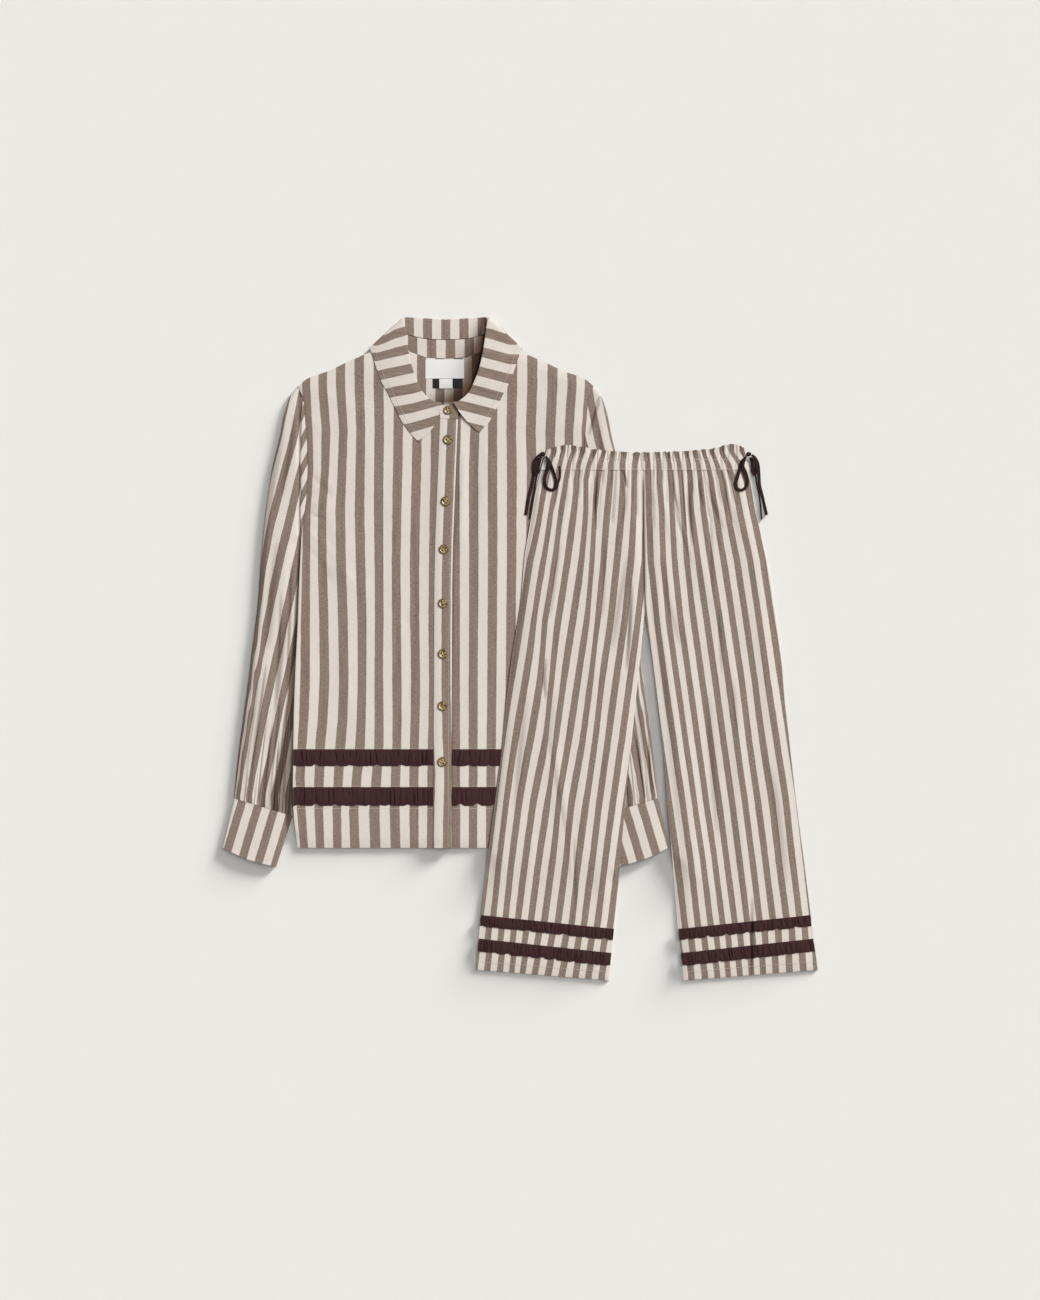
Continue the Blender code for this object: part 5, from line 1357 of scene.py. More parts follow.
def over_cuff(u, v):
    """Where a place is over the cuff: its distance in gathers' reaches, the fold lines' depth
    there, and how far it is towards the inner edge."""
    from_cuff = (1.0 - v) / GATHER_REACH
    lines = fold_lines(u - 0.035 * from_cuff, from_cuff, GATHER_LINES, 37, 0.0155)
    return from_cuff, lines, smooth((u - 0.45) / 0.25)


def sleeve_seen(u, v, x, y):
    """Height of a sleeve's upper face: a low crown that sinks beside the body and the armhole,
    gathers that fan up from the cuff, creases, and flatter where the trousers lie on it."""
    out = np.abs(x - SHIRT_X)
    left = x < SHIRT_X
    from_cuff, lines, inner = over_cuff(u, v)
    fan = (0.45 * pleats(u, 6, 38) * smooth(1.3 - from_cuff)
           - (1.5 + 2.0 * inner) * lines * smooth((1.55 - from_cuff) / 0.6))
    free = 0.75 + 0.25 * left
    soft = creases(out, y, sleeve_creases(not left.any()))
    soft = soft + 0.3 * waves(x, y, 21, 80.0, 0.2)
    inside = smooth(from_end(u) / 0.08)
    beside = np.interp(y, [165.0, 60.0, -60.0, -232.0], [5.0, 6.0, 9.0, 14.0])
    low = 3.0 * bell(out - side_edge(y), beside) * smooth((165.0 - y) / 20.0)
    above = smooth((y - 158.0) / 14.0)
    low = low + above * (1.2 * bell(np.clip(out - 204.0, 0.0, None), 9.0)
                         + 2.6 * bell(out - 206.2, 2.0) * left)
    z = rounded_rim(u, free * SLEEVE_RISE) + free * inside * (fan + 0.8 * soft - low)
    return np.maximum(z, 1.75)


def sleeve_numbers(x, y):
    """Stripe numbers of a sleeve; the right one is the left one's mirror image."""
    return stripe_number(SLEEVE_STRIPES, SHIRT_X - np.abs(x - SHIRT_X), y)


def tube_piece(name, node, rings, number, pitch, finish, flat, painted_shade=None):
    """A flattened tube of striped cloth from its rings."""
    places = cloth_map(number(rings[0][..., 0], rings[0][..., 1]), rings[0][..., 1], pitch)
    piece = add_tube(name, *rings, places, finish, painted_shade)
    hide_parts(node)
    min(area_of(rings[0], closed=True),
                                                   flat[0] * flat[1])


CUFF_SHIFT = {"left": -0.184, "right": 0.326}      # in stripes
# Height on the page, and how wide and how strong the painted shade beside the body is there
BODY_SHADE = ((-236.0, -203.0, -168.0, -133.0, -98.0, -70.0, 0.0, 70.0, 126.0, 160.0, 172.0),
              (30.0, 27.0, 22.0, 18.0, 14.5, 10.5, 6.5, 5.0, 3.5, 2.5, 2.0),
              (0.85, 0.88, 0.9, 0.9, 0.9, 0.9, 0.88, 0.86, 0.86, 0.8, 0.0))


def past_seam(seen):
    """How far places on a sleeve or cuff are outside the side seam."""
    return np.abs(seen[..., 0] - SHIRT_X) - side_edge(seen[..., 1])


def sleeve_painted_shade(seen, u, v, right):
    """Painted shade on each place of a sleeve: the shadow beside the body, which the gathers
    break up near the cuff, and shade in gathers and creases, beside some of the stripes, at the
    left one's outer edge, which turns away from the light, and in the right one's slits."""
    x, y = seen[..., 0], seen[..., 1]
    out, number = np.abs(x - SHIRT_X), sleeve_numbers(x, y)
    U, V = np.meshgrid(u, v)
    from_cuff, lines, inner = over_cuff(U, V)
    wide = np.interp(y, *BODY_SHADE[:2])
    beside = np.interp(y, *BODY_SHADE[::2]) * smooth((wide - past_seam(seen)) / 4.0 + 0.5)
    drawn_in = fold_lines(U - 0.05 * from_cuff, from_cuff / 1.4, 42, 43, 0.0085)
    beside = beside * (1.0 - smooth((1.5 - from_cuff) / 0.7) * (0.3 - 0.42 * drawn_in))
    lines = lines ** 1.5 * smooth((1.3 - from_cuff) / 0.6) * (0.65 + 0.3 * inner)
    leaning = 0.85 * np.maximum(stripe_edge_painted_shade(number, from_cuff, 39, 0.09),
                                stripe_edge_painted_shade(number + 0.54, from_cuff, 40, 0.09))
    if right:
        own = crease_painted_shade(out, y, SLEEVE_SLITS, 1.0)
    else:
        # painted shade on the left sleeve's outer edge, which turns away from the light
        own = 0.42 * smooth((0.11 - U) / 0.05) * smooth((330.0 - y) / 90.0)
    return np.maximum.reduce([beside, lines, leaning, own,
                              crease_painted_shade(out, y, sleeve_creases(right), 0.75)])


SLEEVE_ACROSS = np.concatenate([[0.0, 0.006, 0.018], np.linspace(0.035, 0.965, 104),
                                [0.982, 0.994, 1.0]])
SLEEVE_UNDER = np.linspace(0.02, 0.98, 18)


def make_sleeve(word, side):
    """One sleeve, from the armhole to the cuff's seam."""
    v = stretch((0.75, 110), (1.0, 60))
    rings = flat_tube(sleeve_plan(side), SLEEVE_ACROSS, SLEEVE_UNDER, v, floor_level, sleeve_seen)
    seen = rings[0][:, :len(SLEEVE_ACROSS)]
    deep = sleeve_painted_shade(seen, SLEEVE_ACROSS, v, side > 0)
    tube_piece(f"sleeve_{word}_cloth", f"sleeve_{word}", rings, sleeve_numbers, SHIRT_PITCH,
               SHIRTING, (0.23, 0.62), painted_shade=painted_fold_shade(seen, 2.6, 1.3, deep))


def make_cuff(word, side):
    """One cuff: a firm band with a row of stitches near each edge."""
    def numbers(x, y):
        """Stripe numbers of a cuff: even steps across it, in the cuff's own slanted direction."""
        out = np.abs(x - SHIRT_X)
        return ((out - 214.0) * 0.958 + (y + 232.0) * 0.285) / 23.25 + CUFF_SHIFT[word]

    def cuff_seen(a, b, x, y):
        """Height across a cuff: a low crown, drawn down along the two rows."""
        rows = 0.18 * (bell(b - 0.06, 0.03) + bell(b - 0.93, 0.03))
        soft = 0.18 * waves(x, y, 31, 50.0, 0.7) * smooth(from_end(a) / 0.1)
        return rounded_rim(a, CUFF_RISE) + soft - rows
    rings = flat_tube(cuff_plan(side), SLEEVE_ACROSS, SLEEVE_UNDER, np.linspace(0.0, 1.0, 34),
                      floor_level, cuff_seen)
    # painted shade on the cuff beside the body
    past = past_seam(rings[0][:, :len(SLEEVE_ACROSS)])
    tube_piece(f"cuff_{word}_cloth", f"cuff_{word}", rings, numbers, SHIRT_PITCH, SHIRTING,
               (0.20, 0.085), painted_shade=0.72 * smooth((12.0 - past) / 5.0 + 0.5))


for word, side in (("left", -1), ("right", 1)):
    make_sleeve(word, side)
    make_cuff(word, side)

# %% Fold beside the armhole
FOLD_OUT = 203.4           # how far out the fold's edge lies
FOLD_TOP, FOLD_LONG = 348.0, 182.0


def make_armhole_fold():
    """A narrow fold of the left sleeve's own cloth, which lies on the sleeve along the armhole
    seam: a strip with a rolled outer edge, whose stripes run aslant."""
    s = np.linspace(0.0, 1.0, 150)
    w = np.array([0.0, 0.06, 0.15, 0.3, 0.5, 0.7, 0.84, 0.93, 0.98, 1.0])
    y = FOLD_TOP - FOLD_LONG * s[:, None] + 0.0 * w
    seam = side_edge(y) + 0.3
    wide = (FOLD_OUT - seam) * (0.35 + 0.65 * smooth(s / 0.12) * smooth((1.0 - s) / 0.1))[:, None]
    wide = wide + 0.5 * np.sin(0.075 * y) + 0.35 * np.sin(0.19 * y + 1.0)
    x = SHIRT_X - seam - wide * w
    ease = (1.0 - w) ** 2 * 0.9
    z = 5.6 - ease - 1.3 * smooth((w - 0.8) / 0.2) ** 2 + 0.25 * waves(x, y, 17, 40.0, 1.2)
    upper = np.stack([x, y, z], axis=-1)
    places = cloth_map((297.9 + 2.14 * (x + 302.0) - y) / 38.5, y, SHIRT_PITCH)
    piece = add_cloth("armhole_fold_cloth", upper, lifted(upper, -THIN), places, SHIRTING)


make_armhole_fold()

# %% [markdown]
# ## Collar
# The stand is a narrow band round the neck, and its left end laps over the right one and carries
# the top button. The fall is sewn to the stand, rises to the fold and turns over it, so its two
# leaves lie on the fronts and its back part is tucked under the shirt. A table of stations round
# the neck gives both, and the fold is half a circle seen from the side.

# %% Stations round the neck
def towards(a, b, step):
    """Points a moved by step towards b."""
    d = b - a
    return a + step * d / np.linalg.norm(d, axis=-1, keepdims=True)


def inwards(points, step=0.7):
    """Points moved by step across the page, towards the shirt's centre line."""
    return points - np.stack([step * np.sign(points[:, 0] - SHIRT_X), 0.0 * points[:, 1]], axis=-1)


def collar_rows(left, step=0.125):
    """One half of the collar at stations a fraction of a table row apart, front end first: the
    neck seam runs straight between rows, and the rest follows smooth cubics through them."""
    table = np.array([np.concatenate([np.atleast_1d(c) for c in row])
                      for row in collar_table(left)], float)
    index = np.arange(len(table))
    at = np.arange(0.0, len(table) - 1.0 + 0.5 * step, step)
    slope = np.gradient(table, axis=0)
    k = np.minimum(at.astype(int), len(table) - 2)
    w = (at - k)[:, None]
    half = cubic(table, slope, k, w)
    for column in (0, 1):
        half[:, column] = np.interp(at, index, table[:, column])
    for column in (0, 2, 4, 6):
        half[:, column] = SHIRT_X + half[:, column] * (-1.0 if left else 1.0)
    return half


def faces_of(middle, thickness):
    """Upper and lower faces half a thickness either side of a surface, along its normals."""
    normal = np.cross(np.gradient(middle, axis=1), np.gradient(middle, axis=0))
    normal /= np.linalg.norm(normal, axis=-1, keepdims=True)
    return middle + 0.5 * thickness * normal, middle - 0.5 * thickness * normal

# %% Stand
COLLAR_CLOTH = 1.0         # a collar's two layers and their stiffener
TAB_CORNER = 7.0           # radius of the lapping end's upper corner


def make_stand(rows, middle):
    """The stand from its lapping left end, whose upper corner is rounded, to its right end."""
    neck, seam = rows[:, 0:2], rows[:, 2:4]
    base = collar_base(neck[:, 0], neck[:, 1])
    lower = np.column_stack([inwards(towards(neck, seam, 0.4)), rows[:, 8] + base])
    upper = np.column_stack([seam, rows[:, 9] + base])
    tab = SHIRT_X + TAB_REACH
    clear = np.minimum(upper[:, 0], lower[:, 0]) > tab + 0.8
    keep = (np.arange(len(rows)) <= middle) | clear
    lower, upper = lower[keep], upper[keep]
    reach = np.linspace(1.0, 0.0, 13)[:-1, None]
    lap_low, lap_high = (first + reach * (np.array([tab, first[1], first[2]]) - first)
                         for first in (lower[0], upper[0]))
    past = np.clip(lap_high[:, 0] - (tab - TAB_CORNER), 0.0, TAB_CORNER)
    lap_high[:, 1] -= TAB_CORNER - np.sqrt(TAB_CORNER ** 2 - past ** 2)
    lower, upper = np.concatenate([lap_low, lower]), np.concatenate([lap_high, upper])
    w = np.linspace(0.0, 1.0, 9)[None, :, None]
    surface = lower[:, None] * (1.0 - w) + upper[:, None] * w
    x, y = surface[..., 0], surface[..., 1]
    back_part = smooth((y - 346.0) / 8.0)
    number = back_part * (x + 97.1) / 26.4 + (1.0 - back_part) * (x + 92.3) / 25.5
    top, low = faces_of(surface, COLLAR_CLOTH)
    # painted shadow of the collar's right leaf inside the neck
    piece = add_cloth("collar_stand_cloth", top, low, cloth_map(number, y, SHIRT_PITCH), SHIRTING,
                      neck_painted_shadow(x, y))
    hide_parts("collar_stand")


left_rows, right_rows = collar_rows(True), collar_rows(False)
COLLAR_STATIONS = np.concatenate([left_rows, right_rows[-2::-1]])
make_stand(COLLAR_STATIONS, len(left_rows) - 1)

# %% Fall
# Middles of the dark stripes down each leaf, as (out, heights) from the tip upwards
LEFT_LEAF_STRIPES = [
    (95.9, (300, 328.4, 356.2, 384, 411.7, 431)),
    (71.8, (306.4, 334.5, 361.8, 389.2, 416.8, 442.2)),
    (47.7, (311.7, 338.5, 365.9, 394.3, 422.3, 449.4)),
    (23.6, (318.5, 345, 372.3, 400.4, 428.5, 455.9)),
    (7.5, (323.3, 349, 376.3, 404.4, 432.6, 459.9)),
]
RIGHT_LEAF_STRIPES = [
    (88.9, (297.6, 325.7, 351.9, 379.5, 407.3, 434.2)),
    (64.8, (304, 332.1, 357.7, 386, 413.3, 441.9)),
    (40.7, (310.1, 338.2, 363.9, 392.1, 419.7, 447)),
    (24.6, (314.4, 341.8, 368.3, 395.9, 423.7, 451)),
    (8.5, (318.5, 345, 373.1, 400.4, 427.7, 455.9)),
]


def fall_numbers(x, y, turn):
    """Stripe numbers of the fall: across the page at the back, and down the leaves in front,
    read from the leaves' own rows; the two are joined by how far the cloth is turned over."""
    out = np.abs(x - SHIRT_X)
    behind = (x - SHIRT_X) / (SHIRT_PITCH / MM)
    left = stripe_number(LEFT_LEAF_STRIPES, y, out) - 8.0
    right = 8.0 - stripe_number(RIGHT_LEAF_STRIPES, y, out)
    share = smooth(0.5 + 0.5 * turn)
    return share * np.where(x < SHIRT_X, left, right) + (1.0 - share) * behind


def make_fall(rows, left_count):
    """Stand seam, half circle over the fold, then out to the leaf's edge: in steps t along the
    way the height falls evenly from the fold to one layer over what the leaf lies on."""
    neck, seam, fold, edge = (rows[:, i:i + 2] for i in (0, 2, 4, 6))
    z_seam, z_fold, turn, bow = (rows[:, i] for i in (9, 10, 11, 12))
    base = collar_base(neck[:, 0], neck[:, 1])
    raised = np.where(np.arange(len(rows)) < left_count, 0.8, 2.2) * smooth(turn)
    z_seam, z_fold = z_seam + base, z_fold + base + raised
    r = COLLAR_RADIUS
    profile = [np.column_stack([inwards(towards(seam, fold, 0.8), 0.4), z_seam + 0.2])]
    for angle in np.radians(np.linspace(-90.0, 90.0, 9)):
        aim = seam if angle < 0.0 else edge
        xy = towards(fold, aim, r * (1.0 - math.cos(angle)) + 1e-6)
        profile.append(np.column_stack([xy, z_fold + turn * r * math.sin(angle)]))
    out = edge - fold
    across = np.stack([-out[:, 1], out[:, 0]], axis=-1)
    across /= np.linalg.norm(across, axis=-1, keepdims=True)
    across *= np.where(np.arange(len(rows)) < left_count, 1.0, -1.0)[:, None]
    over = smooth(0.5 + 0.5 * turn)
    for t in np.concatenate([np.linspace(0.1, 0.94, 18), [0.975, 1.0]]):
        xy = fold + t * out + across * (bow * 4.0 * t * (1.0 - t))[:, None]
        on_front = shirt_top(xy[:, 0], xy[:, 1]) + SEAM + 0.5 * WALL + 0.3
        on_front = on_front - 0.45 * math.exp(-((1.0 - t) / 0.03) ** 2)
        tucked = 0.5 * COLLAR_CLOTH + 0.02
        level = on_front * over + tucked * (1.0 - over)
        from_fold = (z_fold + turn * r) * (1.0 - t) + level * t
        puff = 0.7 * over * math.sin(math.pi * t) ** 2
        z = np.where(turn > 0.5, np.maximum(from_fold, on_front), from_fold) + puff
        profile.append(np.column_stack([xy, z]))
    surface = np.stack(profile, axis=1)
    top, low = faces_of(surface, COLLAR_CLOTH)
    x, y = surface[..., 0], surface[..., 1]
    number = fall_numbers(x, y, turn[:, None])
    # painted shadow of the right leaf, on the fall's back part only
    piece = add_cloth("collar_fall_cloth", top, low, cloth_map(number, y, SHIRT_PITCH), SHIRTING,
                      neck_painted_shadow(x, y) * (1.0 - over)[:, None]
                      * smooth((np.interp(y, *LEAF_EDGE) - x) / 1.2))
    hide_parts("collar_fall")
    return surface


FALL = make_fall(COLLAR_STATIONS, len(left_rows))

# %% [markdown]
# ## Labels
# A satin label and two small tabs are sewn inside the back of the neck. They are bare.

# %% Labels
TAGS = {
    # name: (middle x, width, top y, foot y, layers under it, finish)
    "neck_label": (-105.0, 54.0, 407.4, 380.6, 0, LABEL_SATIN),
    "dark_tab": (-100.8, 42.0, 380.1, 367.0, 0, TAB_SATIN),
    "size_tab": (-103.4, 18.5, 380.0, 366.6, 1, LABEL_SATIN),
}


def make_tag(name, middle, width, top, foot, layer, finish):
    """A flat tape that lifts a little between its sewn corners."""
    w, h = np.linspace(-0.5, 0.5, 25), np.linspace(0.0, 1.0, 13)
    W, H = np.meshgrid(w, h)
    x, y = middle + width * W, top + (foot - top) * H
    lift = 0.35 * np.cos(math.pi * W) * np.sin(math.pi * H) + 0.1 * waves(x, y, 41, 20.0, 0.0)
    z = collar_base(x, y) + (layer + 1) * PLY - layer * 0.2 + lift
    upper = np.stack([x, y, z + 0.5], axis=-1)
    # painted shadow of the right leaf, half as strong on the tapes
    piece = add_cloth(f"{name}_tape", upper, lifted(upper, -0.4), np.stack([x, y], axis=-1) * MM,
                      finish, 0.5 * neck_painted_shadow(x, y))
    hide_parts(name)


for tag, facts in TAGS.items():
    make_tag(tag, *facts)

# %% [markdown]
# ## Gathered ruffles
# A strip about a quarter longer than its place is drawn up on a thread and sewn down along one
# edge, so it stands in uneven pleats at the free edge. One wave drawn with cos would look like a
# machine part: here flat stretches lie between narrow fold lines, which crowd and spread, lean,
# start at the seam and end at different depths.

# %% Ruffles
RUFFLE_LINES = {"shirt": 30, "leg": 44}    # fold lines in one ruffle


def make_ruffle(name, node, plan, top, folds_count, rise, seed, flat, dip, join=None):
    """A ruffle on a panel: its height over the panel grows down the strip and falls in the fold
    lines, and its free edge wanders and draws back at each of them. A strip's two ends can meet
    at join, a place across the page."""
    u = np.linspace(0.0, 1.0, 330)
    w = np.array([0.0, 0.05, 0.13, 0.24, 0.36, 0.5, 0.64, 0.78, 0.9, 0.97, 1.0])
    U, W = np.meshgrid(u, w)
    wide = flat[0] / MM
    lines = fold_lines(U, W, folds_count, seed, 1.05 / wide)
    if join is not None:
        lines = np.maximum(lines, bell(plan(U, W)[..., 0] - join, 1.2))
    broad = pleats(U + 0.01 * W, folds_count // 4, seed + 9)
    xy = plan(U, W)
    wander = np.clip(waves(U * wide, 0.0 * W, seed, 34.0, 0.0), 0.0, 1.0)
    x, y = xy[..., 0], xy[..., 1] + dip * W ** 2 * (0.8 * lines + 2.6 * wander - 0.5)
    body = 0.7 * smooth(W / 0.15) + rise(x, y) * smooth(W / 0.5) * (0.25 + 0.75 * broad)
    lift = body * (1.0 - lines) * (1.0 - 0.8 * smooth((W - 0.72) / 0.28))
    z = top(x, y) + 0.15 + np.maximum(lift, 0.0) + THIN
    upper = np.stack([x, y, z], axis=-1)
    places = np.stack([U * flat[0], W * flat[1]], axis=-1)
    # painted shade in the fold lines
    piece = add_cloth(name, upper, lifted(upper, -0.6 * THIN), places, AUBERGINE,
                      # Cotton that has been pressed and laid down is never quite flat. A cloth
                      # simulation would move the panels away from their solids, so soft creases are
                      # placed as short bells along lines, and a few long, low waves in all
                      # directions keep the light alive between them.
                      0.9 * lines ** 1.5)
    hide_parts(node)


for word, y_top, depth in SHIRT_RUFFLES:
    for number, (side_word, side) in enumerate((("left", -1), ("right", 1))):
        near = placket_edge(y_top) + 0.6 if side < 0 else PLACKET_WIDTH - 15.6

        def across_front(U, W, side=side, near=near, y_top=y_top, depth=depth):
            """From the side seam to the placket, and down by the depth."""
            out = 213.0 + (near - 213.0) * U
            return np.stack([SHIRT_X + side * out, y_top - depth * W], axis=-1)
        make_ruffle(f"ruffle_{word}_{side_word}_cloth", f"ruffle_{word}_{side_word}", across_front,
                    lambda x, y, s=side: front_seen(x, y, s < 0), RUFFLE_LINES["shirt"],
                    lambda x, y: 0.5 + 1.3 * pressed(x, y), 60 + number + (word == "lower") * 7,
                    (0.255, (depth + 1.0) * MM), 1.3)

# %% [markdown]
# ## Trousers
# Each leg has a front and a back panel. The fronts carry the long folds that fall from the
# gathered waist. Close under the waist the gathers of the casing run on into the cloth and fade
# out within a hand's breadth.

# %% Gathers of the waist
def leg_plan(table):
    """Plan of a leg from its outer edge to its inner one, the waist seam to the hem."""
    def edge(column, stretch):
        def at(v):
            down = np.asarray(v) * LEG_LENGTH
            return np.stack([leg_edge(table, down, column), WAIST_Y - down * stretch], axis=-1)
        return at
    outer, inner = edge(1, 1.0), edge(2, INSIDE_STRETCH)

    def between(t, v):
        return (1 - t)[:, None] * outer(np.array([v])) + t[:, None] * inner(np.array([v]))
    return patch(lambda t: between(t, 0.0), lambda t: between(t, 1.0), outer, inner)


WAIST_LEFT, WAIST_WIDE = 29.0, 293.0       # of the sewn edge
WAIST_PLEATS, WAIST_LINES = 30, 38         # broad gathers, and fold lines between them
LEG_MIDDLE = 173.0
LET_IN_SHIFT = {"left": 0.231, "right": -0.338}      # in stripes


def waist_gathers(x):
    """Profile of the waist's gathers from 0 in the narrow valleys to 1 on the crowns."""
    return pleats((x - WAIST_LEFT) / WAIST_WIDE, WAIST_PLEATS, 71)


TROUSER_CREASES = [
    # places along the crease, half width, height
    ([(110, 260), (108.9, 250), (106.4, 228), (104.8, 205), (106.1, 168.4)], 1.6, -2),
    ([(235.5, 236), (236.5, 205), (241, 146)], 2.6, -1.9),
    ([(214, 240), (216, 220), (222, 190)], 2.2, -1.4),
    ([(250, 240), (252, 224), (256, 200)], 2.2, -1.4),
    ([(48, -58), (41, -127), (50.8, -186), (64.8, -256), (72, -330)], 4.2, -0.7),
    ([(325, -345), (324, -400), (324.5, -475)], 2.2, -1.7),
    ([(57, -60), (50, -127), (59.8, -186), (73.8, -256), (81, -330)], 5.9, 0.4),
    ([(36, -10), (33, -40), (36, -70)], 2.9, -1.5),
    ([(-10, 50), (-13, 20), (-10, -10)], 2.9, -1.4),
    ([(156, 95), (153, 30), (149, -30)], 3, -2),
    ([(118, 150), (117, 95), (114, 45)], 2.6, -1),
    ([(56, 150), (50, 110), (42, 45)], 2.6, -1),
    ([(75, -262), (77, -310), (78, -365)], 2.4, -1.1),
    ([(208, 242), (222, 180), (240, 118)], 2.4, -0.9),
    ([(267, 185), (268, 130), (270, 66)], 2.6, -0.9),
    ([(277, 62), (279, 20), (282, -32)], 2.6, -0.8),
    ([(297, -46), (300, -80), (303, -112)], 2.6, -0.7),
    ([(287, 243), (288, 215), (289, 188)], 2.2, -1.1),
    ([(182, -20), (188, -60), (194, -110)], 3.6, -1.2),
    ([(108, 236), (106, 214), (104, 190)], 2.9, -1.4),
    ([(144.5, 250), (147, 242), (149, 226)], 1.8, -2.2),
    ([(149, 226), (147, 204), (142, 176)], 2.9, -0.9),
    ([(74, 236), (68, 206), (58, 166)], 4.5, 0.9),
    ([(60, 150), (44, 88), (38, 20)], 7.2, 0.8),
    ([(150, 130), (138, 66), (128, 0)], 5, -0.9),
    ([(92, -150), (84, -220), (90, -300)], 7.2, 0.8),
    ([(8, -60), (0, -140), (-8, -230)], 5.8, -0.9),
    ([(20, -260), (12, -320), (6, -370)], 6.3, 0.8),
    ([(200, 236), (204, 200), (214, 150)], 4.5, 0.9),
    ([(262, 238), (270, 206), (284, 168)], 3.6, -1.2),
    ([(292, 238), (300, 200), (318, 150)], 5.4, 1),
    ([(196, 130), (206, 70), (224, 6)], 5, -0.8),
    ([(330, 60), (344, -20), (352, -110)], 8.1, 0.8),
    ([(262, -60), (268, -150), (276, -260)], 5.8, -0.9),
    ([(236, -160), (244, -240), (250, -330)], 7.2, 0.8),
    ([(350, -160), (362, -240), (372, -330)], 5.8, -0.8),
]
DRAPE_RAMP = 78.0          # run over which the cloth between a leg's edges comes to the floor


def draped_base(x, y, u):
    """Underside of a trouser front: as the solid's at its two edges, and between them stretched
    from the shirt down to the floor in one long slope."""
    slope = PILE_HEIGHT * (1.0 - smooth((past_shirt(x, y) - 1.0) / DRAPE_RAMP))
    inside = smooth((from_end(u) - 0.015) / 0.12)
    return trouser_base(x, y) * (1.0 - inside) + slope * inside


def under_waist(x, y):
    """Distance below the waist, and the place across it that a gather at (x, y) starts from."""
    down = np.clip(WAIST_Y - y, 0.0, None)
    return down, x + 0.16 * down * (LEG_MIDDLE - x) / 150.0


def waist_lines(down, aslant):
    """Fold lines that run down from the waist seam, from 0 to 1."""
    return fold_lines((aslant - WAIST_LEFT) / WAIST_WIDE, down / 58.0, WAIST_LINES, 77, 0.0066)


def leg_seen(x, y, u, v):
    """Upper face of a trouser front: the solid's, with gathers that fade below the waist,
    creases, and low waves."""
    down, aslant = under_waist(x, y)
    reach = 16.0 + 52.0 * (0.5 + 0.5 * np.sin(0.061 * x + 0.8)) ** 2
    drawn = 1.25 * waist_gathers(aslant) * np.exp(-down / reach)
    drawn = drawn - 1.6 * waist_lines(down, aslant)
    drawn = drawn * smooth(from_end(u) / 0.03)
    inside = smooth(from_end(u) / 0.06) * smooth((1.0 - v) / 0.03)
    soft = (CREASE_GAIN * creases(x, y, TROUSER_CREASES) + 0.4 * waves(x, y, 81, 110.0, 0.1)
            + 0.08 * waves(x, y, 82, 26.0, 0.3))
    base = draped_base(x, y, u) + PLY + WALL
    return base + trouser_loft(x, y, u, v) + drawn + inside * soft


def leg_numbers(x, y):
    """Stripe numbers of both legs: each reads its own rows, either side of the middle seam."""
    left = stripe_number(LEFT_LEG_STRIPES, x, y)
    right = stripe_number(RIGHT_LEG_STRIPES, x, y)
    return np.where(x < LEG_MIDDLE, left, right + 11.0)

# %% Legs
def leg_painted_shade(x, y, inner):
    """Painted shade on a point of a leg's front: in its creases, in the fold lines under
    the waist, beside some of the stripes there, and beside the middle seam down to the fork."""
    down, aslant = under_waist(x, y)
    lines = waist_lines(down, aslant) ** 4
    edges = stripe_edge_painted_shade(leg_numbers(x, y), down / 62.0, 78, 0.085)
    seam = bell(inner, 1.7) * smooth((y - 30.0) / 60.0) * smooth((258.0 - y) / 40.0)
    return np.maximum.reduce([crease_painted_shade(x, y, TROUSER_CREASES, 0.75), 0.4 * lines,
                               0.8 * edges, 0.85 * seam])


def leg_place(table, down, share):
    """Place on the page at a distance down a leg's outer edge and a share of the way across."""
    x = (1.0 - share) * leg_edge(table, down, 1) + share * leg_edge(table, down, 2)
    return x, WAIST_Y - down * (1.0 + (INSIDE_STRETCH - 1.0) * share)


def share_across(x, y, table):
    """A place's share of the way from a leg's outer edge to its inner one."""
    down = (WAIST_Y - y) / INSIDE_STRETCH
    outer, inner = leg_edge(table, down, 1), leg_edge(table, down, 2)
    return np.clip((x - outer) / (inner - outer), 0.0, 1.0)


def between_ruffles(x, y, table):
    """1 between a leg's two ruffles and 0 above and below: each step is hidden under one."""
    u = share_across(x, y, table)
    up = LEG_LENGTH - (WAIST_Y - y) / (1.0 + (INSIDE_STRETCH - 1.0) * u)
    high, low = (top + (foot - top) * u - 0.5 * depth for _, top, foot, depth in LEG_RUFFLES)
    return smooth((high - up) / 3.0 + 0.5) * smooth((up - low) / 3.0 + 0.5)


def edge_drop(word, x, y, outer):
    """How far the left leg's outer edge comes down to the shirt under it: a bell of the distance
    from the edge, and nothing where the leg already lies on the floor."""
    on_shirt = (trouser_base(x, y) / PILE_HEIGHT) ** 2
    return (2.2 if word == "left" else 0.0) * on_shirt * bell(outer, 4.0)


def across_leg(xy):
    """Distance between a leg's two edges in each row of its plan."""
    return np.linalg.norm(xy[:, -1] - xy[:, 0], axis=-1)[:, None]


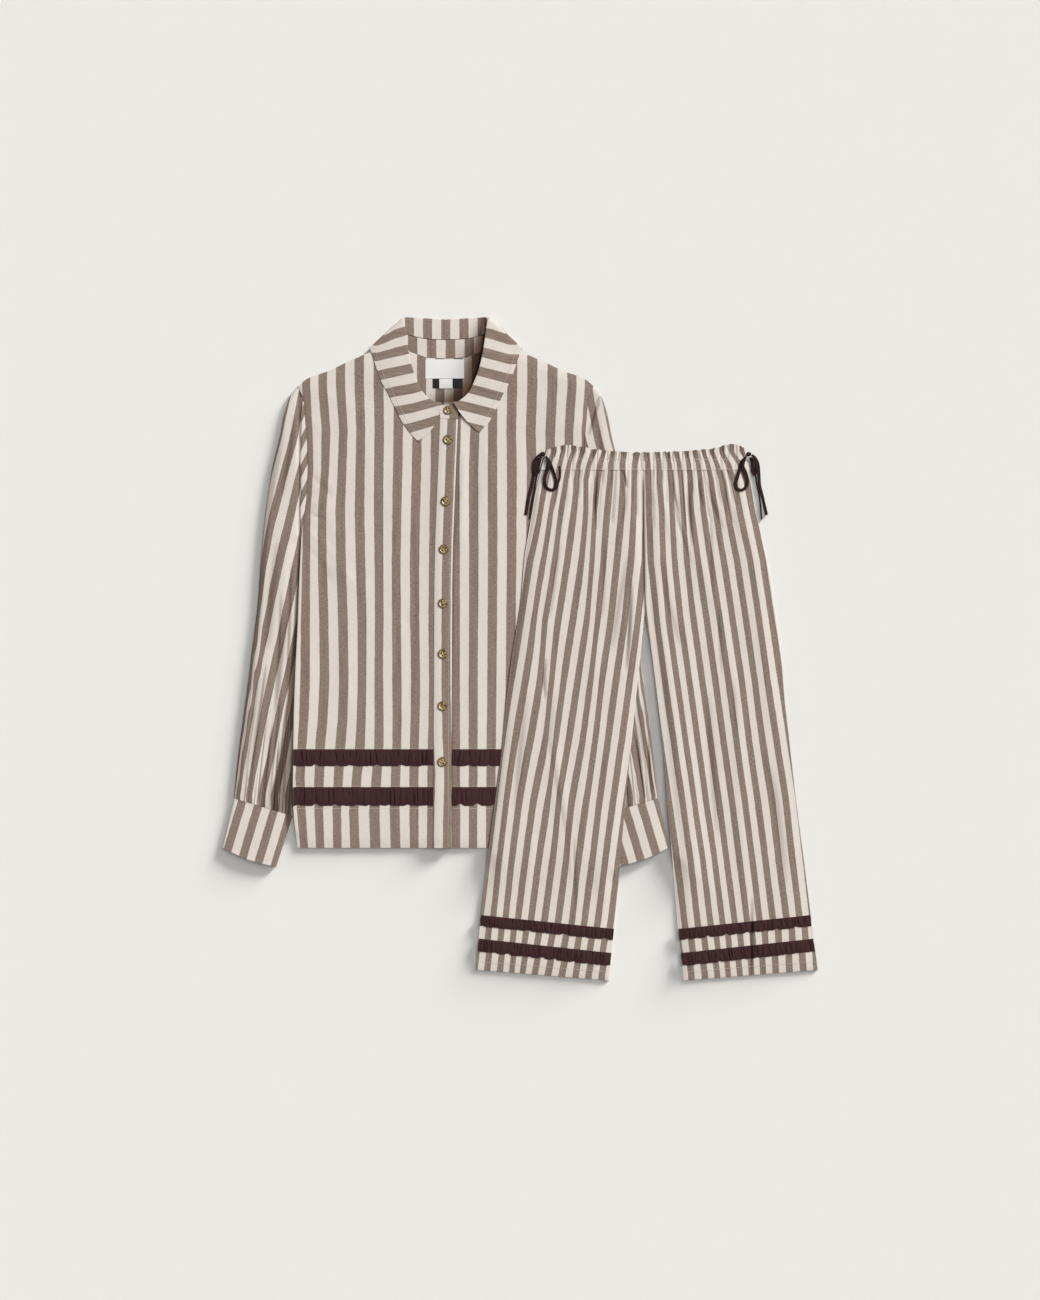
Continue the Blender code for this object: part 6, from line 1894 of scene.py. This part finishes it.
def make_leg_front(word, table, rows):
    """Front panel of one leg, from the waist to the hem. The piece let in between the ruffles
    has its own stripes, a little to one side."""
    plan = leg_plan(table)
    u = stretch((0.008, 2), (0.992, 150), (1.0, 2))
    v = stretch((0.14, 44), (0.997, 130), (1.0, 2))
    xy = plan(u, v)
    x, y = xy[..., 0], xy[..., 1]
    U, V = np.meshgrid(u, v)
    inner, outer = (1.0 - u) * across_leg(xy), u * across_leg(xy)
    seam = {"left": 0.7 * bell(inner, 0.9), "right": 1.2 * bell(inner, 2.6)}
    z = leg_seen(x, y, U, V) - 0.7 * near_edge(plan, u, 0.5 + 0.0 * v, 1.2) - seam[word]
    z = z - 0.8 * bell((1.0 - V) * LEG_LENGTH, 1.4) - edge_drop(word, x, y, outer)
    xy[0, :, 1] += 1.2
    upper = with_height(xy, np.maximum(z, THIN))
    number = stripe_number(rows, x, y) + LET_IN_SHIFT[word] * between_ruffles(x, y, table)
    # painted shade in folds, fading out at the outer edge
    front = add_cloth(f"trouser_front_{word}_cloth", upper, lifted(upper, -THIN),
                      cloth_map(number, y, TROUSER_PITCH), TROUSERING,
                      painted_fold_shade(upper, 3.8, 1.5, leg_painted_shade(x, y, inner)) * smooth(outer / 3.0))
    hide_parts(f"trouser_front_{word}")


def make_leg_back(word, table, rows):
    """Back panel of one leg, which lies on the shirt and the floor."""
    u = np.concatenate([[0.0, 0.008, 0.018], np.linspace(0.03, 1.0, 30)])
    xy = leg_plan(table)(u, np.linspace(0.0, 1.0, 111))
    x, y = xy[..., 0], xy[..., 1]
    low = with_height(xy, trouser_base(x, y) - edge_drop(word, x, y, u * across_leg(xy)))
    back = add_cloth(f"trouser_back_{word}_cloth", lifted(low, THIN + 0.2), low,
                     cloth_map(stripe_number(rows, x, y), y, TROUSER_PITCH), TROUSERING)
    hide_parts(f"trouser_back_{word}")


def leg_top(table):
    """Height of a leg's front at a place on the page: u and v are read back from the edges."""
    def height(x, y):
        u = share_across(x, y, table)
        v = np.clip((WAIST_Y - y) / LEG_LENGTH / (1.0 + (INSIDE_STRETCH - 1.0) * u), 0.0, 1.0)
        return leg_seen(x, y, u, v)
    return height


for facts in (("left", LEFT_LEG, LEFT_LEG_STRIPES), ("right", RIGHT_LEG, RIGHT_LEG_STRIPES)):
    make_leg_front(*facts)
    make_leg_back(*facts)

# %% Leg ruffles
for number, (side_word, table) in enumerate((("left", LEFT_LEG), ("right", RIGHT_LEG))):
    for word, outer, inner, depth in LEG_RUFFLES:
        def round_leg(U, W, table=table, outer=outer, inner=inner, depth=depth):
            """From the outer edge to the inner one, following the hem's slope."""
            down = LEG_LENGTH - (outer + (inner - outer) * U) + depth * W
            return np.stack(leg_place(table, down, 0.005 + 0.99 * U), axis=-1)
        make_ruffle(f"leg_ruffle_{word}_{side_word}_cloth", f"leg_ruffle_{word}_{side_word}",
                    round_leg, leg_top(table), RUFFLE_LINES["leg"],
                    lambda x, y: np.full_like(x, 1.3), 90 + number + (word == "lower") * 5,
                    (0.245, (depth + 1.0) * MM), 0.9, 324.5 if side_word == "right" else None)

# %% Waistband
HEADING_SLITS = 48         # narrow fold lines across the waist's heading
BAND_DOWN = np.array([0.0, 0.03, 0.09, 0.17, 0.26, 0.35, 0.43, 0.475, 0.5, 0.525, 0.58, 0.66,
                      0.76, 0.86, 0.94, 1.0])


def heading_slits(u, v):
    """Narrow fold lines down the waist's heading, from 0 to 1."""
    return fold_lines(u, v, HEADING_SLITS, 75, 0.0031)


def make_waistband():
    """One tube: a soft heading over the stitching, and the elastic's casing under it."""
    seam = [(x, y + 0.4) for x, y in WAIST_SEAM]
    ends = [WAIST_TOP[0], seam[0]], [WAIST_TOP[-1], seam[-1]]
    band = patch(*(lambda t, points=points: rounded(points, t)
                   for points in (WAIST_TOP, seam, *ends)))

    def drawn_up(u, v, x, y):
        """Height across the band: gathers that swell between the rows of stitching, at v = 0.5
        and v = 1, and a thin soft top edge."""
        heading = np.clip(v / 0.5, 0.0, 1.0)
        swell = np.where(v < 0.5, 1.5 - 0.75 * heading ** 2,
                         0.3 + 0.45 * (1.0 - heading * (2.0 * v - 1.0))
                         + 0.45 * np.sin(math.pi * np.clip((v - 0.5) / 0.5, 0.0, 1.0)))
        pinch = 0.14 * bell(v - 0.5, 0.03)
        slits = heading_slits(u, v) * np.clip(1.25 - 1.1 * v, 0.0, 1.0)
        inside = smooth(from_end(u) / 0.02)
        return rounded_rim(u, 0.75) + inside * (swell * waist_gathers(x) - pinch - 2.2 * slits)

    def ruffled(t, v):
        """The band's plan, with its top edge drawn down in the valleys of the gathers."""
        xy = band(t, v)
        fade = np.exp(-v / 0.25)[:, None]
        U, V = np.meshgrid(t, v)
        slits = heading_slits(U, V)
        xy[..., 1] -= fade * (1.3 * (1.0 - waist_gathers(xy[..., 0])) + 1.5 * slits)
        return xy
    u = np.concatenate([[0.0, 0.003], np.linspace(0.01, 0.99, 400), [0.997, 1.0]])
    rings = flat_tube(ruffled, u, np.linspace(0.01, 0.99, 60), BAND_DOWN, trouser_base, drawn_up)
    V = np.linspace(0.0, 1.0, len(BAND_DOWN))[:, None]
    number = leg_numbers(rings[0][:, :len(u), 0], rings[0][:, :len(u), 1])
    # painted shade: the top of each dark stripe in the heading, and lines beside the stripes
    on_dark = smooth((0.3 - np.abs(number - np.round(number))) / 0.08)
    heading = 0.34 * on_dark * smooth((0.42 - V) / 0.3)
    slits = np.maximum(0.95 * stripe_edge_painted_shade(number, 2.0 * V, 79, 0.07),
                       0.8 * stripe_edge_painted_shade(number + 0.56, 2.0 * V, 80, 0.06))
    tube_piece("waistband_cloth", "waistband", rings, leg_numbers, TROUSER_PITCH, TROUSERING,
               (0.80, 0.033), np.maximum(heading, slits))


make_waistband()

# %% [markdown]
# ## Buttons
# Four-hole buttons turned from horn, with a raised rim and a dished middle. The
# profile from the middle of the face to the middle of the back is carried round once, and the
# holes are pits in the face. The map's second number is a pit's depth, and the same function
# paints shade in the holes by it.

# %% Horn
def horn_finish():
    """Mottled brown and honey, glossy, with painted shade in the holes."""
    horn = Recipe("turned_horn")
    place = horn.node("ShaderNodeTexCoord").outputs["Object"]
    parts = horn.node("ShaderNodeSeparateXYZ", {0: horn.node("ShaderNodeUVMap",
                                                             uv_map="Cloth").outputs[0]})
    cloud = horn.spread(horn.noise(horn.stretched(place, (260.0, 170.0, 200.0)), 1.0, 3.0, 0.6),
                        0.36, 0.62)
    body = horn.mix(cloud, (0.10, 0.052, 0.02), (0.62, 0.45, 0.22))
    rim = horn.spread(parts.outputs[0], 0.6, 0.82)
    body = horn.mix(horn.maths("MULTIPLY", rim, 0.8), body, (0.105, 0.062, 0.02))
    # painted shade in the holes, by the pit's depth
    colour = horn.mix(parts.outputs[1], body, (0.012, 0.007, 0.005))
    return horn.look(Base_Color=colour, Roughness=0.28, Specular_IOR_Level=0.5, Coat_Weight=0.3,
                     Coat_Roughness=0.15)


HORN = horn_finish()

# %% Closed rings
def add_rings(name, rings, places, finish):
    """A closed form from rings of points, with its first and last ring closed by small fans
    round a middle point."""
    rows, around = rings.shape[:2]
    index = np.arange(rows * around).reshape(rows, around)
    a, b = index[:-1], index[1:]
    wall = np.stack([a, b, np.roll(b, -1, axis=1), np.roll(a, -1, axis=1)], axis=-1).reshape(-1, 4)
    points = np.concatenate([rings.reshape(-1, 3), rings[:1].mean(axis=1), rings[-1:].mean(axis=1)])
    flat = places.reshape(-1, 2)
    flat = np.concatenate([flat, places[:1].mean(axis=1), places[-1:].mean(axis=1)])
    first, last = rows * around, rows * around + 1
    caps = [(int(index[0, (j + 1) % around]), int(index[0, j]), first) for j in range(around)]
    caps += [(int(index[-1, j]), int(index[-1, (j + 1) % around]), last) for j in range(around)]
    metres = to_metres(points)
    turned = facing_out(metres, wall) is not wall
    faces = wall[:, ::-1].tolist() if turned else wall.tolist()
    faces += [cap[::-1] for cap in caps] if turned else caps
    return add_object(name, add_listed_mesh(name, metres, faces, flat), finish, RING_SHARP)

# %% Buttons
HOLE_OUT, HOLE_WIDE = 0.19, 0.085      # as shares of a button's width


def make_button(number, x, y, z, across, turn):
    """A button by its profile: distance from the middle and height, both from short lists."""
    r = 0.5 * across
    out = np.array([0.01, 0.07, 0.14, 0.2, 0.26, 0.32, 0.38, 0.44, 0.5, 0.56, 0.62, 0.68, 0.74,
                    0.8, 0.86, 0.92, 0.97, 1.0, 0.985, 0.92, 0.8, 0.4, 0.01])
    high = np.array([0.7, 0.7, 0.7, 0.7, 0.7, 0.7, 0.7, 0.71, 0.73, 0.76, 0.81, 0.88, 0.95,
                     1.0, 1.0, 0.95, 0.84, 0.6, 0.36, 0.14, 0.03, 0.0, 0.0]) * BUTTON_THICK
    angle = np.linspace(0.0, 2.0 * math.pi, 56, endpoint=False)
    dx, dy = r * out[:, None] * np.cos(angle), r * out[:, None] * np.sin(angle)
    face = (np.arange(len(out)) < 14)[:, None]
    pit = np.zeros_like(dx)
    for k in range(4):
        a = turn + (k + 0.5) * 0.5 * math.pi
        hx, hy = HOLE_OUT * across * math.cos(a), HOLE_OUT * across * math.sin(a)
        gap = np.hypot(dx - hx, dy - hy) / (HOLE_WIDE * across)
        pit = np.maximum(pit, face * (1.0 - smooth((gap - 0.55) / 0.6)))
    height = high[:, None] - 1.2 * pit
    rings = np.stack([x + dx, y + dy, z + height], axis=-1)
    places = np.stack([np.broadcast_to(out[:, None], dx.shape), pit], axis=-1)
    piece = add_rings(f"button_{number}_horn", rings, places, HORN)
    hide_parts(f"button_{number}")


def button_places():
    """Middle, underside and width of each button: one on the stand and seven on the placket."""
    x, y = STAND_BUTTON
    places = [(x, y, COLLAR_LEFT_END[0][5] + 0.5 * WALL + SEAM, STAND_BUTTON_ACROSS)]
    for y in BUTTON_Y:
        x = SHIRT_X - placket_edge(y) + 0.5 * PLACKET_WIDTH
        X, Y = np.meshgrid(x + BUTTON_ACROSS * np.linspace(-0.4, 0.4, 5),
                           y + BUTTON_ACROSS * np.linspace(-0.4, 0.4, 5))
        places.append((float(x), y, float(band_seen(X, Y).max()) + 0.1, BUTTON_ACROSS))
    return places


BUTTONS = button_places()
for number, (x, y, z, across) in enumerate(BUTTONS, 1):
    make_button(number, x, y, z, across, 0.35 * number)
print("buttons:", len(BUTTONS))

# %% [markdown]
# ## Ties
# A flat tie of the aubergine cloth is knotted at each side seam. Each end and loop is its own
# strand, so its length is known: a flat section is carried along a smooth route, turning a
# little on the way, and cut off square.

# %% Strands
SECTION = 14               # points round a tie
TIE_LOW = 0.1              # least height of a tie over the floor
SHORT_END = 0.03           # metres; a shorter strand is skipped below


def make_strand(name, half, count, route):
    """A tie along its route: at each station the section is an ellipse pressed towards a
    rectangle, half[0] across and half[1] up, with signed cos and sin to the power 0.6."""
    middle = rounded(route, np.linspace(0.0, 1.0, 4 * count))
    ahead = np.gradient(middle, axis=0)
    ahead /= np.linalg.norm(ahead, axis=-1, keepdims=True)
    side = np.cross(ahead, [0.0, 0.0, 1.0])
    side /= np.linalg.norm(side, axis=-1, keepdims=True)
    up = np.cross(side, ahead)
    t = np.linspace(0.0, 1.0, len(middle))
    lean = 0.3 * np.sin(2.0 * math.pi * 1.4 * t + len(name))[:, None]
    side, up = (np.cos(lean) * side + np.sin(lean) * up, np.cos(lean) * up - np.sin(lean) * side)
    angle = np.linspace(0.0, 2.0 * math.pi, SECTION, endpoint=False)
    c, s = (np.sign(f(angle)) * np.abs(f(angle)) ** 0.6 for f in (np.cos, np.sin))
    narrow = 1.0 - 0.25 * bell(t, 0.08)
    rings = (middle[:, None] + half[0] * narrow[:, None, None] * c[None, :, None] * side[:, None]
             + half[1] * s[None, :, None] * up[:, None])
    rings[..., 2] = np.maximum(rings[..., 2], TIE_LOW)  # pressed flat where it lies on the floor
    run = run_of(middle) * MM
    places = np.stack(np.broadcast_arrays(half[0] * MM * angle[None, :], run[:, None]), axis=-1)
    piece = add_rings(f"tie_{name}", rings, places, TIE_CLOTH)
    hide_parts(f"bow_{name}")
    return piece, to_metres(middle), float(run[-1])


def make_knot(side, place):
    """A wrapped knot: an ellipsoid from pole to pole along x, with three soft grooves round it."""
    t = np.linspace(0.02, 0.98, 25)[:, None]
    angle = np.linspace(0.0, 2.0 * math.pi, 28, endpoint=False)[None, :]
    groove = 1.0 - 0.16 * bell(np.sin(1.5 * angle + 2.6 * t), 0.3)
    grown = np.sin(math.pi * t) ** 0.8 * groove
    x = place[0] - KNOT_HALF[0] * np.cos(math.pi * t) + 0.0 * angle
    y = place[1] + KNOT_HALF[1] * grown * np.cos(angle)
    z = place[2] + KNOT_HALF[2] * grown * np.sin(angle)
    places = np.stack(np.broadcast_arrays(0.01 * t, 0.003 * angle), axis=-1)
    knot = add_rings(f"tie_{side}_knot", np.stack([x, y, z], axis=-1), places, TIE_CLOTH)
    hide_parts(f"bow_{side}_knot")
    return knot


knots = {side: make_knot(side, place) for side, place in KNOTS.items()}
for name, (half, count, route) in STRANDS.items():
    piece, path, length = make_strand(name, half, count, route)
    side = name.split("_")[0]
    print(f"tie {name}: {1000.0 * length:.1f} mm")
    if length < SHORT_END:
        continue
    if name.endswith("loop_large") and side == "left":
        LEFT_LOOP = (piece, path, length, half)
        continue
    tuple(path[0])
    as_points(path)
piece, path, length, half = LEFT_LOOP
tuple(path[0])
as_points(path)

# %% [markdown]
# ## Stitching
# Topstitching is what makes a band read as sewn. Each stitch is a small spindle of a few faces,
# and one row of them is a single joined mesh: a template is stretched to every place at once.

# %% One row of stitches
STITCH_LONG, STITCH_GAP, STITCH_THICK = 2.2, 0.8, 0.62


def spindle():
    """Template: two tips and two five-sided rings, along x, as points and faces."""
    angle = np.linspace(0.0, 2.0 * math.pi, 5, endpoint=False)
    ring = np.stack([np.cos(angle), np.sin(angle)], axis=-1)
    points = [(-1.0, 0.0, 0.0)]
    points += [(-0.55, 0.5 * a, 0.5 * b) for a, b in ring]
    points += [(0.55, 0.5 * a, 0.5 * b) for a, b in ring] + [(1.0, 0.0, 0.0)]
    faces = []
    for j in range(5):
        k = (j + 1) % 5
        faces += [(0, 1 + k, 1 + j, 1 + j), (1 + j, 1 + k, 6 + k, 6 + j), (11, 6 + j, 6 + k, 6 + k)]
    return np.array(points), faces


def add_stitches(name, rows):
    """Stitches along several routes of (x, y, z) points, joined in one mesh."""
    template, faces = spindle()
    tris = [f[:3] for f in faces if f[2] == f[3]]
    quads = [f for f in faces if f[2] != f[3]]
    centres, aims = [], []
    for route in rows:
        route = np.asarray(route, float)
        run = run_of(route)
        count = max(int(run[-1] / (STITCH_LONG + STITCH_GAP)), 1)
        at = (np.arange(count) + 0.5) * run[-1] / count
        spots = [np.stack([np.interp(at + step, run, route[:, i]) for i in range(3)], axis=-1)
                 for step in (-1.0, 0.0, 1.0)]
        centres.append(spots[1])
        aims.append(spots[2] - spots[0])
    centres, aims = np.concatenate(centres), np.concatenate(aims)
    aims /= np.linalg.norm(aims, axis=-1, keepdims=True)
    side = np.cross([0.0, 0.0, 1.0], aims)
    side /= np.linalg.norm(side, axis=-1, keepdims=True)
    up = np.cross(aims, side)
    points = (centres[:, None] + 0.5 * STITCH_LONG * template[None, :, :1] * aims[:, None]
              + STITCH_THICK * template[None, :, 1:2] * side[:, None]
              + STITCH_THICK * template[None, :, 2:] * up[:, None]).reshape(-1, 3)
    step = np.arange(len(centres))[:, None, None] * len(template)
    all_faces = (np.array(tris)[None] + step).reshape(-1, 3).tolist()
    all_faces += (np.array(quads)[None] + step).reshape(-1, 4).tolist()
    mesh = add_listed_mesh(name, to_metres(points), all_faces, points[:, :2] * MM)
    add_object(name, mesh, SEWING)
    print(f"{name}: {len(centres)} stitches")


def on(height, x, y, rise=0.12):
    """A route of (x, y, z) points that lies on a surface."""
    x, y = np.broadcast_arrays(np.asarray(x, float), np.asarray(y, float))
    return np.stack([x, y, height(x, y) + rise], axis=-1)

# %% Rows on the shirt
down = np.linspace(NECK_LINE - 3.0, HEM_Y + 2.0, 300)
band_left = SHIRT_X - placket_edge(down)
add_stitches("placket_stitching", [
    on(lambda x, y: band_seen(x, y) - STITCH_SINK, band_left + place, down)
    for place in (STITCH_IN, PLACKET_WIDTH - STITCH_IN)])

HEM_STITCHING = -221.5


def across_fronts(y, rise=0.0):
    """A row of stitches across both fronts, for a seam at y, each from its side to its centre."""
    ends = {True: (-211.0, -placket_edge(y) - 1.0), False: (11.0, 209.0)}
    return [on(lambda x, y, left=left: front_seen(x, y, left),
               np.linspace(SHIRT_X + a, SHIRT_X + b, 120), y + rise)
            for left, (a, b) in ends.items()]


add_stitches("hem_stitching", across_fronts(HEM_STITCHING))
add_stitches("ruffle_stitching",
             [row for _, y_top, _ in SHIRT_RUFFLES for row in across_fronts(y_top, 1.3)])

EDGE_IN = 7.0              # from a collar's edge to its stitching
away = FALL[:, -1] - FALL[:, -6]
away /= np.linalg.norm(away[:, :2], axis=-1, keepdims=True)
leaf = FALL[:, -1] - EDGE_IN * away
shown = COLLAR_STATIONS[:, 11] > 0.9
halves = [leaf[:len(left_rows)][shown[:len(left_rows)]],
          leaf[len(left_rows):][shown[len(left_rows):]]]
add_stitches("collar_stitching", [half + [0.0, 0.0, 1.0] for half in halves])

# %% Rows on the trousers
def band_top(x, y):
    """Upper face of the waistband along its two rows of stitching."""
    return trouser_base(x, y) + LAID_FLAT + 0.75 + 0.35 * waist_gathers(x)


HEM_DEPTH = 12.0           # from the trousers' hem up to its row of stitches
WAIST_ROWS = (267.2, 253.6)            # heights of the waist's rows on the page
across_waist = np.linspace(33.0, 318.0, 300)
add_stitches("waist_stitching", [
    on(band_top, across_waist, WAIST_ROWS[0], 0.1),
    on(band_top, across_waist, WAIST_ROWS[1], 0.0)])

hem_rows = []
for table in (LEFT_LEG, RIGHT_LEG):
    place = leg_place(table, LEG_LENGTH - HEM_DEPTH, np.linspace(0.02, 0.98, 80))
    hem_rows.append(on(leg_top(table), *place))
add_stitches("trouser_hem_stitching", hem_rows)
